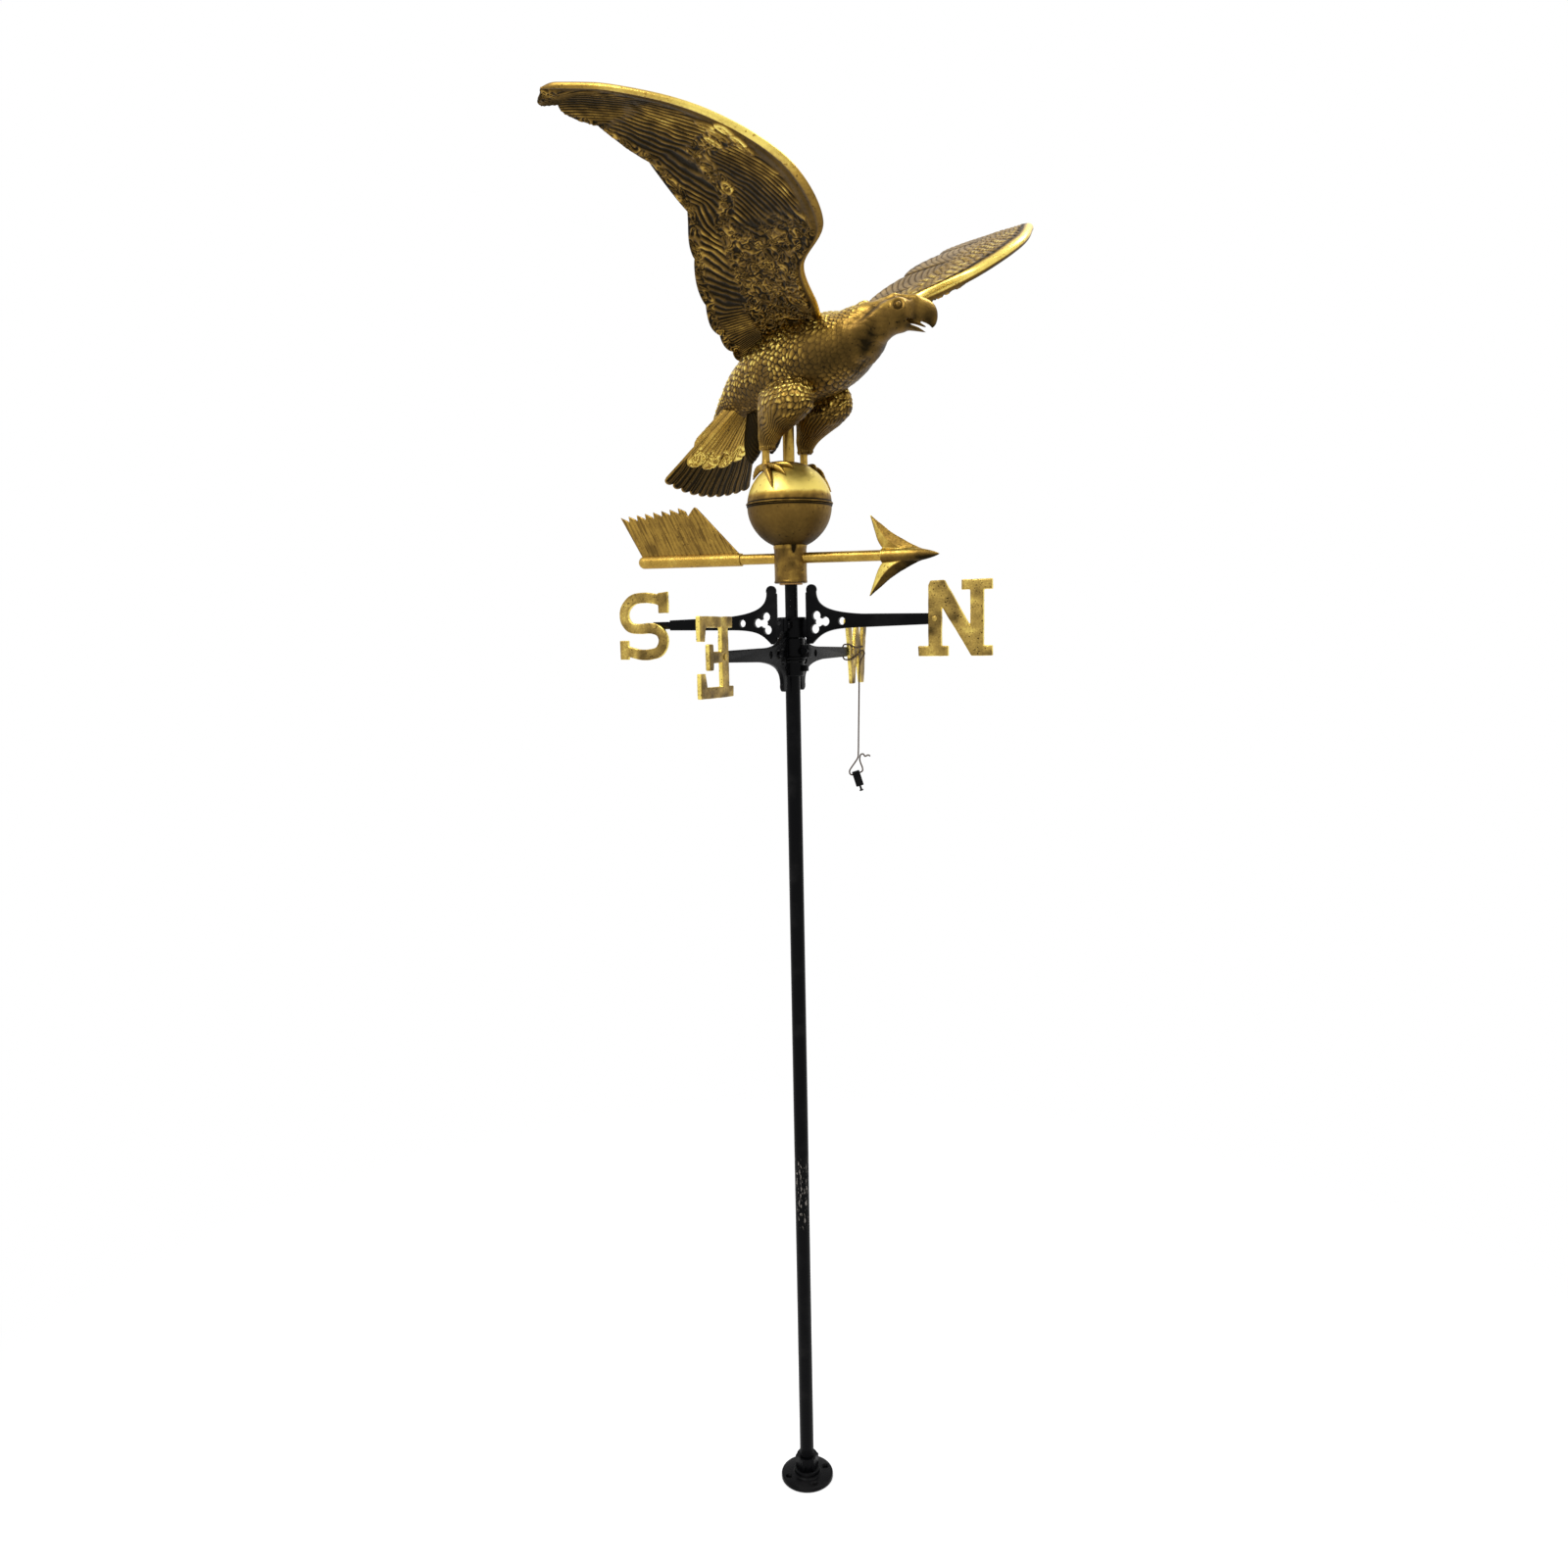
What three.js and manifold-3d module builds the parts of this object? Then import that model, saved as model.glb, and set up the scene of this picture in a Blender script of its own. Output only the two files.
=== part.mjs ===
// Eagle weathervane: a gilded copper eagle on a ball and arrow, turning on an iron mast with a floor flange,
// above four cast arms that carry the compass letters.
// Millimetres, +Z up. The origin is on the mast axis in the underside of the floor flange.
// +X is north, so +Y is west.
import * as THREE from 'three';
import { mergeVertices } from 'three/addons/utils/BufferGeometryUtils.js';
import Module from 'manifold-3d';

const wasm = await Module();
wasm.setup();

// Fits shared by every piece
const FIT = 0.3;
const OVERRUN = 3;
const ROUND = 20;
const SMALL_ROUND = 8;
const HEX = 6;
const CURVE_STEPS = 5;

// Mast, flange and locknut
const PIPE_OD = 21.3;
const PIPE_BORE = 15.8;
const PIPE_TOP = 1319;
const FLANGE_RADIUS = 39.7;
const FLANGE_THICK = 8;
const BOSS_RADIUS = 19.5;
const BOSS_TOP = 17;
const BOSS_FILLET = 3;
const FLANGE_SCREW_CIRCLE = 30;
const FLANGE_SCREW_BORE = 6.5;
const FLANGE_SCREWS = 4;
const FLANGE_SOCKET_FLOOR = 2.5;
const LOCKNUT_FLATS = 31;
const LOCKNUT_HEIGHT = 20;
const LOCKNUT_CHAMFER = 2.2;

// Cast arms of the compass
const PIPE_OVER_ARMS = 4;
const NORTH_SOUTH_HEIGHT = PIPE_TOP - PIPE_OVER_ARMS;
const PLATE_THICK = 6;
const SCROLL_OUT = 31.4;
const SCROLL_UP = 45;
const SCROLL_RADIUS = 7.5;
const HEEL_OUT = 32;
const ARM_TIP_HEIGHT = 15;
const ARM_ROOT_OUT = 108;
const ARM_ROOT_HEIGHT = 18.8;
const PIERCED_HOLE_OUT = 77.6;
const PIERCED_HOLE = 10.8;
const LOBE_RADIUS = 6.5;
const SADDLE_WALL = 6.85;
const SADDLE_OD = PIPE_OD + 2 * SADDLE_WALL;
const SADDLE_TOP = 7;
const SADDLE_BOTTOM = 22;
const RIM_PROUD = 3;
const RIM_OD = SADDLE_OD + 2 * RIM_PROUD;
const RIM_HEIGHT = 3;
const PLATE_BEYOND_RIM = 2.4;
const PLATE_INNER = RIM_OD / 2 + PLATE_BEYOND_RIM;
const SPLIT_GAP = 0.5;
const EAR_THICK = 5;
const EAR_TOP = 5;
const EAR_BOTTOM = 13;
const CLAMP_BOLT = 6;
const BOLT_HEAD_FLATS = 9.6;
const CLAMP_BOLT_OUT = SADDLE_OD / 2 + BOLT_HEAD_FLATS / 2 + FIT;
const CLAMP_BOLT_DROP = 4;
const EAR_EDGE = 5.4;
const EAR_REACH = CLAMP_BOLT_OUT + EAR_EDGE;
const PAIR_GAP = 1;
const PAIR_DROP = 2 * SADDLE_BOTTOM + PAIR_GAP;
const EAST_WEST_HEIGHT = NORTH_SOUTH_HEIGHT - PAIR_DROP;
const HEEL_DOWN = PAIR_DROP - EAR_BOTTOM - PAIR_GAP;
const BOLT_HEAD_HEIGHT = 4;
const NUT_HEIGHT = 5;
const BOLT_SPARE = 2.5;

// Spindle that plugs the pipe and carries the vane
const SPINDLE_LAND = 1.65;
const SPINDLE_OD = PIPE_OD - 2 * SPINDLE_LAND;
const PLUG_FIT = 0.4;
const SPINDLE_PLUG_OD = PIPE_BORE - 2 * PLUG_FIT;
const SPINDLE_PLUG_LENGTH = 90;
const PIVOT_OD = 12;
const PIVOT_UNDER_CENTRE = 8;
const PIVOT_CHAMFER = 1.2;
const PIVOT_RELIEF = 1;
const THRUST_BALL = 10;

// Collar, bush and spindle tube of the vane
const COLLAR_OD = 46;
const SCROLL_CLEARANCE = 2.5;
const COLLAR_BOTTOM = NORTH_SOUTH_HEIGHT + SCROLL_UP + SCROLL_RADIUS + SCROLL_CLEARANCE;
const COLLAR_RIM = 2.4;
const COLLAR_RIM_PROUD = 0.8;
const BUSH_OD = 27;
const BUSH_LENGTH = 10;
const BUSH_FLANGE_OD = 33;
const BUSH_FLANGE_THICK = 2;
const RUNNING_FIT = 0.4;
const TUBE_OD = 16;
const TUBE_IN_BODY = 28;
const SPINDLE_SHOULDER_TOP = COLLAR_BOTTOM + BUSH_LENGTH - PIVOT_RELIEF;

// Height of the arrow, and the ball that stands on its collar in two spun halves
const ARROW_STAND = 35;
const ARROW_HEIGHT = COLLAR_BOTTOM + ARROW_STAND;
const ROD_OD = 15;
const BALL_SIDES = 32;
const BALL_ROWS = 6;
const BALL_RADIUS = 59.8;
const BALL_OVER_ROD = 5.7;
const BALL_CENTRE = ARROW_HEIGHT + ROD_OD / 2 + BALL_OVER_ROD + BALL_RADIUS;
const BALL_TOP = BALL_CENTRE + BALL_RADIUS;
const PIVOT_TOP = BALL_CENTRE - PIVOT_UNDER_CENTRE;
const BALL_WALL = 1.6;
const BALL_RIM_PROUD = 1.9;
const BALL_RIM_HEIGHT = 3.4;
const BALL_UNDER_RIM_PROUD = 1;
const BALL_UNDER_RIM_HEIGHT = 1.8;

// Arrow through the collar
const ARROW_DROOP = THREE.MathUtils.degToRad(1);
const ROD_INNER_END = 11;
const POINT_TIP = 220;
const POINT_SOCKET = 137;
const POINT_SOCKET_DEPTH = 26;
const POINT_CONE_RADIUS = 9.4;
const BARB_REACH = 119.6;
const BARB_RISE = 56;
const BARB_THICK = 12;
const SLEEVE_OD = 18.6;
const SLEEVE_FRONT = 77;
const SLEEVE_REAR = 249;
const FRONT_ROD_END = POINT_SOCKET + POINT_SOCKET_DEPTH - FIT;
const REAR_ROD_END = 236;
const FLETCH_THICK = 3;
const FLETCH_FRONT = 80;
const SLEEVE_END = 5;
const FLETCH_REAR = SLEEVE_REAR - SLEEVE_END;
const FLETCH_RISE = 78;
const FLETCH_FALL = 10;
const FLETCH_REAR_RISE = FLETCH_RISE - FLETCH_FALL;
const FLETCH_SWEEP = 37;
const FLETCH_REAR_TIP = FLETCH_REAR + FLETCH_SWEEP;
const FLETCH_LEAN = FLETCH_SWEEP / FLETCH_REAR_RISE;
const FLETCH_TEETH = 8;
const FLETCH_TOOTH_DEPTH = 13;
const FLETCH_LAST_TOOTH = 182;
const FLETCH_CREST_STEP = 32;
const FLETCH_CREST = FLETCH_LAST_TOOTH - FLETCH_CREST_STEP;

// Stop collar under the arms
const STOP_COLLAR_WALL = 5.85;
const STOP_COLLAR_OD = PIPE_OD + 2 * STOP_COLLAR_WALL;
const STOP_COLLAR_HEIGHT = 24;
const STOP_LIP = 3;
const STOP_LIP_PROUD = 2;
const SET_SCREW = 7;
const SET_SCREW_HEAD = 8.6;
const SET_SCREW_STAND = 7;
const SET_SCREW_DROP = 13;

// Compass letters, riveted to the arms
const LETTER_HEIGHT = 101.6;
const LETTER_THICK = 6.4;
const LETTER_BEVEL = 1.1;
const LETTER_CENTRE = 242;
const LETTER_STROKE = 18.5;
const NORTH_WIDTH = 103;
const SOUTH_WIDTH = 86;
const EAST_WIDTH = 87;
const WEST_WIDTH = 92;
const TONGUE_THICK = 3;
const TONGUE_HEIGHT = 11;
const RIVET = 4.4;
const RIVET_HEAD = 8.4;
const RIVET_HEAD_RISE = 1.8;
const RIVET_SHOP_HEAD_RISE = 1.2;

// Eagle, in its own frame: u forward, v to its left, w up
const HEADING = THREE.MathUtils.degToRad(-25);
const SEAM_GAP = 0.4;
const BODY_BACK = 145;
const BODY_LENGTH = 283;
const BODY_WIDTH = 108;
const BODY_DEPTH = 112;
const BODY_STAND = 74.2;
const BODY_LOW = BALL_TOP + BODY_STAND;
const TUBE_TOP = BODY_LOW + TUBE_IN_BODY;
const BODY_RISE = 78;
const HEAD_TURN = THREE.MathUtils.degToRad(49);
const NECK_REACH = 50;
const HEAD_FORWARD = BODY_LENGTH - BODY_BACK + NECK_REACH;
const HEAD_LEFT = 26;
const EYE_RISE = 98;
const EYE_HEIGHT = BODY_LOW + EYE_RISE;
const HEAD_HEIGHT = 50;
const HEAD_WIDTH = 43;
const BEAK_LENGTH = 50;
const BEAK_WIDTH = 22;
const MOUTH_DROP = 14.5;
const WING_BEHIND_NECK = 33;
const WING_REACH = BODY_LENGTH - WING_BEHIND_NECK;
const WING_SPAN = 430;
const WING_ROOT_RISE = 88;
const WING_ROOT_HEIGHT = BODY_LOW + WING_ROOT_RISE;
const WING_RISE = 215;
const WING_THICK = 15;
const WING_CAMBER = 14;
const WING_STATIONS = 27;
const WING_FEATHER_STATIONS = 3;
const WING_SCALLOP = 6;
const LEFT_WING_REACH_SHARE = 0.96;
const LEFT_WING_SIZE_SHARE = 0.94;
const TAIL_SUNK = 50;
const TAIL_LENGTH = 97;
const TAIL_DROP = 107;
const TAIL_ROOT_RISE = 10;
const TAIL_ROOT_BACK = BODY_BACK - TAIL_SUNK;
const TAIL_BACK = TAIL_ROOT_BACK + TAIL_LENGTH;
const TAIL_ROOT_HEIGHT = BODY_LOW + TAIL_ROOT_RISE;
const TAIL_TIP_HEIGHT = TAIL_ROOT_HEIGHT - TAIL_DROP;
const TAIL_ROOT_HALF_WIDTH = 26;
const TAIL_HALF_WIDTH = 82;
const TAIL_DISH = 12;
const TAIL_THICK = 4.5;
const TAIL_FEATHERS = 10;
const TAIL_SCALLOP = 7;
const COVERT_SHARE = 0.6;
const COVERT_THICK = 5;
const COVERT_FEATHERS = 6;
const COVERT_SCALLOP = 9;
const VENT_SUNK = 3;
const VENT_TOP = BODY_LOW + VENT_SUNK;
const VENT_DROP = 70;
const VENT_CLEAR = 29;
const VENT_LENGTH = TAIL_ROOT_BACK - VENT_CLEAR;
const VENT_WIDTH = 26;
const LEG_APART = 35;
const THIGH_SUNK = 28;
const THIGH_TOP = BODY_LOW + THIGH_SUNK;
const THIGH_FORWARD = 36;
const THIGH_LENGTH = 102;
const THIGH_WIDTH = 48;
const ANKLE_BACK = 8;
const SHANK_WIDTH = 13;
const SHANK_HEIGHT = 22;
const ANKLE_UNDER_TOP = 7.8;
const THIGH_DROP = THIGH_TOP + ANKLE_UNDER_TOP - BALL_TOP - SHANK_HEIGHT;
const TOE_WIDTH = 9;
const TOE_REACH = 40;

// Twine tied round the west letter, with a small screw clamp hanging on it
const TWINE_OD = 2.5;
const TWINE_STEPS = 80;
const TWINE_SIDES = 8;
const CLAMP_NORTH = 5;
const CLAMP_WEST = 242.5;
const TWINE_HANG = 171;
const TWINE_KNOT_HEIGHT = EAST_WEST_HEIGHT - TWINE_HANG;
const CLAMP_WIDTH = 12.5;
const CLAMP_HEIGHT = 25;
const CLAMP_THICK = 11;
const CLAMP_CORNER = 1.2;
const CLAMP_TURN = THREE.MathUtils.degToRad(24);
const CLAMP_TILT = THREE.MathUtils.degToRad(17);
const CLAMP_BORE = 4.8;
const CLAMP_SCREW = 3.6;
const CLAMP_SCREW_HEAD = 7;
const CLAMP_SCREW_HEAD_HEIGHT = 2.2;
const CLAMP_SCREW_STAND = 6.4;
const CLAMP_SCREW_DEPTH = 9;

// Materials
function finish(colour, roughness, metalness) {
  return new THREE.MeshStandardMaterial({ color: colour, roughness, metalness });
}
const gilt = finish(0xc89a3c, 0.36, 1);
const paleGilt = finish(0xd0a94a, 0.34, 1);
const blackIron = finish(0x16171a, 0.55, 0.35);
const blackSteel = finish(0x1b1b1e, 0.5, 0.6);
const plainSteel = finish(0x8f9296, 0.3, 1);
const bronze = finish(0xa9793b, 0.38, 1);
const brownTwine = finish(0x4a3524, 0.95, 0);

// Solids: a closed mesh becomes a manifold for cutting and joining, and comes back as a geometry
function solid(geometry) {
  const bare = geometry.index ? geometry.toNonIndexed() : geometry.clone();
  bare.deleteAttribute('normal');
  bare.deleteAttribute('uv');
  const merged = mergeVertices(bare, 1e-4);
  const mesh = new wasm.Mesh({
    numProp: 3,
    vertProperties: new Float32Array(merged.attributes.position.array),
    triVerts: new Uint32Array(merged.index.array),
  });
  return new wasm.Manifold(mesh);
}

function geometryOf(manifold) {
  const mesh = manifold.getMesh();
  const geometry = new THREE.BufferGeometry();
  geometry.setAttribute('position', new THREE.BufferAttribute(new Float32Array(mesh.vertProperties), 3));
  geometry.setIndex(new THREE.BufferAttribute(new Uint32Array(mesh.triVerts), 1));
  return geometry;
}

function cut(geometry, ...tools) {
  return geometryOf(tools.reduce((whole, tool) => whole.subtract(solid(tool)), solid(geometry)));
}

function join(...geometries) {
  return geometryOf(geometries.map(solid).reduce((whole, piece) => whole.add(piece)));
}

function keep(geometry, tool) {
  return geometryOf(solid(geometry).intersect(solid(tool)));
}

// Basic forms
function turned(profile, segments = ROUND) {
  const points = profile.map(([radius, height]) => new THREE.Vector2(radius, height));
  return new THREE.LatheGeometry(points, segments).rotateX(Math.PI / 2);
}

function turnedRing(profile, segments = ROUND) {
  return turned([...profile, profile[0]], segments);
}

function rod(radius, bottom, top, segments = ROUND) {
  return turned([[0, bottom], [radius, bottom], [radius, top], [0, top]], segments);
}

function rodAlongX(radius, start, end, segments = ROUND) {
  return rod(radius, start, end, segments).rotateY(Math.PI / 2);
}

function rodAlongY(radius, start, end, segments = ROUND) {
  return rod(radius, start, end, segments).rotateX(-Math.PI / 2);
}

function block(low, high) {
  const size = high.map((value, axis) => value - low[axis]);
  const centre = high.map((value, axis) => (value + low[axis]) / 2);
  return new THREE.BoxGeometry(...size).translate(...centre);
}

// A plate standing in the XZ plane, centred on Y
function plate(shape, thick, bevel = 0) {
  const core = thick - 2 * bevel;
  const geometry = new THREE.ExtrudeGeometry(shape, {
    depth: core,
    bevelEnabled: bevel > 0,
    bevelSize: bevel,
    bevelThickness: bevel,
    bevelOffset: -bevel,
    bevelSegments: 1,
    curveSegments: CURVE_STEPS,
  });
  return geometry.translate(0, 0, -core / 2).rotateX(Math.PI / 2);
}

function shapeOf(points) {
  return new THREE.Shape(points.map(([x, y]) => new THREE.Vector2(x, y)));
}

// A closed skin over rings of equal count, capped at both ends
function skin(rings) {
  const count = rings[0].length;
  const points = rings.flat();
  const faces = [];
  for (let ring = 0; ring + 1 < rings.length; ring += 1) {
    for (let side = 0; side < count; side += 1) {
      const next = (side + 1) % count;
      const low = ring * count;
      const high = low + count;
      faces.push(low + side, low + next, high + next, low + side, high + next, high + side);
    }
  }
  for (const [ring, flip] of [[0, true], [rings.length - 1, false]]) {
    const centre = rings[ring].reduce((sum, point) => sum.add(point), new THREE.Vector3()).divideScalar(count);
    const middle = points.push(centre) - 1;
    for (let side = 0; side < count; side += 1) {
      const here = ring * count + side;
      const next = ring * count + ((side + 1) % count);
      faces.push(middle, flip ? next : here, flip ? here : next);
    }
  }
  const geometry = new THREE.BufferGeometry().setFromPoints(points);
  geometry.setIndex(outward(points, faces));
  return geometry;
}

// Turns the faces round where they enclose a negative volume
function outward(points, faces) {
  let volume = 0;
  for (let face = 0; face < faces.length; face += 3) {
    const [a, b, c] = [0, 1, 2].map((corner) => points[faces[face + corner]]);
    volume += a.dot(new THREE.Vector3().crossVectors(b, c));
  }
  return volume > 0 ? faces : faces.slice().reverse();
}

// A limb of oval rings along a smooth path: each station is [place, half height, half width].
// The rings stand square to the path, or all square to one given direction.
function limb(stations, sides, steps, reference, grow = 0, direction = null) {
  const places = stations.map(([place]) => new THREE.Vector3(...place));
  const path = new THREE.CatmullRomCurve3(places, false, 'centripetal');
  const sizes = new THREE.CatmullRomCurve3(
    stations.map(([, height, width]) => new THREE.Vector3(height, width, 0)), false, 'catmullrom');
  const rings = [];
  for (let step = 0; step <= steps; step += 1) {
    const share = step / steps;
    const centre = path.getPoint(share);
    const along = direction ?? path.getTangent(share);
    const across = new THREE.Vector3().crossVectors(reference, along).normalize();
    const up = new THREE.Vector3().crossVectors(along, across).normalize();
    const { x: height, y: width } = sizes.getPoint(share);
    const stretch = step === 0 ? -grow : step === steps ? grow : 0;
    rings.push(Array.from({ length: sides }, (_, side) => {
      const angle = (2 * Math.PI * side) / sides;
      return centre.clone()
        .addScaledVector(along, stretch)
        .addScaledVector(up, (height + grow) * Math.cos(angle))
        .addScaledVector(across, (width + grow) * Math.sin(angle));
    }));
  }
  return skin(rings);
}

function tube(points, diameter, steps, sides) {
  const places = points.map((point) => new THREE.Vector3(...point));
  const path = new THREE.CatmullRomCurve3(places, false, 'centripetal');
  const section = new THREE.Shape(Array.from({ length: sides }, (_, side) => {
    const angle = (2 * Math.PI * side) / sides;
    return new THREE.Vector2((diameter / 2) * Math.cos(angle), (diameter / 2) * Math.sin(angle));
  }));
  return new THREE.ExtrudeGeometry(section, { steps, extrudePath: path, bevelEnabled: false });
}

const vane = new THREE.Group();
const mast = new THREE.Group();
const eagle = new THREE.Group();

function add(group, name, geometry, material) {
  const mesh = new THREE.Mesh(geometry, material);
  mesh.name = name;
  group.add(mesh);
  return mesh;
}

// Floor flange with its screw holes and a threaded boss
function floorFlange() {
  const edge = FLANGE_THICK / 5;
  const body = turned([
    [0, 0],
    [FLANGE_RADIUS, 0],
    [FLANGE_RADIUS, FLANGE_THICK - edge],
    [FLANGE_RADIUS - edge, FLANGE_THICK],
    [BOSS_RADIUS + BOSS_FILLET, FLANGE_THICK],
    [BOSS_RADIUS, FLANGE_THICK + BOSS_FILLET],
    [BOSS_RADIUS, BOSS_TOP - edge],
    [BOSS_RADIUS - edge, BOSS_TOP],
    [0, BOSS_TOP],
  ]);
  const socket = rod(PIPE_OD / 2 + FIT, FLANGE_SOCKET_FLOOR, BOSS_TOP + OVERRUN);
  const screws = Array.from({ length: FLANGE_SCREWS }, (_, index) => {
    const angle = (2 * Math.PI * (index + 0.5)) / FLANGE_SCREWS;
    return rod(FLANGE_SCREW_BORE / 2, -OVERRUN, FLANGE_THICK + OVERRUN, SMALL_ROUND)
      .translate(FLANGE_SCREW_CIRCLE * Math.cos(angle), FLANGE_SCREW_CIRCLE * Math.sin(angle), 0);
  });
  return cut(body, socket, ...screws);
}

function hexagon(flats, bottom, top) {
  return rod(flats / Math.sqrt(3), bottom, top, HEX);
}

function locknut() {
  const bottom = BOSS_TOP + FIT;
  const top = bottom + LOCKNUT_HEIGHT;
  const corner = LOCKNUT_FLATS / Math.sqrt(3);
  const crown = turned([
    [0, bottom],
    [corner, bottom],
    [corner, top - LOCKNUT_CHAMFER / 2],
    [corner - LOCKNUT_CHAMFER, top],
    [0, top],
  ]);
  const bore = rod(PIPE_OD / 2 + FIT, bottom - OVERRUN, top + OVERRUN);
  return cut(keep(hexagon(LOCKNUT_FLATS, bottom, top), crown), bore);
}

function mastPipe() {
  const bottom = FLANGE_SOCKET_FLOOR + FIT;
  return turnedRing([
    [PIPE_BORE / 2, bottom],
    [PIPE_OD / 2, bottom],
    [PIPE_OD / 2, PIPE_TOP],
    [PIPE_BORE / 2, PIPE_TOP],
  ]);
}

function spindle() {
  const shoulder = PIPE_TOP + FIT;
  return turned([
    [0, shoulder - SPINDLE_PLUG_LENGTH],
    [SPINDLE_PLUG_OD / 2, shoulder - SPINDLE_PLUG_LENGTH],
    [SPINDLE_PLUG_OD / 2, shoulder],
    [SPINDLE_OD / 2, shoulder],
    [SPINDLE_OD / 2, SPINDLE_SHOULDER_TOP],
    [PIVOT_OD / 2, SPINDLE_SHOULDER_TOP],
    [PIVOT_OD / 2, PIVOT_TOP - PIVOT_CHAMFER],
    [PIVOT_OD / 2 - PIVOT_CHAMFER, PIVOT_TOP],
    [0, PIVOT_TOP],
  ]);
}

// Outline of one arm casting, arm axis on height zero, hub to the left
function castingShape() {
  const inner = PLATE_INNER;
  const half = ARM_TIP_HEIGHT / 2;
  const root = ARM_ROOT_HEIGHT / 2;
  const shape = new THREE.Shape();
  shape.moveTo(inner, -HEEL_DOWN);
  shape.lineTo(HEEL_OUT, -HEEL_DOWN);
  shape.bezierCurveTo(HEEL_OUT + HEEL_DOWN / 2, -HEEL_DOWN / 2, ARM_ROOT_OUT / 2, -root, ARM_ROOT_OUT, -root);
  shape.lineTo(LETTER_CENTRE, -half);
  shape.lineTo(LETTER_CENTRE, half);
  shape.lineTo(ARM_ROOT_OUT, root);
  shape.bezierCurveTo(
    ARM_ROOT_OUT / 2, root + SCROLL_RADIUS / 2,
    SCROLL_OUT + SCROLL_RADIUS, SCROLL_UP / 2,
    SCROLL_OUT + SCROLL_RADIUS / 4, SCROLL_UP - SCROLL_RADIUS,
  );
  shape.lineTo(SCROLL_OUT, SCROLL_UP);
  shape.lineTo(SCROLL_OUT, SCROLL_UP + SCROLL_RADIUS * 0.97);
  shape.lineTo(inner, SCROLL_UP + SCROLL_RADIUS * 0.6);
  shape.closePath();
  return shape;
}

function saddle() {
  const bottom = -SADDLE_BOTTOM;
  const top = SADDLE_TOP;
  const shell = turned([
    [0, bottom],
    [SADDLE_OD / 2, bottom],
    [SADDLE_OD / 2, top - RIM_HEIGHT],
    [RIM_OD / 2, top - RIM_HEIGHT * 0.6],
    [RIM_OD / 2, top - RIM_HEIGHT * 0.2],
    [RIM_OD / 2 - RIM_HEIGHT / 3, top],
    [0, top],
  ]);
  const ears = block([SPLIT_GAP / 2, -EAR_REACH, -EAR_BOTTOM], [EAR_THICK, EAR_REACH, EAR_TOP]);
  const webEnd = PLATE_INNER + PLATE_THICK / 4;
  const web = block([0, -PLATE_THICK / 2, bottom], [webEnd, PLATE_THICK / 2, top - RIM_HEIGHT]);
  return join(shell, ears, web);
}

// One cast arm: scroll, pierced plate, half saddle with ears, and a thin tongue on one side of its letter
function arm(letter) {
  const lobes = [
    [LOBE_RADIUS * 6.05, LOBE_RADIUS * 1.3],
    [LOBE_RADIUS * 8.1, 0],
    [LOBE_RADIUS * 5.7, -LOBE_RADIUS * 1.55],
    [LOBE_RADIUS * 6.6, -LOBE_RADIUS * 0.1],
  ];
  const scroll = rodAlongY(SCROLL_RADIUS, -PLATE_THICK / 2, PLATE_THICK / 2, SMALL_ROUND)
    .translate(SCROLL_OUT, 0, SCROLL_UP);
  const whole = join(plate(castingShape(), PLATE_THICK), scroll, saddle());
  const side = PLATE_THICK / 2 + OVERRUN;
  const holes = [...lobes, [PIERCED_HOLE_OUT, 0]].map(([x, z], index) => {
    const radius = index < lobes.length ? LOBE_RADIUS : PIERCED_HOLE / 2;
    return rodAlongY(radius, -side, side, SMALL_ROUND).translate(x, 0, z);
  });
  const bolts = [-1, 1].map((hand) => (
    rodAlongX(CLAMP_BOLT / 2 + FIT, -EAR_THICK, EAR_THICK + OVERRUN, SMALL_ROUND)
      .translate(0, hand * CLAMP_BOLT_OUT, -CLAMP_BOLT_DROP)
  ));
  const tongueFace = PLATE_THICK / 2 - TONGUE_THICK;
  const beyond = LETTER_CENTRE + OVERRUN;
  const seat = block([letter.edge, -side, -ARM_TIP_HEIGHT], [beyond, tongueFace, ARM_TIP_HEIGHT]);
  const trims = [-1, 1].map((hand) => {
    const ends = [(hand * TONGUE_HEIGHT) / 2, hand * ARM_TIP_HEIGHT].sort((a, b) => a - b);
    return block([letter.edge, -side, ends[0]], [beyond, side, ends[1]]);
  });
  const end = block([letter.tongueEnd, -side, -ARM_TIP_HEIGHT], [beyond, side, ARM_TIP_HEIGHT]);
  const rivetHole = rodAlongY(RIVET / 2 + FIT, -side, side, SMALL_ROUND).translate(letter.rivet, 0, 0);
  const turn = letter.tongueSide > 0 ? 0 : Math.PI;
  return cut(
    whole,
    ...holes,
    rod(PIPE_OD / 2 + FIT, -SADDLE_BOTTOM - OVERRUN, SADDLE_TOP + OVERRUN),
    block([-RIM_OD, -RIM_OD, -SADDLE_BOTTOM - OVERRUN], [SPLIT_GAP / 2, RIM_OD, SADDLE_TOP + OVERRUN]),
    ...bolts,
    ...[seat, ...trims, end, rivetHole].map((tool) => tool.rotateX(turn)),
  );
}

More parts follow.
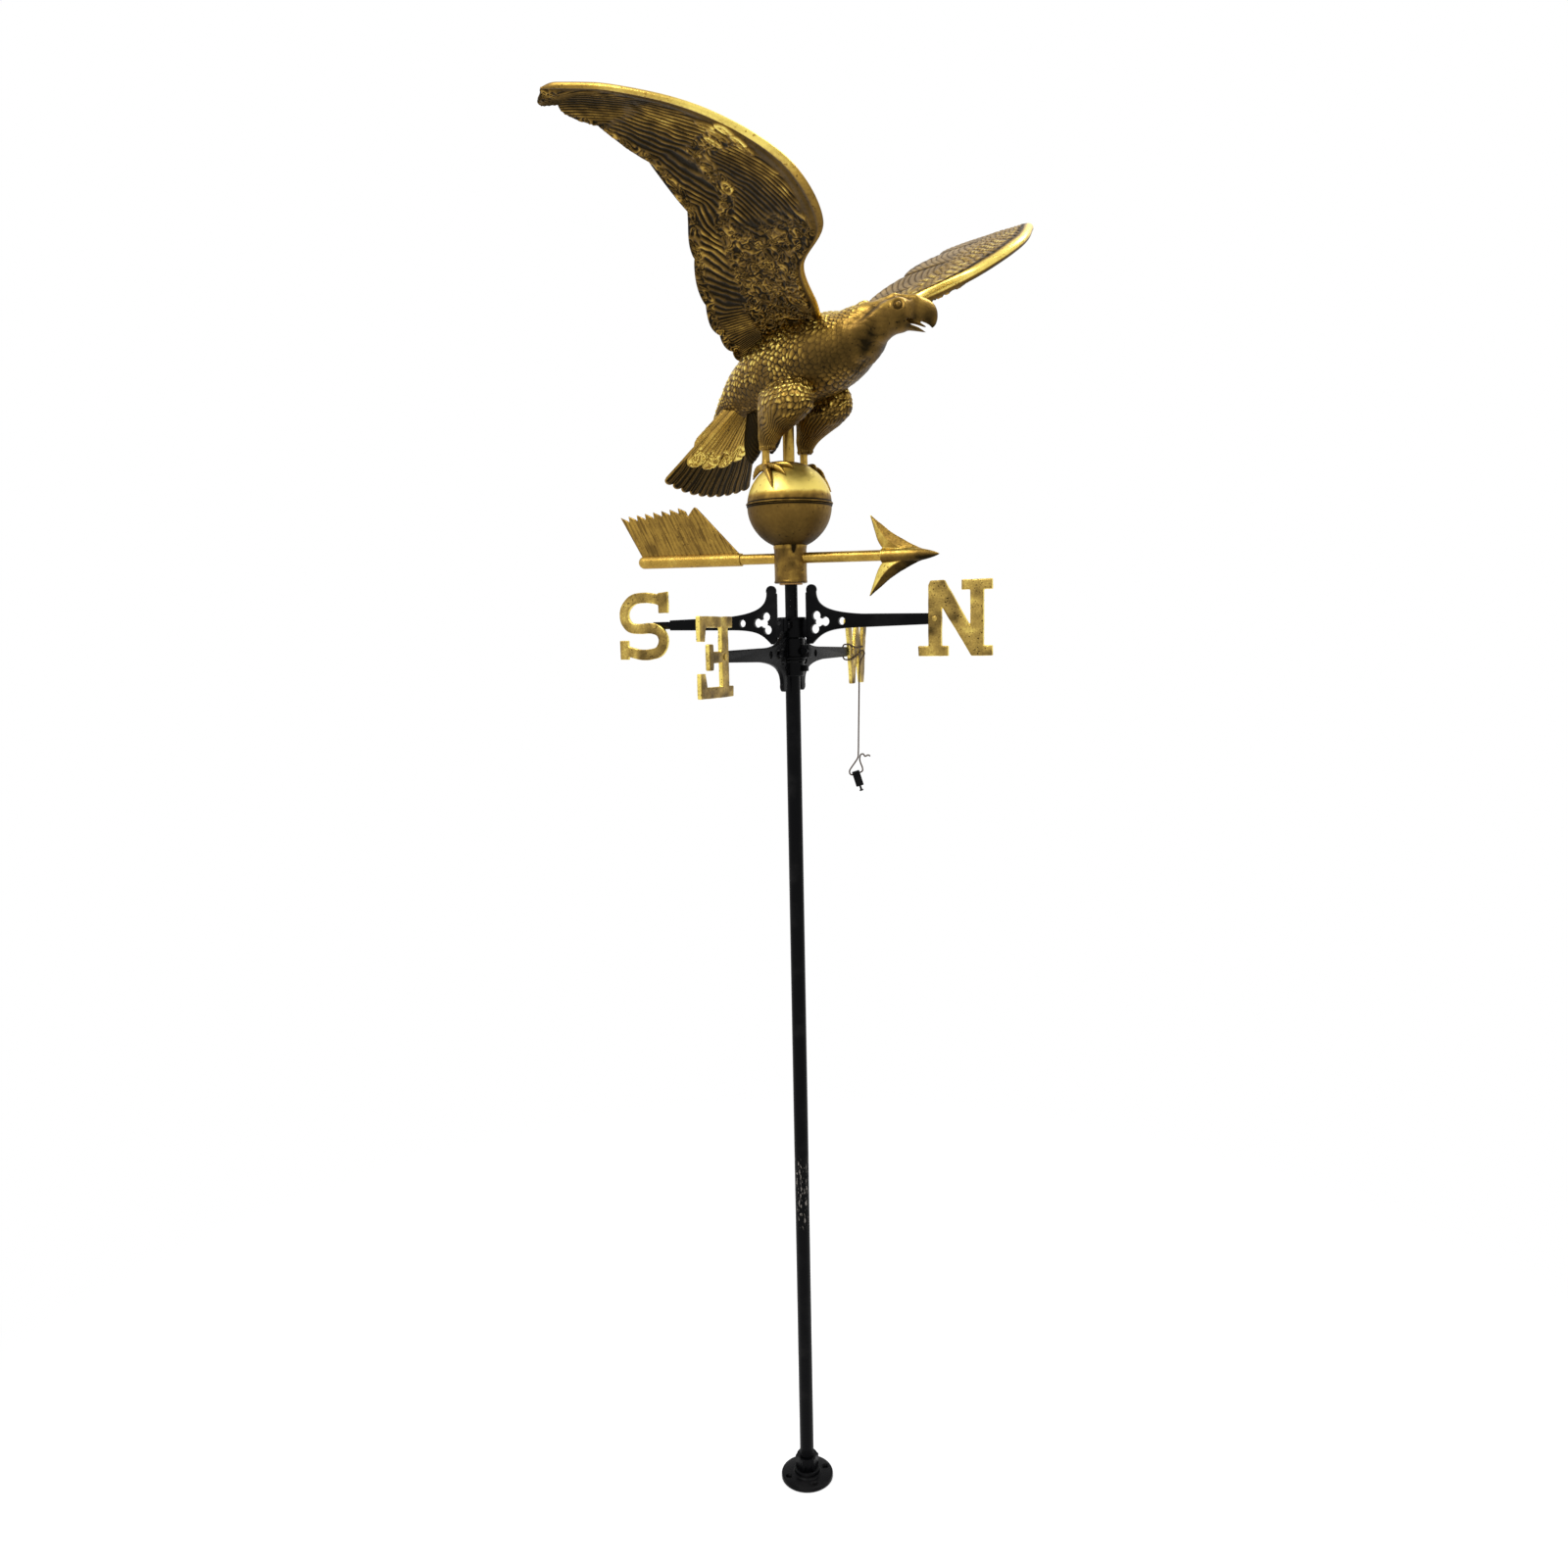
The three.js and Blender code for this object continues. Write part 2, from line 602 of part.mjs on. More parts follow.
// Letters, drawn in shares of their width and height, as read from the front
const northShares = [
  [0, 0], [0.41, 0], [0.41, 0.138], [0.32, 0.138], [0.32, 0.66], [0.72, 0], [1, 0], [1, 0.138],
  [0.885, 0.138], [0.885, 0.862], [1, 0.862], [1, 1], [0.59, 1], [0.59, 0.862], [0.705, 0.862],
  [0.705, 0.4], [0.36, 1], [0.17, 1], [0.14, 0.94], [0.14, 0.138], [0, 0.138],
];
const eastShares = [
  [0, 0], [1, 0], [1, 0.31], [0.85, 0.31], [0.81, 0.138], [0.345, 0.138], [0.345, 0.43],
  [0.6, 0.43], [0.6, 0.34], [0.73, 0.34], [0.73, 0.66], [0.6, 0.66], [0.6, 0.57], [0.345, 0.57],
  [0.345, 0.862], [0.81, 0.862], [0.85, 0.69], [1, 0.69], [1, 1], [0, 1], [0, 0.862],
  [0.13, 0.862], [0.13, 0.138], [0, 0.138],
];
const westShares = [
  [0.22, 0], [0.36, 0], [0.5, 0.55], [0.64, 0], [0.78, 0], [0.93, 0.88], [1, 0.88], [1, 1],
  [0.7, 1], [0.7, 0.88], [0.775, 0.88], [0.7, 0.42], [0.56, 0.9], [0.44, 0.9], [0.3, 0.42],
  [0.225, 0.88], [0.3, 0.88], [0.3, 1], [0, 1], [0, 0.88], [0.07, 0.88],
];
const southSpineShares = [
  [0.84, 0.74], [0.74, 0.87], [0.52, 0.91], [0.24, 0.85], [0.11, 0.71], [0.24, 0.58],
  [0.5, 0.51], [0.78, 0.42], [0.89, 0.27], [0.76, 0.13], [0.48, 0.09], [0.24, 0.14], [0.15, 0.27],
];

function letterShape(shares, width) {
  return shapeOf(shares.map(([across, up]) => [(across - 0.5) * width, (up - 0.5) * LETTER_HEIGHT]));
}

// The S is one curved stroke with a square slab at either end
function southShape() {
  const places = southSpineShares.map(([across, up]) => (
    new THREE.Vector3((across - 0.5) * SOUTH_WIDTH, (up - 0.5) * LETTER_HEIGHT, 0)
  ));
  const spine = new THREE.CatmullRomCurve3(places, false, 'centripetal');
  const steps = 2 * places.length;
  const half = (LETTER_STROKE * 0.96) / 2;
  const sides = [[], []];
  for (let step = 0; step <= steps; step += 1) {
    const point = spine.getPoint(step / steps);
    const along = spine.getTangent(step / steps);
    sides[0].push([point.x - half * along.y, point.y + half * along.x]);
    sides[1].push([point.x + half * along.y, point.y - half * along.x]);
  }
  return shapeOf([...sides[0], ...sides[1].reverse()]);
}

function letterPlate(shape, rivetAcross) {
  const raised = plate(shape, LETTER_THICK, LETTER_BEVEL);
  const hole = rodAlongY(RIVET / 2 + FIT, -LETTER_THICK, LETTER_THICK, SMALL_ROUND)
    .translate(rivetAcross, 0, 0);
  return cut(raised, hole);
}

// Rivet along Y with its round head on the letter and its shop head on the tongue
function letterRivet() {
  const front = LETTER_THICK + FIT + RIVET_HEAD_RISE;
  const back = TONGUE_THICK + FIT;
  return turned([
    [0, -front],
    [RIVET_HEAD / 3, -front + RIVET_HEAD_RISE / 4],
    [RIVET_HEAD / 2, -front + RIVET_HEAD_RISE],
    [RIVET / 2, -front + RIVET_HEAD_RISE],
    [RIVET / 2, back],
    [RIVET_HEAD / 2, back],
    [RIVET_HEAD / 3, back + RIVET_SHOP_HEAD_RISE],
    [0, back + RIVET_SHOP_HEAD_RISE],
  ], SMALL_ROUND).rotateX(-Math.PI / 2);
}

const compass = {
  north: {
    edge: LETTER_CENTRE - 0.36 * NORTH_WIDTH - FIT,
    rivet: LETTER_CENTRE - 0.27 * NORTH_WIDTH,
    tongueSide: 1,
  },
  south: {
    edge: LETTER_CENTRE - 0.5 * SOUTH_WIDTH - FIT,
    rivet: LETTER_CENTRE - 0.22 * SOUTH_WIDTH,
    tongueSide: -1,
  },
  east: {
    edge: LETTER_CENTRE - 0.37 * EAST_WIDTH - FIT,
    rivet: LETTER_CENTRE - 0.2625 * EAST_WIDTH,
    tongueSide: 1,
  },
  west: {
    edge: LETTER_CENTRE - 0.4 * WEST_WIDTH - FIT,
    rivet: LETTER_CENTRE - 0.255 * WEST_WIDTH,
    tongueSide: -1,
  },
};
for (const letter of Object.values(compass)) {
  letter.tongueEnd = letter.rivet + TONGUE_HEIGHT / 2;
}

// Clamp bolt along X with a square head, and its nut
function clampBolt() {
  const under = EAR_THICK + FIT;
  const shank = rodAlongX(CLAMP_BOLT / 2, -under - NUT_HEIGHT - BOLT_SPARE, under + FIT, SMALL_ROUND);
  const half = BOLT_HEAD_FLATS / 2;
  return join(shank, block([under, -half, -half], [under + BOLT_HEAD_HEIGHT, half, half]));
}

function clampNut() {
  const under = EAR_THICK + FIT;
  const nut = hexagon(BOLT_HEAD_FLATS, under, under + NUT_HEIGHT);
  const bore = rod(CLAMP_BOLT / 2 + FIT, 0, under + NUT_HEIGHT + OVERRUN, SMALL_ROUND);
  return cut(nut, bore).rotateY(-Math.PI / 2);
}

function stopCollar() {
  const bottom = -STOP_COLLAR_HEIGHT;
  const whole = turned([
    [0, bottom],
    [STOP_COLLAR_OD / 2, bottom],
    [STOP_COLLAR_OD / 2, -STOP_LIP - STOP_LIP_PROUD],
    [STOP_COLLAR_OD / 2 + STOP_LIP_PROUD, -STOP_LIP],
    [STOP_COLLAR_OD / 2 + STOP_LIP_PROUD, 0],
    [0, 0],
  ]);
  const reach = STOP_COLLAR_OD / 2 + OVERRUN;
  return cut(
    whole,
    rod(PIPE_OD / 2 + FIT, bottom - OVERRUN, OVERRUN),
    rodAlongX(SET_SCREW / 2 + FIT, -reach, reach, SMALL_ROUND).translate(0, 0, -SET_SCREW_DROP),
  );
}

function setScrew() {
  const seat = STOP_COLLAR_OD / 2 + FIT;
  const half = SET_SCREW_HEAD / 2;
  const shank = rodAlongX(SET_SCREW / 2, PIPE_OD / 2 + FIT, seat + FIT, SMALL_ROUND);
  return join(shank, block([seat, -half, -half], [seat + SET_SCREW_STAND, half, half]));
}

// Mast assembly
add(mast, 'floor_flange', floorFlange(), blackIron);
add(mast, 'hex_locknut', locknut(), blackIron);
add(mast, 'mast_pipe', mastPipe(), blackIron);
add(mast, 'spindle', spindle(), blackSteel);

const arms = {
  north: { turn: 0, flip: false, letter: letterShape(northShares, NORTH_WIDTH), face: 0 },
  south: { turn: Math.PI, flip: false, letter: southShape(), face: 0 },
  east: { turn: -Math.PI / 2, flip: true, letter: letterShape(eastShares, EAST_WIDTH), face: -Math.PI / 2 },
  west: { turn: Math.PI / 2, flip: true, letter: letterShape(westShares, WEST_WIDTH), face: Math.PI / 2 },
};
for (const [name, { turn, flip, letter, face }] of Object.entries(arms)) {
  const height = flip ? EAST_WEST_HEIGHT : NORTH_SOUTH_HEIGHT;
  const casting = arm(compass[name]);
  if (flip) {
    casting.rotateX(Math.PI);
  }
  const group = new THREE.Group();
  group.position.z = height;
  group.rotation.z = turn;
  mast.add(group);
  add(group, `arm_${name}`, casting, blackIron);

  // The letter lies on the side of the arm away from the tongue
  const side = (flip ? -1 : 1) * compass[name].tongueSide;
  const lift = side * (PLATE_THICK / 2 - TONGUE_THICK - FIT - LETTER_THICK / 2);
  const seat = new THREE.Group();
  seat.position.set(LETTER_CENTRE, lift, 0);
  seat.rotation.z = face - turn;
  group.add(seat);
  const hubward = Math.cos(face - turn) > 0 ? -1 : 1;
  const rivetAcross = hubward * (LETTER_CENTRE - compass[name].rivet);
  add(seat, `letter_${name}`, letterPlate(letter, rivetAcross), paleGilt);

  const rivet = letterRivet();
  const letterBack = lift > 0 ? -1 : 1;
  rivet.rotateZ(letterBack > 0 ? 0 : Math.PI);
  rivet.translate(compass[name].rivet, lift + (letterBack * LETTER_THICK) / 2, 0);
  add(group, `letter_rivet_${name}`, rivet, paleGilt);
}

for (const [pair, turn, height, drop] of [
  ['north_south', 0, NORTH_SOUTH_HEIGHT, -CLAMP_BOLT_DROP],
  ['east_west', Math.PI / 2, EAST_WEST_HEIGHT, CLAMP_BOLT_DROP],
]) {
  for (const [index, hand] of [-1, 1].entries()) {
    const group = new THREE.Group();
    group.position.z = height + drop;
    group.rotation.z = turn;
    mast.add(group);
    add(group, `clamp_bolt_${pair}_${index + 1}`, clampBolt().translate(0, hand * CLAMP_BOLT_OUT, 0), blackSteel);
    add(group, `clamp_nut_${pair}_${index + 1}`, clampNut().translate(0, hand * CLAMP_BOLT_OUT, 0), blackSteel);
  }
}

const stopTop = EAST_WEST_HEIGHT - SADDLE_TOP - FIT;
add(mast, 'stop_collar', stopCollar().translate(0, 0, stopTop), blackIron);
for (const [index, turn] of [0, Math.PI].entries()) {
  const screw = setScrew().rotateZ(turn).translate(0, 0, stopTop - SET_SCREW_DROP);
  add(mast, `stop_collar_screw_${index + 1}`, screw, blackSteel);
}

function ballSeat() {
  const radius = (BALL_RADIUS + FIT) / Math.cos(Math.PI / BALL_SIDES);
  return new THREE.SphereGeometry(radius, BALL_SIDES, 4 * BALL_ROWS)
    .rotateX(Math.PI / 2)
    .translate(0, 0, BALL_CENTRE);
}

// Collar of the vane: seated under the ball, with a socket for each arrow rod
function vaneCollar() {
  const radius = COLLAR_OD / 2;
  const rim = radius + COLLAR_RIM_PROUD;
  const whole = turned([
    [0, COLLAR_BOTTOM],
    [radius, COLLAR_BOTTOM],
    [rim, COLLAR_BOTTOM + COLLAR_RIM / 2],
    [rim, COLLAR_BOTTOM + COLLAR_RIM],
    [radius, COLLAR_BOTTOM + COLLAR_RIM + COLLAR_RIM_PROUD],
    [radius, BALL_CENTRE],
    [0, BALL_CENTRE],
  ]);
  const bushSeat = rod(BUSH_OD / 2 + FIT, COLLAR_BOTTOM - OVERRUN, COLLAR_BOTTOM + BUSH_LENGTH + FIT);
  const tubeBore = rod(TUBE_OD / 2 + FIT, COLLAR_BOTTOM, BALL_CENTRE);
  const sockets = arrowPlaced(rodAlongX(ROD_OD / 2 + FIT, -COLLAR_OD, COLLAR_OD));
  return cut(whole, ballSeat(), bushSeat, tubeBore, sockets);
}

function collarBush() {
  const bore = SPINDLE_OD / 2 + RUNNING_FIT;
  const top = COLLAR_BOTTOM + BUSH_LENGTH;
  return turnedRing([
    [bore, COLLAR_BOTTOM - FIT - BUSH_FLANGE_THICK],
    [BUSH_FLANGE_OD / 2, COLLAR_BOTTOM - FIT - BUSH_FLANGE_THICK],
    [BUSH_FLANGE_OD / 2, COLLAR_BOTTOM - FIT],
    [BUSH_OD / 2, COLLAR_BOTTOM - FIT],
    [BUSH_OD / 2, top],
    [bore, top],
  ]);
}

// Closed tube that turns on the pivot: its blind bore holds the thrust ball
function spindleTube() {
  const bore = PIVOT_OD / 2 + RUNNING_FIT;
  const bottom = COLLAR_BOTTOM + BUSH_LENGTH + FIT;
  const roof = PIVOT_TOP + THRUST_BALL + 2 * FIT;
  return turned([
    [0, roof],
    [bore, roof],
    [bore, bottom],
    [TUBE_OD / 2, bottom],
    [TUBE_OD / 2, TUBE_TOP],
    [0, TUBE_TOP],
  ]);
}

function thrustBall() {
  return new THREE.SphereGeometry(THRUST_BALL / 2, SMALL_ROUND, SMALL_ROUND / 2)
    .rotateX(Math.PI / 2)
    .translate(0, 0, PIVOT_TOP + FIT + THRUST_BALL / 2);
}

// One spun half of the ball, as a bowl with a rolled rim: upper has sign 1, lower has sign -1
function ballHalf(sign, rimProud, rimHeight) {
  const hole = TUBE_OD / 2 + FIT;
  const steps = BALL_ROWS;
  const rimAngle = Math.asin(rimHeight / BALL_RADIUS);
  const poleAngle = Math.acos(hole / BALL_RADIUS);
  const inner = BALL_RADIUS - BALL_WALL;
  const innerPole = Math.acos(hole / inner);
  const outerArc = Array.from({ length: steps + 1 }, (_, step) => {
    const angle = rimAngle + ((poleAngle - rimAngle) * step) / steps;
    return [BALL_RADIUS * Math.cos(angle), BALL_RADIUS * Math.sin(angle)];
  });
  const innerArc = Array.from({ length: steps - 1 }, (_, step) => {
    const angle = innerPole * (1 - step / (steps - 2));
    return [inner * Math.cos(angle), inner * Math.sin(angle)];
  });
  const rim = [
    [BALL_RADIUS + rimProud * 0.7, 0],
    [BALL_RADIUS + rimProud, rimHeight * 0.35],
    [BALL_RADIUS + rimProud * 0.8, rimHeight * 0.75],
  ];
  const seam = FIT / 2;
  const profile = [...rim, ...outerArc, ...innerArc]
    .map(([radius, height]) => [radius, BALL_CENTRE + sign * (Math.max(height, 0) + seam)]);
  return turnedRing(sign > 0 ? profile : profile.reverse(), BALL_SIDES);
}

// Pieces of the arrow are drawn level and then take its droop about the mast
function arrowPlaced(geometry) {
  return geometry.rotateY(ARROW_DROOP).translate(0, 0, ARROW_HEIGHT);
}

function arrowPoint() {
  const cone = turned([
    [0, POINT_SOCKET],
    [POINT_CONE_RADIUS, POINT_SOCKET],
    [POINT_CONE_RADIUS, POINT_SOCKET + (POINT_TIP - POINT_SOCKET) / 2],
    [POINT_CONE_RADIUS * 0.6, POINT_SOCKET + (POINT_TIP - POINT_SOCKET) * 0.84],
    [0, POINT_TIP],
  ]).rotateY(Math.PI / 2);
  const length = POINT_TIP - BARB_REACH;
  const barbShares = [
    { outer: [0.95, 0.02], inner: [0.4, 0.02], thick: 0.5 },
    { outer: [0.83, 0.09], inner: [0.32, 0.05], thick: 1 },
    { outer: [0.68, 0.2], inner: [0.26, 0.1], thick: 1 },
    { outer: [0.5, 0.36], inner: [0.18, 0.18], thick: 0.95 },
    { outer: [0.33, 0.54], inner: [0.115, 0.36], thick: 0.8 },
    { outer: [0.15, 0.79], inner: [0.05, 0.68], thick: 0.5 },
    { outer: [0.01, 0.99], inner: [0, 0.97], thick: 0.1 },
  ];
  const barb = (hand) => skin(barbShares.map(({ outer, inner, thick }) => {
    const [front, back] = [outer, inner].map(([forward, out]) => (
      new THREE.Vector3(BARB_REACH + forward * length, 0, hand * out * BARB_RISE)
    ));
    const ridge = front.clone().lerp(back, 0.5);
    const half = new THREE.Vector3(0, (thick * BARB_THICK) / 2, 0);
    return [front, ridge.clone().add(half), back, ridge.clone().sub(half)];
  }));
  const socket = rodAlongX(ROD_OD / 2 + FIT, POINT_SOCKET - OVERRUN - BARB_RISE, POINT_SOCKET + POINT_SOCKET_DEPTH);
  return cut(join(cone, barb(1), barb(-1)), socket);
}

// Saw-toothed feather plate standing in a slot of the rear sleeve
function fletching() {
  const seat = ROD_OD / 2 + 2 * FIT;
  const pitch = (FLETCH_REAR_TIP - FLETCH_LAST_TOOTH) / (FLETCH_TEETH - 1);
  const climb = (FLETCH_RISE - FLETCH_REAR_RISE) / (FLETCH_TEETH - 1);
  const points = [[-FLETCH_FRONT, seat], [-FLETCH_REAR, seat]];
  for (let tooth = 0; tooth < FLETCH_TEETH; tooth += 1) {
    const tip = -FLETCH_REAR_TIP + pitch * tooth;
    const rise = FLETCH_REAR_RISE + climb * tooth;
    points.push([tip, rise]);
    points.push([tip + pitch * 0.72 + FLETCH_TOOTH_DEPTH * FLETCH_LEAN * 0.5, rise - FLETCH_TOOTH_DEPTH * 0.45]);
    points.push([tip + pitch * 0.8 + FLETCH_TOOTH_DEPTH * FLETCH_LEAN * 0.8, rise - FLETCH_TOOTH_DEPTH]);
  }
  points.push([-FLETCH_CREST - pitch * 0.55, FLETCH_RISE - pitch / 4]);
  points.push([-FLETCH_CREST - pitch * 0.3, FLETCH_RISE]);
  points.push([-FLETCH_CREST, FLETCH_RISE - pitch / 8]);
  return plate(shapeOf(points.reverse()), FLETCH_THICK);
}

function arrowSleeve() {
  const radius = SLEEVE_OD / 2;
  const dome = [1, 0.92, 0.7, 0.38, 0].map((share) => [radius * share, radius * Math.sqrt(1 - share * share)]);
  const whole = turned([
    [0, SLEEVE_FRONT],
    [radius, SLEEVE_FRONT],
    ...dome.map(([out, along]) => [out, SLEEVE_REAR - radius + along]),
  ]).rotateY(-Math.PI / 2);
  const bore = rodAlongX(ROD_OD / 2 + FIT, -REAR_ROD_END - FIT, -SLEEVE_FRONT + OVERRUN);
  const half = FLETCH_THICK / 2 + FIT;
  const slotEnd = FLETCH_REAR + FLETCH_LEAN * (SLEEVE_OD - ROD_OD) / 2 + FIT;
  const slot = block([-slotEnd, -half, 0], [-SLEEVE_FRONT + OVERRUN, half, SLEEVE_OD]);
  return cut(whole, bore, slot);
}

add(vane, 'vane_collar', vaneCollar(), gilt);
add(vane, 'collar_bush', collarBush(), bronze);
add(vane, 'thrust_ball', thrustBall(), plainSteel);
add(vane, 'spindle_tube', spindleTube(), gilt);
add(vane, 'ball_upper', ballHalf(1, BALL_RIM_PROUD, BALL_RIM_HEIGHT), gilt);
add(vane, 'ball_lower', ballHalf(-1, BALL_UNDER_RIM_PROUD, BALL_UNDER_RIM_HEIGHT), gilt);
add(vane, 'arrow_front_rod', arrowPlaced(rodAlongX(ROD_OD / 2, ROD_INNER_END, FRONT_ROD_END)), gilt);
add(vane, 'arrow_rear_rod', arrowPlaced(rodAlongX(ROD_OD / 2, -REAR_ROD_END, -ROD_INNER_END)), gilt);
add(vane, 'arrow_point', arrowPlaced(arrowPoint()), gilt);
add(vane, 'arrow_sleeve', arrowPlaced(arrowSleeve()), gilt);
add(vane, 'arrow_fletching', arrowPlaced(fletching()), gilt);

// Places in the eagle are [forward, left, up]
const FORWARD = new THREE.Vector3(1, 0, 0);
const UP = new THREE.Vector3(0, 0, 1);
const DOWN = UP.clone().negate();

// Body: oval rings from the tail root to the foot of the neck
const bodyShares = [
  { along: 0, rise: 0, deep: 0.09, wide: 0.19 },
  { along: 0.12, rise: 0.24, deep: 0.2, wide: 0.3 },
  { along: 0.27, rise: 0.47, deep: 0.34, wide: 0.42 },
  { along: 0.46, rise: 0.62, deep: 0.46, wide: 0.49 },
  { along: 0.68, rise: 0.7, deep: 0.49, wide: 0.5 },
  { along: 0.85, rise: 0.75, deep: 0.45, wide: 0.47 },
  { along: 0.94, rise: 0.79, deep: 0.395, wide: 0.42 },
  { along: 1, rise: 0.84, deep: 0.34, wide: 0.36 },
];

function bodySolid(grow = 0) {
  const stations = bodyShares.map(({ along, rise, deep, wide }) => [
    [along * BODY_LENGTH - BODY_BACK, 0, BODY_LOW + rise * BODY_RISE],
    deep * BODY_DEPTH,
    wide * BODY_WIDTH,
  ]);
  return limb(stations, ROUND, 2 * HEX, UP, grow);
}

function bodyHalf(side) {
  const reach = BODY_LENGTH + BODY_WIDTH;
  const edges = [(side * SEAM_GAP) / 2, side * reach].sort((a, b) => a - b);
  const half = block([-reach, edges[0], 0], [reach, edges[1], TUBE_TOP + reach]);
  return cut(keep(bodySolid(), half), rod(TUBE_OD / 2 + FIT, 0, TUBE_TOP + FIT));
}

// Head and neck, with the head turned to the eagle's left and the beak open
function headPlace(forward, up) {
  return [
    HEAD_FORWARD + forward * Math.cos(HEAD_TURN),
    HEAD_LEFT + forward * Math.sin(HEAD_TURN),
    EYE_HEIGHT + up,
  ];
}

function headSolid() {
  const tall = HEAD_HEIGHT;
  const wide = HEAD_WIDTH;
  const long = BEAK_LENGTH;
  const neckFoot = BODY_LENGTH - BODY_BACK - HEAD_WIDTH / 3;
  const neckRise = BODY_LOW + BODY_RISE * 0.8;
  const neck = limb([
    [[neckFoot, 0, neckRise], tall * 0.68, wide * 0.8],
    [[neckFoot * 1.18, HEAD_LEFT * 0.16, neckRise * 0.74 + EYE_HEIGHT * 0.26], tall * 0.7, wide * 0.83],
    [headPlace(-0.5 * long, -0.34 * tall), tall * 0.54, wide * 0.6],
    [headPlace(-0.2 * long, -0.2 * tall), tall * 0.48, wide * 0.51],
    [headPlace(0.1 * long, -0.1 * tall), tall * 0.49, wide * 0.48],
    [headPlace(0.33 * long, 0), tall * 0.34, wide * 0.36],
    [headPlace(0.48 * long, 0.05 * tall), tall * 0.22, wide * 0.24],
  ], SMALL_ROUND + HEX, 2 * HEX, UP);
  const beak = limb([
    [headPlace(0.2 * long, 0), tall * 0.27, BEAK_WIDTH * 0.5],
    [headPlace(0.5 * long, 0.02 * tall), tall * 0.25, BEAK_WIDTH * 0.44],
    [headPlace(0.78 * long, -0.06 * tall), tall * 0.21, BEAK_WIDTH * 0.34],
    [headPlace(0.89 * long, -0.22 * tall), tall * 0.15, BEAK_WIDTH * 0.22],
    [headPlace(0.9 * long, -0.36 * tall), tall * 0.08, BEAK_WIDTH * 0.12],
    [headPlace(0.88 * long, -0.48 * tall), tall * 0.015, BEAK_WIDTH * 0.04],
  ], SMALL_ROUND, SMALL_ROUND - 2, UP);
  const jaw = limb([
    [headPlace(0.04 * long, -0.42 * tall), tall * 0.15, BEAK_WIDTH * 0.5],
    [headPlace(0.32 * long, -0.45 * tall), tall * 0.1, BEAK_WIDTH * 0.38],
    [headPlace(0.56 * long, -0.5 * tall), tall * 0.065, BEAK_WIDTH * 0.24],
    [headPlace(0.79 * long, -0.62 * tall), tall * 0.015, BEAK_WIDTH * 0.05],
  ], HEX + 2, HEX - 1, UP);
  const corner = [0.17 * long, -MOUTH_DROP];
  const mouth = plate(shapeOf([
    corner,
    [0.34 * long, -0.2 * tall],
    [0.62 * long, -0.3 * tall],
    [0.92 * long, -0.55 * tall],
    [0.8 * long, -0.6 * tall],
    [0.54 * long, -0.42 * tall],
    [0.3 * long, -0.35 * tall],
  ].reverse()), 2 * HEAD_WIDTH)
    .rotateZ(HEAD_TURN)
    .translate(HEAD_FORWARD, HEAD_LEFT, EYE_HEIGHT);
  const tongue = limb([
    [headPlace(0.15 * long, -0.3 * tall), tall * 0.05, BEAK_WIDTH * 0.2],
    [headPlace(0.45 * long, -0.36 * tall), tall * 0.035, BEAK_WIDTH * 0.16],
    [headPlace(0.72 * long, -0.49 * tall), tall * 0.015, BEAK_WIDTH * 0.05],
  ], HEX, HEX - 2, UP);
  return cut(join(cut(join(neck, beak, jaw), mouth), tongue), bodySolid(FIT));
}

// Wings: closed shells lofted from a leading edge to a feathered trailing edge, in shares of reach, span and rise
const leadingShares = [
  [0.42, 0.07, 0.04], [0.49, 0.12, 0.075], [0.66, 0.26, 0.2], [0.955, 0.34, 0.32],
  [1.035, 0.49, 0.525], [0.87, 0.667, 0.74], [0.597, 0.85, 0.873], [0.33, 0.973, 0.93],
];
const trailingShares = [
  [-0.29, 0.05, -0.07], [-0.25, 0.12, -0.01], [-0.16, 0.23, 0.1], [0.03, 0.37, 0.34],
  [0.25, 0.5, 0.565], [0.292, 0.705, 0.785], [0.236, 0.875, 0.895], [0.271, 0.961, 0.922],
];
const wingSectionShares = [
  [0, 0], [0.012, 0.55], [0.045, 0.95], [0.1, 1], [0.2, 0.74], [0.4, 0.56], [0.65, 0.42], [0.88, 0.26], [1, 0.12],
];

function wingEdge(shares, side, size) {
  const places = shares.map(([reach, span, rise]) => (
    new THREE.Vector3(reach * WING_REACH, side * span * WING_SPAN, rise * WING_RISE)
      .multiplyScalar(size)
      .add(new THREE.Vector3(0, 0, WING_ROOT_HEIGHT))
  ));
  return new THREE.CatmullRomCurve3(places, false, 'centripetal');
}

function wingSolid(side, reach, size) {
  const leading = wingEdge(leadingShares, side, size);
  const trailing = wingEdge(trailingShares, side, size);
  const rings = [];
  for (let station = 0; station <= WING_STATIONS; station += 1) {
    const share = (reach * station) / WING_STATIONS;
    const front = leading.getPoint(share);
    const back = trailing.getPoint(share);
    const chord = back.clone().sub(front);
    const span = leading.getTangent(share).add(trailing.getTangent(share));
    const normal = new THREE.Vector3().crossVectors(chord, span).normalize();
    normal.multiplyScalar(Math.sign(normal.z) || 1);
    const feather = station % WING_FEATHER_STATIONS;
    const tip = feather === 0 ? 0 : WING_SCALLOP * (feather === 1 ? 1 : 0.6);
    back.addScaledVector(chord.clone().normalize(), station < WING_STATIONS ? tip : 0);
    const thick = (WING_THICK / 2) * (1 - 0.55 * share);
    const point = ([along, height], face) => {
      const bow = WING_CAMBER * 4 * along * (1 - along) * (1 - share * share);
      return front.clone().lerp(back, along).addScaledVector(normal, bow + face * height * thick);
    };
    const top = wingSectionShares.map((entry) => point(entry, 1));
    const under = wingSectionShares.slice(1).reverse().map((entry) => point(entry, -1));
    rings.push([...top, ...under]);
  }
  return cut(skin(rings), bodySolid(FIT));
}

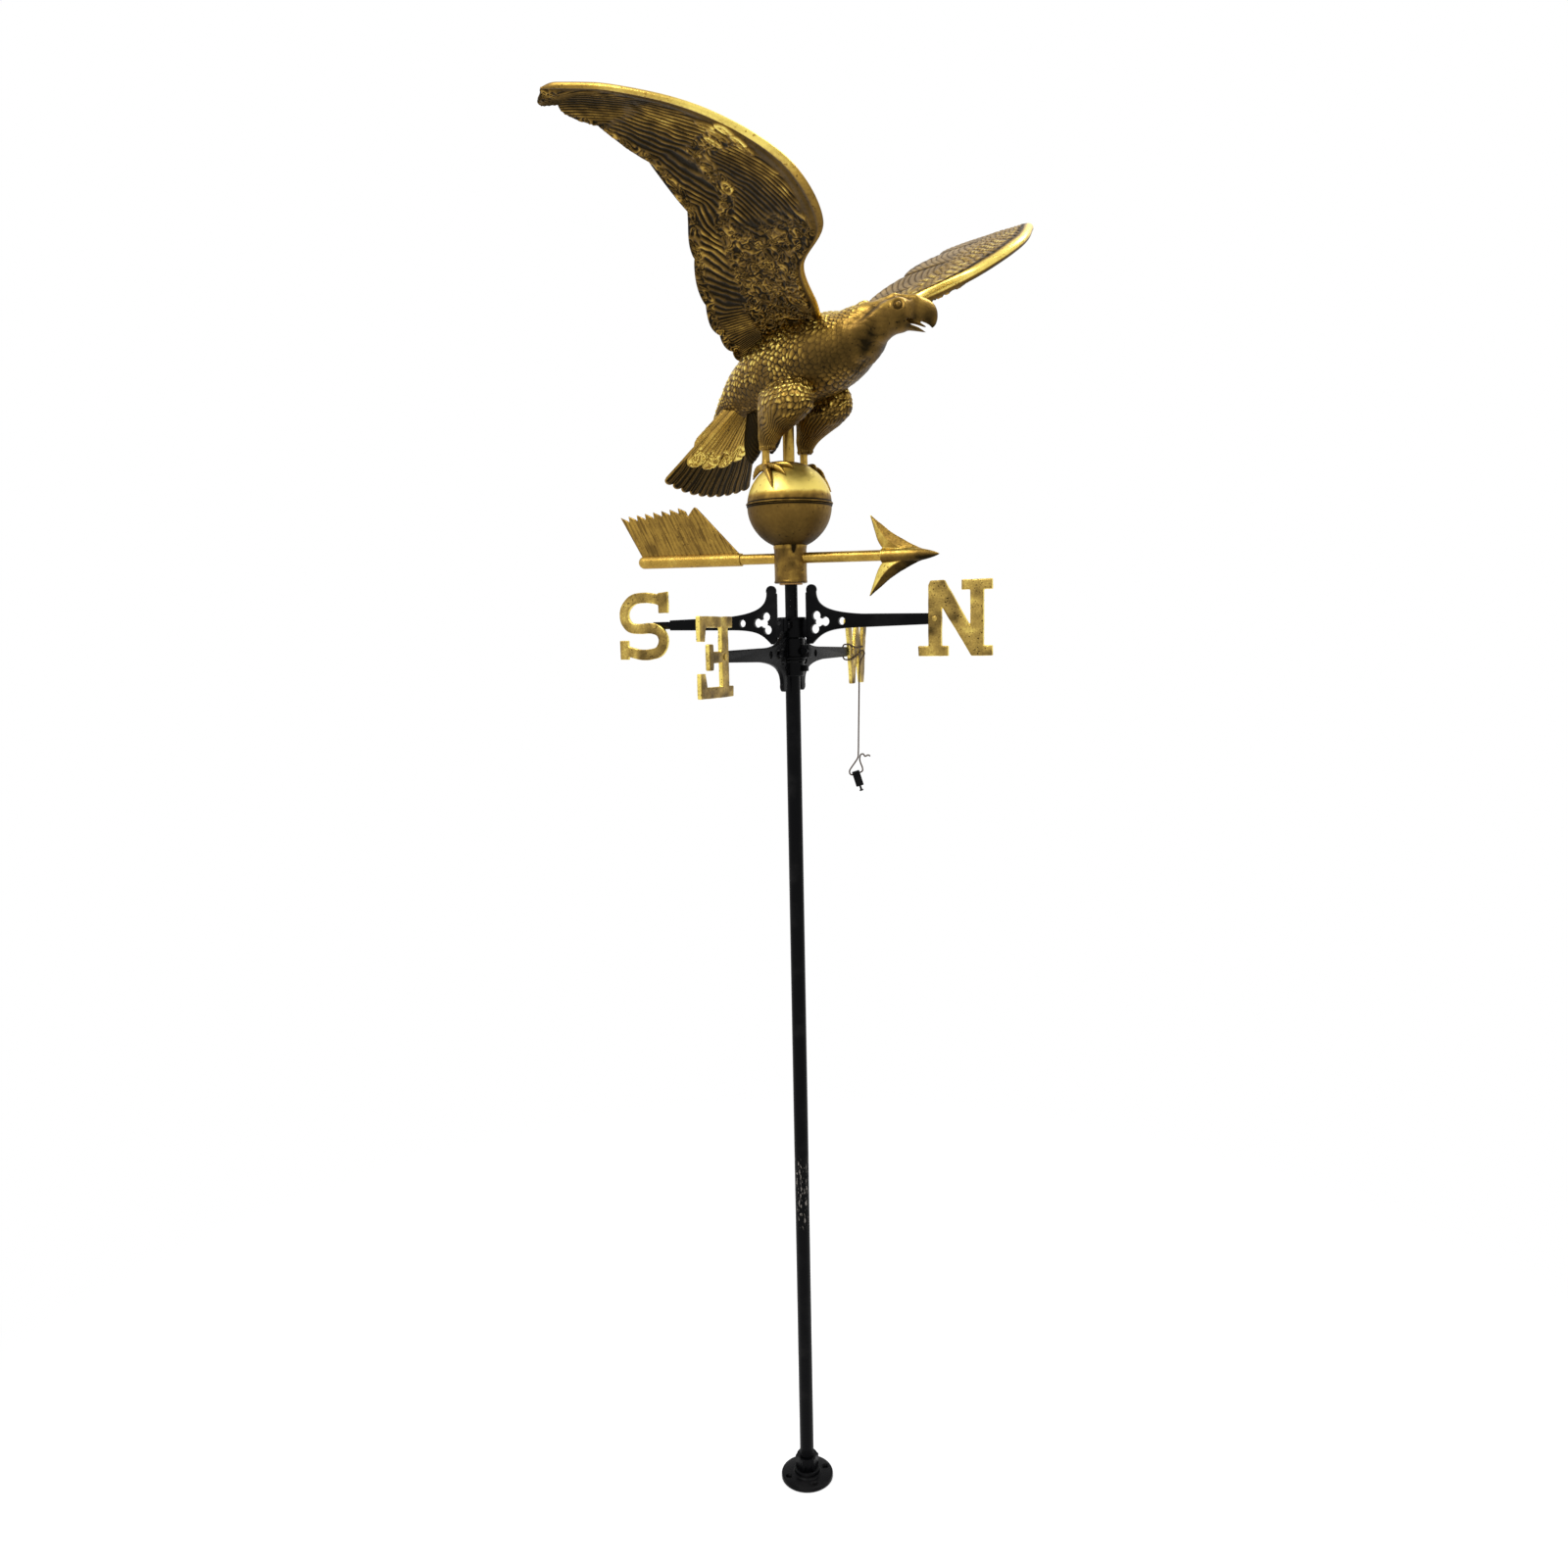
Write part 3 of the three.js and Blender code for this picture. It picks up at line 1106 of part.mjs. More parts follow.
// Tail plates: columns of points across a dished fan, longer at the middle of each feather
function fanPlate({ feathers, scallop, thick, length, lift }) {
  const columns = 2 * feathers;
  const steps = 4;
  const fall = new THREE.Vector2(TAIL_ROOT_BACK - TAIL_BACK, TAIL_TIP_HEIGHT - TAIL_ROOT_HEIGHT).normalize();
  const normal = new THREE.Vector3(fall.y, 0, -fall.x);
  const rings = [];
  for (let column = 0; column <= columns; column += 1) {
    const across = (2 * column) / columns - 1;
    const dish = TAIL_DISH * across * across;
    const root = new THREE.Vector3(-TAIL_ROOT_BACK, across * TAIL_ROOT_HALF_WIDTH, TAIL_ROOT_HEIGHT + dish / 3);
    const tip = new THREE.Vector3(-TAIL_BACK, across * TAIL_HALF_WIDTH, TAIL_TIP_HEIGHT + dish);
    const full = root.distanceTo(tip);
    const crest = column % 2;
    const reach = length + ((crest ? scallop : 0) - scallop * across * across) / full;
    const face = (side) => Array.from({ length: steps + 1 }, (_, step) => {
      const share = (reach * step) / steps;
      const half = (thick / 2) * (1 - 0.3 * share) + (crest * thick) / 8;
      return root.clone().lerp(tip, share).addScaledVector(normal, lift + side * half);
    });
    rings.push([...face(1), ...face(-1).reverse()]);
  }
  return skin(rings);
}

function tailFan() {
  const fan = fanPlate({ feathers: TAIL_FEATHERS, scallop: TAIL_SCALLOP, thick: TAIL_THICK, length: 1, lift: 0 });
  return cut(fan, bodySolid(FIT));
}

function tailCoverts(side) {
  const lift = side * ((TAIL_THICK + COVERT_THICK) / 2 + TAIL_THICK / 4 + FIT);
  const coverts = fanPlate({
    feathers: COVERT_FEATHERS, scallop: COVERT_SCALLOP, thick: COVERT_THICK, length: COVERT_SHARE, lift,
  });
  return cut(coverts, bodySolid(FIT));
}

// Tuft of two pointed feathers under the body, behind the legs
const ventShares = [
  { back: 0.98, lean: 0.3, long: 0.3, drop: 1 },
  { back: 0.5, lean: 0.06, long: 0.28, drop: 0.87 },
];

function ventTuft() {
  const feathers = ventShares.map(({ back, lean, long, drop }) => {
    const place = (leaned, dropped) => [
      -VENT_LENGTH * (back + lean * leaned), 0, VENT_TOP - VENT_DROP * drop * dropped,
    ];
    return limb([
      [place(0, 0), VENT_LENGTH * long, VENT_WIDTH * 0.5],
      [place(0.45, 0.5), VENT_LENGTH * long, VENT_WIDTH * 0.46],
      [place(0.8, 0.82), VENT_LENGTH * long * 0.6, VENT_WIDTH * 0.3],
      [place(1, 1), VENT_LENGTH * long * 0.08, VENT_WIDTH * 0.06],
    ], SMALL_ROUND, HEX, FORWARD, 0, DOWN);
  });
  return cut(join(...feathers), bodySolid(FIT));
}

// Thighs and feet: rings are deep fore and aft, and wide from side to side
const thighShares = [
  { drop: 0, forward: 1, long: 0.46, wide: 0.44 },
  { drop: 0.3, forward: 1, long: 0.5, wide: 0.49 },
  { drop: 0.47, forward: 0.95, long: 0.5, wide: 0.48 },
  { drop: 0.62, forward: 0.76, long: 0.43, wide: 0.43 },
  { drop: 0.74, forward: 0.46, long: 0.32, wide: 0.36 },
  { drop: 0.85, forward: 0.11, long: 0.21, wide: 0.27 },
  { drop: 0.95, forward: -0.1, long: 0.125, wide: 0.2 },
  { drop: 1, forward: -0.15, long: 0.1, wide: 0.17 },
];

function thighSolid(side, grow = 0) {
  const stations = thighShares.map(({ drop, forward, long, wide }) => [
    [forward * THIGH_FORWARD, side * LEG_APART, THIGH_TOP - drop * THIGH_DROP],
    long * THIGH_LENGTH,
    wide * THIGH_WIDTH,
  ]);
  return limb(stations, SMALL_ROUND + HEX, 2 * HEX, FORWARD, grow, DOWN);
}

const toeShares = [
  { knuckle: [0.62, -0.2, 0.02], tip: [1.06, -0.34, -0.12] },
  { knuckle: [0.55, 0.08, -0.06], tip: [1.08, 0.04, -0.38] },
  { knuckle: [0.45, 0.32, -0.22], tip: [0.88, 0.5, -0.82] },
  { knuckle: [-0.3, 0.06, -0.04], tip: [-0.58, 0.12, -0.4] },
];

function footSolid(side) {
  const top = THIGH_TOP - THIGH_DROP;
  const ankle = [-ANKLE_BACK, side * LEG_APART, top - SHANK_HEIGHT];
  const shank = limb([
    [[-ANKLE_BACK, side * LEG_APART, top + SHANK_WIDTH / 8], SHANK_WIDTH * 0.44, SHANK_WIDTH * 0.42],
    [[-ANKLE_BACK, side * LEG_APART, top - SHANK_HEIGHT / 2], SHANK_WIDTH * 0.44, SHANK_WIDTH * 0.4],
    [ankle, SHANK_WIDTH * 0.55, SHANK_WIDTH * 0.5],
  ], HEX + 2, HEX - 2, FORWARD);
  const toes = toeShares.map(({ knuckle, tip }) => {
    const place = ([forward, out, up]) => [
      ankle[0] + forward * TOE_REACH,
      ankle[1] + side * out * TOE_REACH,
      ankle[2] + up * TOE_REACH,
    ];
    return limb([
      [place([0, 0, 0]), TOE_WIDTH * 0.55, TOE_WIDTH * 0.55],
      [place(knuckle), TOE_WIDTH * 0.48, TOE_WIDTH * 0.45],
      [place(tip), TOE_WIDTH * 0.1, TOE_WIDTH * 0.1],
    ], HEX, HEX - 1, UP);
  });
  return cut(join(shank, ...toes), ballSeat(), thighSolid(side, FIT));
}

eagle.rotation.z = HEADING;
vane.add(eagle);
for (const [name, side, reach, size] of [
  ['right', -1, 1, 1],
  ['left', 1, LEFT_WING_REACH_SHARE, LEFT_WING_SIZE_SHARE],
]) {
  add(eagle, `body_${name}`, bodyHalf(side), gilt);
  add(eagle, `wing_${name}`, wingSolid(side, reach, size), gilt);
  add(eagle, `thigh_${name}`, cut(thighSolid(side), bodySolid(FIT)), gilt);
  add(eagle, `foot_${name}`, footSolid(side), gilt);
}
add(eagle, 'head', headSolid(), gilt);
add(eagle, 'tail_fan', tailFan(), gilt);
add(eagle, 'upper_tail_coverts', tailCoverts(1), gilt);
add(eagle, 'under_tail_coverts', tailCoverts(-1), gilt);
add(eagle, 'vent_tuft', ventTuft(), gilt);

// Twine: from behind the west letter, round the letter and the tip of its arm, down to a loop through the clamp.
// Each wrap is [depth from the middle of the letter, share across the letter, share up the letter].
const wrapShares = [
  [-1.16, 0.739, 0.638], [-0.6, 0.701, 0.603], [0.1, 0.69, 0.584], [1.04, 0.672, 0.575], [1, 0.587, 0.567],
  [1, 0.435, 0.562], [1, 0.283, 0.571], [1, 0.155, 0.595], [0.92, 0.097, 0.606], [0.1, 0.081, 0.612],
  [-1.3, 0.1, 0.606], [-1.95, 0.115, 0.54], [-1.95, 0.12, 0.45], [-1.3, 0.113, 0.386], [0.1, 0.113, 0.374],
  [0.92, 0.133, 0.378], [1, 0.19, 0.388], [1, 0.304, 0.413], [1, 0.478, 0.457], [1, 0.598, 0.496],
  [1.15, 0.668, 0.514], [1.45, 0.701, 0.47], [1.5, 0.647, 0.421], [1.2, 0.571, 0.372], [1, 0.533, 0.303],
  [0.85, 0.524, 0.165],
];
// Each loop place is [across, up, toward the viewer] from the knot, in heights of the clamp
const loopShares = [
  [0, 0.28, 0], [-0.024, 0, 0.016], [-0.2, -0.3, 0.05], [-0.44, -0.64, 0.03], [-0.585, -0.9, 0],
  [-0.545, -1.104, 0], [-0.388, -1.16, 0], [-0.148, -1.086, 0], [0.09, -1.012, 0], [0.252, -0.908, -0.016],
  [0.256, -0.7, -0.064], [0.144, -0.4, -0.116], [0.088, -0.12, -0.128], [0.168, 0.152, -0.12],
  [0.32, 0.184, -0.088], [0.44, 0.04, -0.06], [0.62, 0.112, -0.04], [0.78, 0.052, -0.024],
];
const clampShares = [-0.056, -1.392];
const clampBoreShare = 0.32;

function clampPlace([across, up, near = 0]) {
  return [
    CLAMP_NORTH + CLAMP_HEIGHT * (across * Math.cos(CLAMP_TURN) + near * Math.sin(CLAMP_TURN)),
    CLAMP_WEST + CLAMP_HEIGHT * (across * Math.sin(CLAMP_TURN) - near * Math.cos(CLAMP_TURN)),
    TWINE_KNOT_HEIGHT + CLAMP_HEIGHT * up,
  ];
}

function twine() {
  const middle = LETTER_THICK / 2 + FIT + TONGUE_THICK - PLATE_THICK / 2;
  const depth = LETTER_THICK / 2 + TWINE_OD / 2 + FIT * 1.5;
  const wraps = wrapShares.map(([out, across, up]) => [
    middle + out * depth,
    LETTER_CENTRE + (across - 0.5) * WEST_WIDTH,
    EAST_WEST_HEIGHT + (up - 0.5) * LETTER_HEIGHT,
  ]);
  const loop = loopShares.map(clampPlace);
  const last = wraps[wraps.length - 1];
  const hanging = [0.25, 0.5, 0.75].map((share) => (
    last.map((value, axis) => value + (loop[0][axis] - value) * share)
  ));
  return tube([...wraps, ...hanging, ...loop], TWINE_OD, TWINE_STEPS, TWINE_SIDES);
}

// Turns a piece of the clamp from upright at the origin to where it hangs
function clampPlaced(geometry) {
  return geometry.rotateY(-CLAMP_TILT).rotateZ(CLAMP_TURN).translate(...clampPlace(clampShares));
}

function twineClamp() {
  const [wide, tall] = [CLAMP_WIDTH / 2, CLAMP_HEIGHT / 2];
  const outline = shapeOf([[-wide, -tall], [wide, -tall], [wide, tall], [-wide, tall]]);
  const block = plate(outline, CLAMP_THICK, CLAMP_CORNER);
  const bore = rodAlongX(CLAMP_BORE / 2, -CLAMP_WIDTH, CLAMP_WIDTH, SMALL_ROUND)
    .translate(0, 0, clampBoreShare * CLAMP_HEIGHT);
  const screwHole = rod(CLAMP_SCREW / 2 + FIT, -CLAMP_HEIGHT, CLAMP_SCREW_DEPTH + FIT - tall, SMALL_ROUND);
  return cut(block, bore, screwHole);
}

function twineClampScrew() {
  const bottom = -CLAMP_HEIGHT / 2 - CLAMP_SCREW_STAND;
  return turned([
    [0, bottom - CLAMP_SCREW_HEAD_HEIGHT],
    [CLAMP_SCREW_HEAD * 0.4, bottom - CLAMP_SCREW_HEAD_HEIGHT],
    [CLAMP_SCREW_HEAD / 2, bottom - CLAMP_SCREW_HEAD_HEIGHT / 2],
    [CLAMP_SCREW_HEAD * 0.4, bottom],
    [CLAMP_SCREW / 2, bottom],
    [CLAMP_SCREW / 2, CLAMP_SCREW_DEPTH - CLAMP_HEIGHT / 2],
    [0, CLAMP_SCREW_DEPTH - CLAMP_HEIGHT / 2],
  ], SMALL_ROUND);
}

add(mast, 'twine', twine(), brownTwine);
add(mast, 'twine_clamp', clampPlaced(twineClamp()), blackSteel);
add(mast, 'twine_clamp_screw', clampPlaced(twineClampScrew()), blackSteel);

export default new THREE.Group().add(mast, vane);
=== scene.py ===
"""Eagle weathervane: a gilt copper eagle on a ball and arrow, turning on an iron mast with compass letters.

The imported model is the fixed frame, and each class below builds the surfaces of one sub-assembly on it.
Sizes are in millimetres in the frame's own axes (+X north, +Y west, +Z up). Form.build makes metres of them.
"""

import logging
import math
from dataclasses import dataclass, field
from enum import Enum
from functools import cached_property
from typing import Any, Sequence, Union

import bmesh
import bpy
import numpy as np
from mathutils import Matrix, Vector


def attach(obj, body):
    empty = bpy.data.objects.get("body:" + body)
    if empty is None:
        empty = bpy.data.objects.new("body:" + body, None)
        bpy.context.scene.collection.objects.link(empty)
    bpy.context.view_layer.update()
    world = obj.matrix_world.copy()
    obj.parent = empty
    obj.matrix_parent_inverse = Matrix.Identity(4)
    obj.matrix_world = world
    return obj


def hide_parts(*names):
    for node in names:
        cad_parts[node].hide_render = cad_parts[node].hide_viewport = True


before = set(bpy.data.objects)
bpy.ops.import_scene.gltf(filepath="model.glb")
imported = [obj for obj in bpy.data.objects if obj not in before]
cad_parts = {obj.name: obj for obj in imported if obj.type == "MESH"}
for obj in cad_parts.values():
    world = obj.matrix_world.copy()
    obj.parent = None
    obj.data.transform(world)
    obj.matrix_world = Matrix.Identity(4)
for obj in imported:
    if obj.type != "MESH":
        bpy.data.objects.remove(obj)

MM = 0.001
TURN = 2 * math.pi
FIT = 0.3
QUARTER = math.pi / 2
BRIGHTEST = -0.4
STEP = 1e-4
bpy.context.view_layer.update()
LOG = logging.getLogger("weathervane")

Array = np.ndarray
Colour = tuple[float, float, float, float]
Place = Sequence[float]


class Body(Enum):
    """The two moving bodies of the frame."""

    MAST = "mast"
    VANE = "vane"


# Curves, noise and feather patterns


def spline(points: Sequence[Place], shares: Array, centripetal: bool = True) -> Array:
    """Points of a smooth curve through given points.

    Args:
        points: Places that the curve runs through.
        shares: Where to read the curve, from 0 at its start to 1 at its end.
        centripetal: Whether the spacing of the points steers the bends.

    Returns:
        One point per share.
    """
    knots = np.asarray(points, float)
    last = len(knots) - 1
    along = np.clip(np.asarray(shares, float), 0, 1) * last
    index = np.minimum(along.astype(int), last - 1)
    part = (along - index)[:, None]
    ends = np.vstack([2 * knots[0] - knots[1], knots, 2 * knots[-1] - knots[-2]])
    before, start, stop, after = (ends[index + step] for step in range(4))
    leave, arrive = (stop - before) / 2, (after - start) / 2
    if centripetal:
        first, middle, second = (
            np.maximum(np.sqrt(np.linalg.norm(way, axis=1)), STEP)[:, None]
            for way in (start - before, stop - start, after - stop)
        )
        way = (stop - start) / middle
        leave = ((start - before) / first - (stop - before) / (first + middle) + way) * middle
        arrive = (way - (after - start) / (middle + second) + (after - stop) / second) * middle
    square, cube = part**2, part**3
    near_end = (2 * cube - 3 * square + 1) * start + (cube - 2 * square + part) * leave
    return near_end + (3 * square - 2 * cube) * stop + (cube - square) * arrive


def way_along(points: Sequence[Place], shares: Array) -> Array:
    """Directions of the smooth curve through given points."""
    return unit(spline(points, np.minimum(shares + STEP, 1)) - spline(points, np.maximum(shares - STEP, 0)))


def arc(centre: Place, wide: float, tall: float, start: float, stop: float, count: int) -> list[Place]:
    """Points of a round stretch.

    Args:
        centre: Its centre.
        wide: Its radius in the first coordinate.
        tall: Its radius in the second.
        start: Angle where it begins.
        stop: Angle where it ends.
        count: How many points it has.

    Returns:
        The points.
    """
    angles = np.linspace(start, stop, count)
    return [(centre[0] + wide * math.cos(a), centre[1] + tall * math.sin(a)) for a in angles]


def bezier(*handles: Place) -> list[Place]:
    """Points of a stretch bent by handles.

    Args:
        *handles: Its start, two handles and its end.

    Returns:
        The points after its start.
    """
    share = np.linspace(0, 1, 24)[1:, None]
    weights = ((1 - share) ** 3, 3 * share * (1 - share) ** 2, 3 * share**2 * (1 - share), share**3)
    places = sum(part * np.array(point, float) for part, point in zip(weights, handles))
    return [tuple(place) for place in places]


def unit(vectors: Array) -> Array:
    """Vectors scaled to length one."""
    return vectors / np.maximum(np.linalg.norm(vectors, axis=-1, keepdims=True), 1e-12)


def smooth(low: float, high: float, values: Array) -> Array:
    """A soft step from 0 at low to 1 at high."""
    share = np.clip((values - low) / (high - low), 0, 1)
    return share * share * (3 - 2 * share)


def held(dark: Array) -> Array:
    """Darkness held between that of the brightest leaf and 1."""
    return np.clip(dark, BRIGHTEST, 1)


def about(axis: str, angle: float) -> Matrix:
    """A turn about an axis."""
    return Matrix.Rotation(angle, 4, axis)


def hump(distance: Array, width: float) -> Array:
    """A soft bump of height one and the given half width."""
    return np.exp(-((distance / width) ** 2))


class Grain:
    """Repeatable smooth noise in space."""

    LATTICE = np.array([73856093, 19349663, 83492791])
    SIZE = 4096

    def __init__(self, seed: int) -> None:
        """Fills the lattice with the numbers of a seed."""
        self.table = np.random.default_rng(seed).random(self.SIZE) * 2 - 1

    def at(self, points: Array, size: float) -> Array:
        """Noise at points.

        Args:
            points: Places in millimetres, in the last axis.
            size: Width of the noise's lumps in millimetres.

        Returns:
            Values from -1 to 1, one per point.
        """
        cell = points / size
        low = np.floor(cell).astype(np.int64)
        part = cell - low
        ease = part * part * (3 - 2 * part)
        total = np.zeros(points.shape[:-1])
        for corner in range(8):
            offset = np.array([corner & 1, corner >> 1 & 1, corner >> 2])
            index = ((low + offset) @ self.LATTICE) % self.SIZE
            total += np.prod(np.where(offset, ease, 1 - ease), axis=-1) * self.table[index]
        return total


def scales(rows: Array, columns: Array) -> tuple[Array, Array]:
    """Rows of small feathers that lie over one another like roof tiles.

    Args:
        rows: Place along the feathers, in rows, rising towards their tips.
        columns: Place across the feathers, in widths of a feather.

    Returns:
        Height from 0 to 1, and how deep in the shade of a tip a point lies, from 0 to 1.
    """
    overlap = 0.5
    row = np.floor(rows)
    shifted = (columns - 0.5 * (at % 2) for at in (row - 1, row))
    upper, lower = (column - np.round(column) for column in shifted)
    tip = row + overlap * np.sqrt(np.maximum(0, 1 - 4 * upper**2))
    covered = rows < tip
    across = np.where(covered, upper, lower)
    run = np.where(covered, rows - row + 1, rows - row) / (1 + overlap)
    height = run * (1 - 1.6 * across**2) + 0.12 * hump(across, 0.09)
    shade = np.where(covered, 0.0, np.exp(-(rows - tip) / 0.16))
    return height, np.maximum(shade, 0.6 * smooth(0.36, 0.5, np.abs(across)))


def streaks(phase: Array) -> tuple[Array, Array]:
    """Long parallel barbs: round ridges with narrow grooves.

    Args:
        phase: Place across the ridges, in ridges.

    Returns:
        Height from 0 to 1, and depth in the groove from 0 to 1.
    """
    wave = np.abs(np.sin(np.pi * phase))
    return wave**0.55, (1 - wave) ** 2.2


def strands(phase: Array, thin: float) -> Array:
    """Long barbs of uneven strength: thin round ridges over broad valleys.

    Args:
        phase: Place across the barbs, in barbs.
        thin: Half width of a ridge, in barbs.

    Returns:
        Height from 0 in the valleys to 1 on the strongest ridges.
    """
    lane = np.round(phase)
    return hump(phase - lane, thin) * (0.72 + 0.28 * np.sin(lane * 12.99 + 0.7))


def curls(grain: Grain, points: Array, size: float) -> Array:
    """Curled barbs: thin ridges along the level lines of bent noise.

    Args:
        grain: The noise.
        points: Places in millimetres.
        size: Width of a curl in millimetres.

    Returns:
        Height from 0 in the valleys to 1 on the ridges.
    """
    bend = np.stack([grain.at(points + shift, 1.7 * size) for shift in (0, 211, 437)], -1)
    level = grain.at(points + 0.8 * size * bend, size)
    return np.maximum(hump(level + 0.08, 0.19), 0.85 * hump(np.abs(level) - 0.54, 0.14))


def distance_to(line: Sequence[Place], across: Array, along: Array) -> Array:
    """Distance of flat places from a line of straight stretches.

    Args:
        line: The corners of the line.
        across: First coordinate of the places.
        along: Second coordinate of the places.

    Returns:
        One distance per place.
    """
    flat = np.stack([across, along], -1)
    best = np.full(across.shape, 1e9)
    for start, end in zip(np.array(line[:-1], float), np.array(line[1:], float)):
        way = end - start
        share = np.clip(((flat - start) @ way) / (way @ way), 0, 1)
        best = np.minimum(best, np.linalg.norm(flat - start - share[..., None] * way, axis=-1))
    return best


def shade_facing_down(normals: Array, most: float = 0.3) -> Array:
    """Painted shade: how much a surface's colour darkens for facing down."""
    return most * smooth(0.35, -0.6, normals[..., 2])


# Meshes


@dataclass
class Form:
    """Points and faces of a mesh in the making, in millimetres, with a number per point for each named mark."""

    points: Array
    faces: list[tuple[int, ...]]
    marks: dict[str, Array] = field(default_factory=dict)

    def turned(self, matrix: Matrix) -> "Form":
        """A copy moved by a matrix whose places are in millimetres."""
        whole = np.array(matrix)
        return Form(self.points @ whole[:3, :3].T + whole[:3, 3], self.faces, self.marks)

    def moved(self, x: float = 0, y: float = 0, z: float = 0) -> "Form":
        """A copy moved by a step."""
        return Form(self.points + [x, y, z], self.faces, self.marks)

    def joined(self, *others: "Form") -> "Form":
        """This form and others side by side in one.

        Args:
            *others: The other forms.

        Returns:
            The joined form.
        """
        forms = [self, *others]
        starts = np.cumsum([0, *(len(form.points) for form in forms)])
        faces = [
            tuple(int(start + at) for at in face) for form, start in zip(forms, starts) for face in form.faces
        ]
        names = {name for form in forms for name in form.marks}
        marks = {
            name: np.concatenate([form.marks.get(name, np.zeros(len(form.points))) for form in forms])
            for name in names
        }
        return Form(np.vstack([form.points for form in forms]), faces, marks)

    def mesh(self, name: str, scale: float = 1.0) -> bpy.types.Mesh:
        """The form as a Blender mesh.

        Args:
            name: Name of the mesh.
            scale: Size of a millimetre in it.

        Returns:
            The mesh, with the form's marks as attributes.
        """
        made = bpy.data.meshes.new(name)
        made.from_pydata((self.points * scale).tolist(), [], self.faces)
        for mark, values in self.marks.items():
            attribute = made.attributes.new(mark, "FLOAT", "POINT")
            attribute.data.foreach_set("value", np.asarray(values, np.float32))
        return made

    def build(
        self, name: str, finish: "Finish", body: Body, node: str, sharp: float = 35,
        normals: Array | None = None,
    ) -> bpy.types.Object:
        """Makes the finished piece, rides it on its body and hides the frame node that it stands for.

        Args:
            name: Name of the piece.
            finish: What its surface looks like.
            body: The body that it moves with.
            node: Frame node that it replaces.
            sharp: Edges bent by more than this many degrees stay crisp.
            normals: Shading direction per point, where a neighbour shares the surface.

        Returns:
            The new object.
        """
        mesh = self.mesh(name, MM)
        mesh.shade_smooth()
        if normals is not None:
            mesh.normals_split_custom_set_from_vertices(normals.tolist())
        elif sharp < 180:
            mesh.set_sharp_from_angle(angle=math.radians(sharp))
        mesh.materials.append(finish.material())
        made = linked(name, mesh)
        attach(made, body.value)
        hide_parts(node)
        LOG.info("%s: %d faces", name, len(self.faces))
        return made


def linked(name: str, data: bpy.types.ID) -> bpy.types.Object:
    """A new object of the scene.

    Args:
        name: Its name.
        data: What it holds.

    Returns:
        The object.
    """
    made = bpy.data.objects.new(name, data)
    bpy.context.scene.collection.objects.link(made)
    return made


def settled(*holders: bpy.types.Object) -> Form:
    """The form of an object once its modifiers have worked.

    Args:
        *holders: The object, and others that its modifiers use. All are removed.

    Returns:
        The form in millimetres.
    """
    mesh = bpy.data.meshes.new_from_object(holders[0].evaluated_get(bpy.context.evaluated_depsgraph_get()))
    for holder in holders:
        bpy.data.objects.remove(holder)
    return form_of(mesh)


def grid(points: Array, caps: bool = True, marks: dict[str, Array] | None = None) -> Form:
    """A skin over rows of points that each close on themselves.

    Args:
        points: Rows of rings, as rows x columns x 3.
        caps: Whether the first and last rings are closed with a fan.
        marks: Numbers per point, as rows x columns.

    Returns:
        The form, with its faces turned outwards.
    """
    index = np.arange(points.size // 3).reshape(points.shape[:2])
    near = np.roll(index, -1, 1)
    quads = np.stack([index[:-1], near[:-1], near[1:], index[1:]], -1).reshape(-1, 4)
    flat = points.reshape(-1, 3)
    numbers = {name: values.reshape(-1) for name, values in (marks or {}).items()}
    faces = [tuple(quad) for quad in quads.tolist()]
    if caps:
        for ring, step in ((index[0], -1), (index[-1], 1)):
            centre = len(flat)
            flat = np.vstack([flat, flat[ring].mean(0)])
            numbers = {name: np.append(values, values[ring].mean()) for name, values in numbers.items()}
            faces += [(int(a), int(b), centre)[::step] for a, b in zip(ring, np.roll(ring, -1))]
    return outward(Form(flat, faces, numbers))


def outward(form: Form) -> Form:
    """The form with its faces turned round where they enclose a negative volume.

    Args:
        form: A closed form.

    Returns:
        The form with its faces outwards.
    """
    corners = np.array([face[:3] for face in form.faces])
    a, b, c = (form.points[corners[:, side]] - form.points.mean(0) for side in range(3))
    if np.einsum("ij,ij->i", a, np.cross(b, c)).sum() < 0:
        return Form(form.points, [face[::-1] for face in form.faces], form.marks)
    return form


def lathe(
    profile: Sequence[Place], segments: int = 96, ring: bool = False, start: float = 0, sweep: float = TURN
) -> Form:
    """A turned form about the Z axis.

    Args:
        profile: Points of radius and height.
        segments: Steps round the axis.
        ring: Whether the profile closes on itself instead of ending on the axis.
        start: Angle at which a partial form begins.
        sweep: Angle that the form covers.

    Returns:
        The turned form.
    """
    outline = np.asarray(profile, float)
    full = sweep == TURN
    angles = start + np.linspace(0, sweep, segments + (0 if full else 1), endpoint=not full)[:, None]
    out, up = outline[None, :, 0], outline[None, :, 1]
    points = np.stack([out * np.cos(angles), out * np.sin(angles), up + 0 * angles], -1)
    if not full:
        return grid(points)
    rows, columns = points.shape[:2]
    index = np.arange(rows * columns).reshape(rows, columns)
    following = np.roll(index, -1, 0)
    on_axis = outline[:, 0] < 1e-9
    faces: list[tuple[int, ...]] = []
    for column in range(columns if ring else columns - 1):
        after = (column + 1) % columns
        for low, high in zip(index, following):
            corners = (low[column], high[column], high[after], low[after])
            if on_axis[column] or on_axis[after]:
                corners = corners[1:] if on_axis[column] else corners[:3]
            faces.append(tuple(int(corner) for corner in corners))
    return outward(welded(Form(points.reshape(-1, 3), faces)))


def rod(radius: float, low: float, high: float, segments: int = 32) -> Form:
    """A plain round bar along Z."""
    return lathe([(0, low), (radius, low), (radius, high), (0, high)], segments)


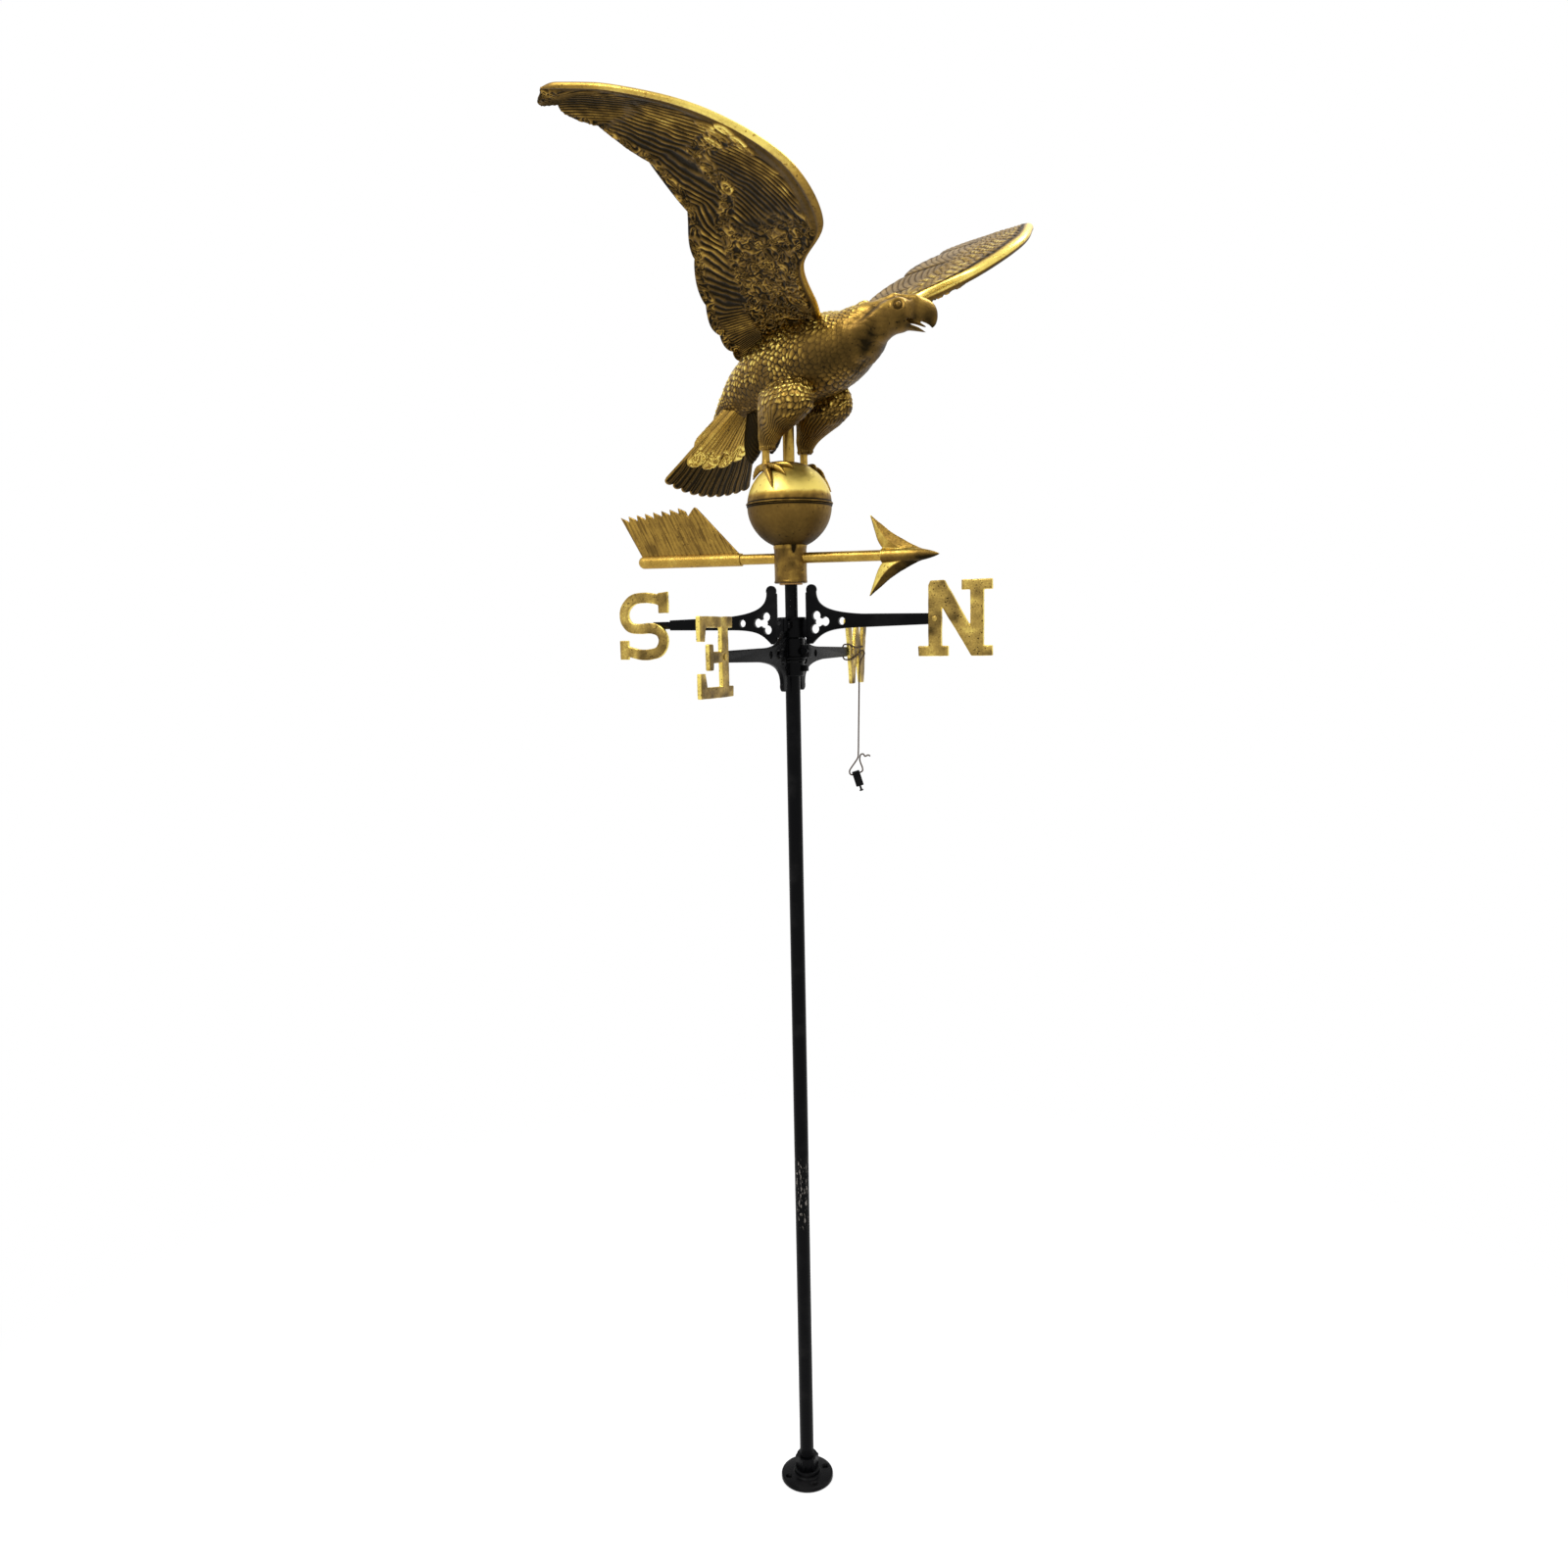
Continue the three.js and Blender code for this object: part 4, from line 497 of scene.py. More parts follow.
def welded(form: Form, reach: float = 1e-4) -> Form:
    """The form with points that share a place made into one.

    Args:
        form: The form.
        reach: Width of one place in millimetres.

    Returns:
        The welded form.
    """
    keys = np.round(form.points / reach).astype(np.int64)
    _, first, index = np.unique(keys, axis=0, return_index=True, return_inverse=True)
    index = index.reshape(-1)
    faces = [tuple(dict.fromkeys(int(index[corner]) for corner in face)) for face in form.faces]
    marks = {name: values[first] for name, values in form.marks.items()}
    return Form(form.points[first], [face for face in faces if len(face) > 2], marks)


def form_of(mesh: bpy.types.Mesh) -> Form:
    """The form of a Blender mesh.

    Args:
        mesh: A mesh in millimetres.

    Returns:
        Its points and faces.
    """
    points = np.zeros(len(mesh.vertices) * 3, np.float32)
    mesh.vertices.foreach_get("co", points)
    return Form(points.reshape(-1, 3).astype(float), [tuple(face.vertices) for face in mesh.polygons])


def bevelled(form: Form, width: float) -> Form:
    """The form with its crisp edges rounded.

    Args:
        form: A closed form.
        width: Width of the rounding.

    Returns:
        The rounded form.
    """
    shape = bmesh.new()
    mesh = form.mesh("bevel")
    shape.from_mesh(mesh)
    edges = [edge for edge in shape.edges if edge.calc_face_angle(0) > math.radians(30)]
    bmesh.ops.bevel(shape, geom=edges, offset=width, segments=2, profile=0.5, affect="EDGES", clamp_overlap=True)
    shape.to_mesh(mesh)
    shape.free()
    return form_of(mesh)


def block(low: Place, high: Place, bevel: float) -> Form:
    """A rounded block.

    Args:
        low: Its lowest corner.
        high: Its highest corner.
        bevel: Width of its rounded edges.

    Returns:
        The block.
    """
    (x0, y0, z0), (x1, y1, z1) = low, high
    points = [point for z in (z0, z1) for point in ((x0, y0, z), (x1, y0, z), (x1, y1, z), (x0, y1, z))]
    faces = [(3, 2, 1, 0), (4, 5, 6, 7), (0, 1, 5, 4), (1, 2, 6, 5), (2, 3, 7, 6), (3, 0, 4, 7)]
    return bevelled(Form(np.array(points, float), faces), bevel)


def hexagon(flats: float, bottom: float, top: float, chamfer: float, bore: float) -> Form:
    """A six-sided nut with turned chamfers and a bore.

    Args:
        flats: Width over its flats.
        bottom: Height of its lower face.
        top: Height of its upper face.
        chamfer: How far the chamfers cut the corners.
        bore: Radius of its bore.

    Returns:
        The nut.
    """
    corner, fall, steps = flats / math.sqrt(3), chamfer * 0.55, 96
    angles = np.arange(steps) * TURN / steps
    reach = flats / 2 / np.cos((angles + TURN / 12) % (TURN / 6) - TURN / 12)
    turned = corner - chamfer
    skin = [(bottom, turned), (bottom + fall, corner), (top - fall, corner), (top, turned)]
    radii = [(height, np.minimum(reach, limit)) for height, limit in skin]
    radii += [(height, bore + 0 * angles) for height in (top, bottom)]
    cos, sin = np.cos(angles), np.sin(angles)
    rings = [np.stack([radius * cos, radius * sin, height + 0 * angles], -1) for height, radius in radii]
    return outward(welded(grid(np.array([*rings, rings[0]]), caps=False)))


def slab(outline: Sequence[Place], thick: float, bevel: float) -> Form:
    """A plate standing in the XZ plane, centred on Y, with rounded edges.

    Args:
        outline: Points of the edge, in X and Z.
        thick: Thickness of the plate.
        bevel: Width of the rounded edges.

    Returns:
        The plate.
    """
    curve = bpy.data.curves.new("slab", "CURVE")
    curve.dimensions, curve.fill_mode = "2D", "BOTH"
    curve.extrude, curve.bevel_depth, curve.offset, curve.bevel_resolution = thick / 2 - bevel, bevel, -bevel, 2
    run = curve.splines.new("POLY")
    run.points.add(len(outline) - 1)
    run.use_cyclic_u = True
    for point, (x, z) in zip(run.points, outline):
        point.co = (x, z, 0, 1)
    plate = welded(settled(linked("slab", curve)), 1e-3)
    return outward(plate.turned(about("X", QUARTER)))


def fused(forms: Sequence[Form], voxel: float, rounds: int) -> Form:
    """Closed forms melted into one even skin.

    Args:
        forms: Closed forms that reach into each other.
        voxel: Width of the new skin's faces.
        rounds: How often the new skin is relaxed.

    Returns:
        The single skin.
    """
    holder = linked("fused", forms[0].joined(*forms[1:]).mesh("fused"))
    remesh = holder.modifiers.new("skin", "REMESH")
    remesh.mode, remesh.voxel_size = "VOXEL", voxel
    return relaxed(settled(holder), rounds)


def carved(form: Form, tool: Form) -> Form:
    """The form with a tool's shape cut out of it.

    Args:
        form: A closed form.
        tool: The closed shape to cut out.

    Returns:
        The form that is left, without marks.
    """
    holders = [linked("carved", part.mesh("carved")) for part in (form, tool)]
    cut = holders[0].modifiers.new("cut", "BOOLEAN")
    cut.operation, cut.solver, cut.object = "DIFFERENCE", "EXACT", holders[1]
    return settled(*holders)


def corners_of(form: Form) -> Array:
    """Four corners of each face, of which a face with three repeats its first."""
    return np.array([face[:4] if len(face) > 3 else (*face, face[0]) for face in form.faces])


def relaxed(form: Form, rounds: int, weight: Array | float = 0.6) -> Form:
    """The form with each point drawn towards its neighbours.

    Args:
        form: A closed form.
        rounds: How often the points move.
        weight: How far they move, for all or per point.

    Returns:
        The relaxed form.
    """
    quads = corners_of(form)
    ends = np.concatenate([quads[:, [side, (side + 1) % 4]] for side in range(4)])
    points = form.points.copy()
    size = len(points)
    count = np.maximum(np.bincount(ends[:, 0], minlength=size), 1)[:, None]
    share = np.broadcast_to(np.asarray(weight, float), (size,))[:, None]
    for _ in range(rounds):
        total = np.stack([np.bincount(ends[:, 0], points[ends[:, 1], axis], size) for axis in range(3)], -1)
        points = points + share * (total / count - points)
    return Form(points, form.faces, form.marks)


def normals_of(form: Form) -> Array:
    """Shading direction at each point of a form.

    Args:
        form: A closed form.

    Returns:
        One direction per point.
    """
    quads = corners_of(form)
    corners = form.points[quads]
    facing = np.cross(corners[:, 2] - corners[:, 0], corners[:, 3] - corners[:, 1])
    total = np.zeros((len(form.points), 3))
    for side in range(4):
        for axis in range(3):
            total[:, axis] += np.bincount(quads[:, side], facing[:, axis], len(form.points))
    return unit(total)


def grid_normals(points: Array, wrap: bool = True) -> Array:
    """Directions square to rows of points, on either side of them.

    Args:
        points: Rows of points, as rows x columns x 3.
        wrap: Whether each row closes on itself.

    Returns:
        One direction per point.
    """
    rings = np.roll(points, -1, 1) - np.roll(points, 1, 1)
    return unit(np.cross(np.gradient(points, axis=0), rings if wrap else np.gradient(points, axis=1)))


def part_of(form: Form, chosen: Array, normals: Array) -> tuple[Form, Array]:
    """Some faces of a form as a closed piece of their own.

    Args:
        form: The whole skin.
        chosen: Whether each face belongs to the piece.
        normals: Shading direction per point of the whole skin.

    Returns:
        The piece with its open rims closed by fans, and its shading directions.
    """
    faces = [face for face, wanted in zip(form.faces, chosen) if wanted]
    used = np.unique([corner for face in faces for corner in face])
    index = {int(old): new for new, old in enumerate(used)}
    faces = [tuple(index[corner] for corner in face) for face in faces]
    points, shading = form.points[used], normals[used]
    marks = {name: values[used] for name, values in form.marks.items()}
    sides = {(a, b) for face in faces for a, b in zip(face, (*face[1:], face[0]))}
    follow = {b: a for a, b in sides if (b, a) not in sides}
    while follow:
        loop = [next(iter(follow))]
        while loop[-1] in follow:
            loop.append(follow.pop(loop[-1]))
        loop = loop[:-1] if loop[0] == loop[-1] else loop
        centre = len(points)
        points = np.vstack([points, points[loop].mean(0)])
        shading = np.vstack([shading, unit(shading[loop].mean(0))])
        marks = {name: np.append(values, 1.0) for name, values in marks.items()}
        faces += [(a, b, centre) for a, b in zip(loop, (*loop[1:], loop[0]))]
    return Form(points, faces, marks), shading


def limb(
    stations: Sequence[tuple[Place, float, float]], sides: int, steps: int, reference: Place = (0, 0, 1),
    direction: Place | None = None,
) -> Array:
    """Oval rings along a smooth path.

    Args:
        stations: Place, half height and half width of each given ring.
        sides: Points of a ring.
        steps: Rings less one.
        reference: Direction that the height follows.
        direction: What all rings are square to, where it isn't the path.

    Returns:
        Rings as rows x columns x 3.
    """
    shares = np.linspace(0, 1, steps + 1)
    places = [place for place, _, _ in stations]
    centre = spline(places, shares)
    sizes = spline([(height, width, 0) for _, height, width in stations], shares, centripetal=False)[:, None]
    along = way_along(places, shares) if direction is None else np.asarray(direction, float) + 0 * centre
    across = unit(np.cross(np.asarray(reference, float), along))
    up = unit(np.cross(along, across))
    angles = (np.arange(sides) * TURN / sides)[None, :, None]
    tall, wide = sizes[..., :1] * np.cos(angles), sizes[..., 1:2] * np.sin(angles)
    return centre[:, None] + up[:, None] * tall + across[:, None] * wide


# Shader maths


Number = Union[float, "Value"]


class Value:
    """An output of a node, which adds Math nodes when it is used in an expression."""

    def __init__(self, look: "Look", socket: bpy.types.NodeSocket) -> None:
        """Wraps an output of the material in the making."""
        self.look = look
        self.socket = socket

    def _math(self, operation: str, *values: Number) -> "Value":
        """A Math node over values."""
        return self.look.add("ShaderNodeMath", {"operation": operation}, dict(enumerate(values)))

    def __add__(self, other: Number) -> "Value":
        """Sum."""
        return self._math("ADD", self, other)

    __radd__ = __add__

    def __sub__(self, other: Number) -> "Value":
        """Difference."""
        return self._math("SUBTRACT", self, other)

    def __rsub__(self, other: Number) -> "Value":
        """Difference from a number."""
        return self._math("SUBTRACT", other, self)

    def __mul__(self, other: Number) -> "Value":
        """Product."""
        return self._math("MULTIPLY", self, other)

    __rmul__ = __mul__

    def clamped(self) -> "Value":
        """The value held between 0 and 1."""
        return self.look.add("ShaderNodeClamp", {}, {"Value": self})

    def step(self, low: float, high: float) -> "Value":
        """A soft step from 0 at low to 1 at high."""
        settings = {"interpolation_type": "SMOOTHSTEP"}
        return self.look.add("ShaderNodeMapRange", settings, {"Value": self, "From Min": low, "From Max": high})


class Look:
    """The nodes of one material or of the world."""

    def __init__(self, owner: bpy.types.ID) -> None:
        """Empties the owner's node tree.

        Args:
            owner: The material or world that the nodes belong to.
        """
        self.owner = owner
        owner.use_nodes = True
        self.tree = owner.node_tree
        self.tree.nodes.clear()

    @cached_property
    def place(self) -> Value:
        """Places in the object's own frame, in metres."""
        return self.add("ShaderNodeTexCoord", {}, {}, "Object")

    def seen(self) -> Value:
        """Tells what is looked at from what only lights the object.

        Returns:
            1 to the camera, in reflections and through glass, and 0 otherwise.
        """
        kinds = ("Camera", "Glossy", "Transmission")
        rays = [self.add("ShaderNodeLightPath", {}, {}, f"Is {kind} Ray") for kind in kinds]
        return (rays[0] + rays[1] + rays[2]).clamped()

    def add(
        self, kind: str, settings: dict[str, Any], inputs: dict[int | str, Any], output: int | str = 0
    ) -> Value:
        """Adds one node.

        Args:
            kind: The node's type.
            settings: Its own settings, set first. "stops" are a ramp's places and colours.
            inputs: Values or links of its sockets.
            output: Which output to return, if it has any.

        Returns:
            The output.
        """
        node = self.tree.nodes.new(kind)
        for name, setting in settings.items():
            if name != "stops":
                setattr(node, name, setting)
                continue
            ramp = node.color_ramp.elements
            for index, (stop, colour) in enumerate(setting):
                element = ramp[index] if index < len(ramp) else ramp.new(stop)
                element.position, element.color = stop, colour
        for name, value in inputs.items():
            if isinstance(value, Value):
                self.tree.links.new(value.socket, node.inputs[name])
            else:
                node.inputs[name].default_value = value
        return Value(self, node.outputs[output] if node.outputs else None)

    def noise(
        self, size: float, detail: float = 3, rough: float = 0.55,
        stretch: Place = (1, 1, 1), at: Place = (0, 0, 0),
    ) -> Value:
        """Noise over the surface.

        Args:
            size: Width of its lumps in millimetres.
            detail: Rounds of finer noise in it.
            rough: How strong the finer rounds are.
            stretch: How often it repeats along each axis, in shares.
            at: Step by which it is moved.

        Returns:
            Values from 0 to 1.
        """
        settings = {"vector_type": "POINT"}
        place = self.add("ShaderNodeMapping", settings, {"Vector": self.place, "Location": at, "Scale": stretch})
        inputs = {"Vector": place, "Scale": 1 / (size * MM), "Detail": detail, "Roughness": rough}
        return self.add("ShaderNodeTexNoise", {}, inputs)

    def mark(self, name: str) -> Value:
        """A number that the mesh carries at each point."""
        return self.add("ShaderNodeAttribute", {"attribute_name": name}, {}, "Fac")

    def blend(self, share: Number, first: Any, second: Any) -> Value:
        """A colour between two colours."""
        return self.add("ShaderNodeMix", {"data_type": "RGBA"}, {0: share, 6: first, 7: second}, 2)

    def bump(self, height: Value, depth: float) -> Value:
        """Small relief of a depth in millimetres."""
        return self.add("ShaderNodeBump", {}, {"Height": height, "Distance": depth * MM, "Strength": 1.0})

    def finish(self, **sockets: Any) -> bpy.types.Material:
        """Ends the material in a Principled shader.

        Args:
            **sockets: Its sockets by name, with _ for a space.

        Returns:
            The material.
        """
        inputs = {name.replace("_", " "): value for name, value in sockets.items()}
        return self.ended(self.add("ShaderNodeBsdfPrincipled", {}, inputs))

    def ended(self, shader: Value, kind: str = "ShaderNodeOutputMaterial") -> bpy.types.ID:
        """Ends the tree in a shader and returns its owner."""
        self.add(kind, {}, {"Surface": shader})
        return self.owner

class Finish:
    """What a surface looks like. A subclass makes the material once and shares it."""

    name: str
    slot: str
    made: dict[str, bpy.types.Material] = {}

    def material(self) -> bpy.types.Material:
        """Looks the material up.

        Returns:
            The material, made on first use.
        """
        if self.name not in Finish.made:
            Finish.made[self.name] = self.dress()
        return Finish.made[self.name]

    def dress(self) -> bpy.types.Material:
        """Makes the material.

        Returns:
            The finished material.
        """
        raise NotImplementedError


@dataclass(frozen=True)
class Gilding(Finish):
    """Gold leaf on sheet copper, toned by the mesh's dark mark: painted highlights where it is raised, painted
    shade in hollows and under things, and brown patina and grime.
    """

    name: str = "gilt_sheet"
    slot: str = "gilt"
    # Tone ramp from painted highlight through gold and brown to the darkest painted shade with grime.
    bright: Colour = (0.92, 0.72, 0.17, 1)
    gold: Colour = (0.44, 0.27, 0.05, 1)
    brown: Colour = (0.16, 0.092, 0.02, 1)
    shade_and_grime: Colour = (0.014, 0.009, 0.0025, 1)
    tone: float = 0.34
    cloud_share: float = 0.4
    leaf_share: float = 0.22
    roughness: float = 0.3
    clouds: float = 45
    leaf: float = 3.2
    specks: float = 0.25
    speck_size: float = 4.5
    pit_depth: float = 0.3
    metallic: float = 0.96

    def dress(self) -> bpy.types.Material:
        """Makes the material.

        Returns:
            The finished material.
        """
        look = Look(bpy.data.materials.new(self.name))
        leaf = look.noise(self.leaf, detail=5)
        cloud = look.noise(self.clouds, detail=4)
        # The dark mark holds painted shade, painted highlights below 0, and patina.
        dark = look.mark("dark")
        dots = look.noise(self.speck_size, detail=2, at=(0.3, 0.7, 0.1)).step(0.62, 0.74)
        uneven = (cloud - 0.5) * self.cloud_share + (leaf - 0.5) * self.leaf_share + dots * self.specks
        tone = (dark + self.tone + uneven * (1.15 - dark)).clamped()
        stops = ((0, self.bright), (0.32, self.gold), (0.64, self.brown), (1, self.shade_and_grime))
        colour = look.add("ShaderNodeValToRGB", {"stops": stops}, {0: tone})
        rough = ((leaf - 0.5) * 0.22 + tone * 0.22 + self.roughness).clamped()
        normal = look.bump(leaf - dots * 0.6, self.pit_depth)
        return look.finish(Base_Color=colour, Roughness=rough, Metallic=self.metallic, Normal=normal)


@dataclass(frozen=True)
class Enamel(Finish):
    """Old black paint on iron, with rubbed and chipped places."""

    name: str = "black_iron_paint"
    slot: str = "black_iron"
    paint: Colour = (0.002, 0.002, 0.0025, 1)
    rubbed: Colour = (0.02, 0.019, 0.019, 1)
    chip: Colour = (0.30, 0.27, 0.24, 1)
    roughness: float = 0.26
    gloss: float = 0.06
    chips: float = 0.735
    chip_size: float = 7
    scratch_low: float = 0
    scratch_high: float = 0

    def dress(self) -> bpy.types.Material:
        """Makes the material.

        Returns:
            The finished material.
        """
        look = Look(bpy.data.materials.new(self.name))
        cast = look.noise(2.2, detail=4)
        rub = look.noise(60, detail=4).step(0.5, 0.75)
        flakes = look.noise(self.chip_size, detail=3, rough=0.7).step(self.chips, self.chips + 0.02)
        if self.scratch_high > self.scratch_low:
            height = look.add("ShaderNodeSeparateXYZ", {}, {0: look.place}, "Z")
            low, high = self.scratch_low * MM, self.scratch_high * MM
            zone = height.step(low, low + 15 * MM) * (1 - height.step(high - 15 * MM, high))
            streaky = look.noise(3, detail=4, rough=0.7, stretch=(1, 1, 0.25), at=(0.2, 0.1, 0.4))
            scrapes = streaky.step(0.57, 0.6)
            flakes = (flakes + zone * scrapes).clamped()
        colour = look.blend(rub * 0.6, self.paint, self.rubbed)
        colour = look.blend(flakes, colour, self.chip)
        rough = ((cast - 0.5) * 0.35 + rub * 0.12 + flakes * 0.25 + self.roughness).clamped()
        normal = look.bump(cast - flakes * 0.8, 0.25)
        return look.finish(
            Base_Color=colour, Roughness=rough, Normal=normal, Metallic=0.0, Specular_IOR_Level=self.gloss
        )


@dataclass(frozen=True)
class PlainMetal(Finish):
    """Machined metal with fine turning marks."""

    name: str
    slot: str
    colour: Colour
    roughness: float

    def dress(self) -> bpy.types.Material:
        """Makes the material.

        Returns:
            The finished material.
        """
        look = Look(bpy.data.materials.new(self.name))
        marks = look.noise(1.2, detail=3, stretch=(0.2, 0.2, 6))
        dull = look.noise(25, detail=3)
        colour = look.blend(dull * 0.4, self.colour, (0.08, 0.07, 0.06, 1))
        return look.finish(
            Base_Color=colour, Roughness=(marks * 0.2 + self.roughness).clamped(),
            Metallic=1.0, Normal=look.bump(marks, 0.05),
        )


@dataclass(frozen=True)
class Fibre(Finish):
    """Twisted brown twine."""

    name: str = "brown_twine"
    slot: str = "twine"
    light: Colour = (0.16, 0.10, 0.055, 1)
    dark: Colour = (0.045, 0.026, 0.014, 1)

    def dress(self) -> bpy.types.Material:
        """Makes the material.

        Returns:
            The finished material.
        """
        look = Look(bpy.data.materials.new(self.name))
        fuzz = look.noise(0.5, detail=4)
        groove = look.mark("hollow")
        # Painted shade in the grooves between the strands, with fuzz.
        colour = look.blend((fuzz + (1 - groove) * 0.5 - 0.4).clamped(), self.dark, self.light)
        return look.finish(Base_Color=colour, Roughness=0.95, Metallic=0.0, Normal=look.bump(fuzz, 0.2))


GILT = Gilding()
BALL_GILT = Gilding(
    name="satin_gilt", tone=0.3, cloud_share=0.3, leaf_share=0.15, roughness=0.4, leaf=5,
    specks=0.2, speck_size=6,
    clouds=70, pit_depth=0.12,
)
LETTER_GILT = Gilding(
    name="pitted_gilt", slot="pale_gilt", gold=(0.46, 0.31, 0.075, 1), brown=(0.2, 0.13, 0.035, 1), tone=0.3,
    cloud_share=0.6, leaf_share=0.45, roughness=0.3, leaf=2.4, specks=0.7, speck_size=2.6,
    clouds=22, pit_depth=0.5,
)
IRON = Enamel()
MAST_PAINT = Enamel(name="mast_paint", scratch_low=405, scratch_high=525, chips=0.76)
STEEL = Enamel(name="black_steel_paint", slot="black_steel", roughness=0.28, chips=0.7, chip_size=3)
BRONZE = PlainMetal("plain_bronze", "bronze", (0.42, 0.24, 0.08, 1), 0.3)
BRIGHT_STEEL = PlainMetal("ground_steel", "bright_steel", (0.55, 0.56, 0.58, 1), 0.15)
TWINE_FIBRE = Fibre()


# Mast


@dataclass
class Mast:
    """Floor flange, locknut, pipe and spindle."""

    pipe: float = 21.3
    pipe_top: float = 1319
    flange: float = 39.7
    flange_thick: float = 8
    boss: float = 19.5
    boss_top: float = 17
    fillet: float = 3
    screw_circle: float = 30
    screw_bore: float = 3.25
    screws: int = 4
    edge: float = 1.6
    recess: float = 2.5
    wall: float = 2.75
    nut_flats: float = 31
    nut_height: float = 20
    thread_pitch: float = 1.8

    def build(self) -> None:
        """Builds and dresses the mast."""
        self.build_flange()
        nut_bottom = self.boss_top + FIT
        nut = hexagon(self.nut_flats, nut_bottom, nut_bottom + self.nut_height, 2.4, self.pipe / 2 + FIT)
        nut.build("mast_locknut", IRON, Body.MAST, "hex_locknut")
        self.build_pipe(nut_bottom + self.nut_height)
        for node, finish in (("spindle", STEEL), ("collar_bush", BRONZE), ("thrust_ball", BRIGHT_STEEL)):
            dress_node(node, finish)

    def build_flange(self) -> None:
        """Cast flange with a threaded boss and four countersunk holes."""
        edge, top, boss, under = self.edge, self.flange_thick, self.boss_top, self.recess
        bore = self.pipe / 2 + FIT
        rim, hub, screw, bend = self.flange, self.boss, self.screw_bore, self.fillet
        profile = [
            (0, under), (0, 0), (rim - edge, 0), (rim, edge), (rim, top - edge),
            (rim - edge / 3, top - edge / 3),
            (rim - edge, top), *arc((hub + bend, top + bend), bend, bend, -QUARTER, -2 * QUARTER, 8),
            (hub, boss - edge), (hub - edge / 3, boss - edge / 3), (hub - edge, boss),
            (bore + edge / 2, boss), (bore, boss - edge / 2), (bore, under),
        ]
        body = lathe(profile, ring=True)
        hole = lathe([(0, -2), (screw, -2), (screw, top - 2), (screw + 3, top + 1), (0, top + 1)], 40)
        for x, y in arc((0, 0), self.screw_circle, self.screw_circle, TURN / 8, TURN * 7 / 8, self.screws):
            body = carved(body, hole.moved(x, y))
        body.build("flange_casting", IRON, Body.MAST, "floor_flange")

    def build_pipe(self, thread_end: float) -> None:
        """Painted pipe with the last turns of its thread showing above the locknut.

        Args:
            thread_end: Height of the locknut's top.
        """
        bottom, radius, bore = self.recess + FIT, self.pipe / 2, self.pipe / 2 - self.wall
        turns = np.arange(bottom, thread_end + 16, self.thread_pitch / 6)
        heights = np.concatenate([turns, np.linspace(thread_end + 17, self.pipe_top, 60)])
        thread = 0.45 * (1 - smooth(thread_end + 8, thread_end + 15, heights))
        outer = radius - thread * (0.5 - 0.5 * np.cos(TURN * heights / self.thread_pitch))
        profile = [(bore, bottom), *zip(outer, heights), (bore, self.pipe_top)]
        lathe(profile, 64, ring=True).build("painted_pipe", MAST_PAINT, Body.MAST, "mast_pipe")


def dress_node(node: str, finish: Finish) -> None:
    """Gives a frame node that stays in sight its finish.

    Args:
        node: Name of the node.
        finish: What its surface looks like.
    """
    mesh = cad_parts[node].data
    mesh.materials.clear()
    mesh.materials.append(finish.material())
    LOG.info("%s: frame node with %s", node, finish.name)


# Compass


@dataclass
class Letter:
    """One compass letter and the end of the arm that carries it."""

    name: str
    width: float
    turn: float
    face: float
    flipped: bool
    shares: Sequence[Place]
    edge_share: float
    rivet_share: float
    tongue: int


NORTH_SHARES = [
    (0, 0), (0.41, 0), (0.41, 0.138), (0.32, 0.138), (0.32, 0.66), (0.72, 0), (1, 0), (1, 0.138),
    (0.885, 0.138), (0.885, 0.862), (1, 0.862), (1, 1), (0.59, 1), (0.59, 0.862), (0.705, 0.862),
    (0.705, 0.4), (0.36, 1), (0.17, 1), (0.14, 0.94), (0.14, 0.138), (0, 0.138),
]
EAST_SHARES = [
    (0, 0), (1, 0), (1, 0.31), (0.85, 0.31), (0.81, 0.138), (0.345, 0.138), (0.345, 0.43), (0.6, 0.43),
    (0.6, 0.34), (0.73, 0.34), (0.73, 0.66), (0.6, 0.66), (0.6, 0.57), (0.345, 0.57), (0.345, 0.862),
    (0.81, 0.862), (0.85, 0.69), (1, 0.69), (1, 1), (0, 1), (0, 0.862), (0.13, 0.862), (0.13, 0.138),
    (0, 0.138),
]
WEST_SHARES = [
    (0.22, 0), (0.36, 0), (0.5, 0.55), (0.64, 0), (0.78, 0), (0.93, 0.88), (1, 0.88), (1, 1), (0.7, 1),
    (0.7, 0.88), (0.775, 0.88), (0.7, 0.42), (0.56, 0.9), (0.44, 0.9), (0.3, 0.42), (0.225, 0.88),
    (0.3, 0.88), (0.3, 1), (0, 1), (0, 0.88), (0.07, 0.88),
]
SOUTH_SPINE_SHARES = [
    (0.9, 0.86), (0.72, 0.895), (0.5, 0.915), (0.27, 0.88), (0.12, 0.75), (0.11, 0.6), (0.22, 0.485),
    (0.42, 0.46), (0.65, 0.465), (0.82, 0.41), (0.885, 0.28), (0.8, 0.13), (0.6, 0.08), (0.4, 0.08),
    (0.2, 0.12), (0.08, 0.15),
]
SOUTH_TOP_END = [(0.3, 0.18), (0.49, 0.18), (0.49, 0.495), (0.3, 0.48)]
SOUTH_LOW_END = [(-0.5, -0.495), (-0.33, -0.495), (-0.33, -0.21), (-0.5, -0.21)]
LETTERS = [
    Letter("north", 103, 0, 0, False, NORTH_SHARES, 0.36, 0.27, 1),
    Letter("south", 86, math.pi, 0, False, [], 0.5, 0.22, -1),
    Letter("east", 87, -math.pi / 2, -math.pi / 2, True, EAST_SHARES, 0.37, 0.2625, 1),
    Letter("west", 92, math.pi / 2, math.pi / 2, True, WEST_SHARES, 0.4, 0.255, -1),
]


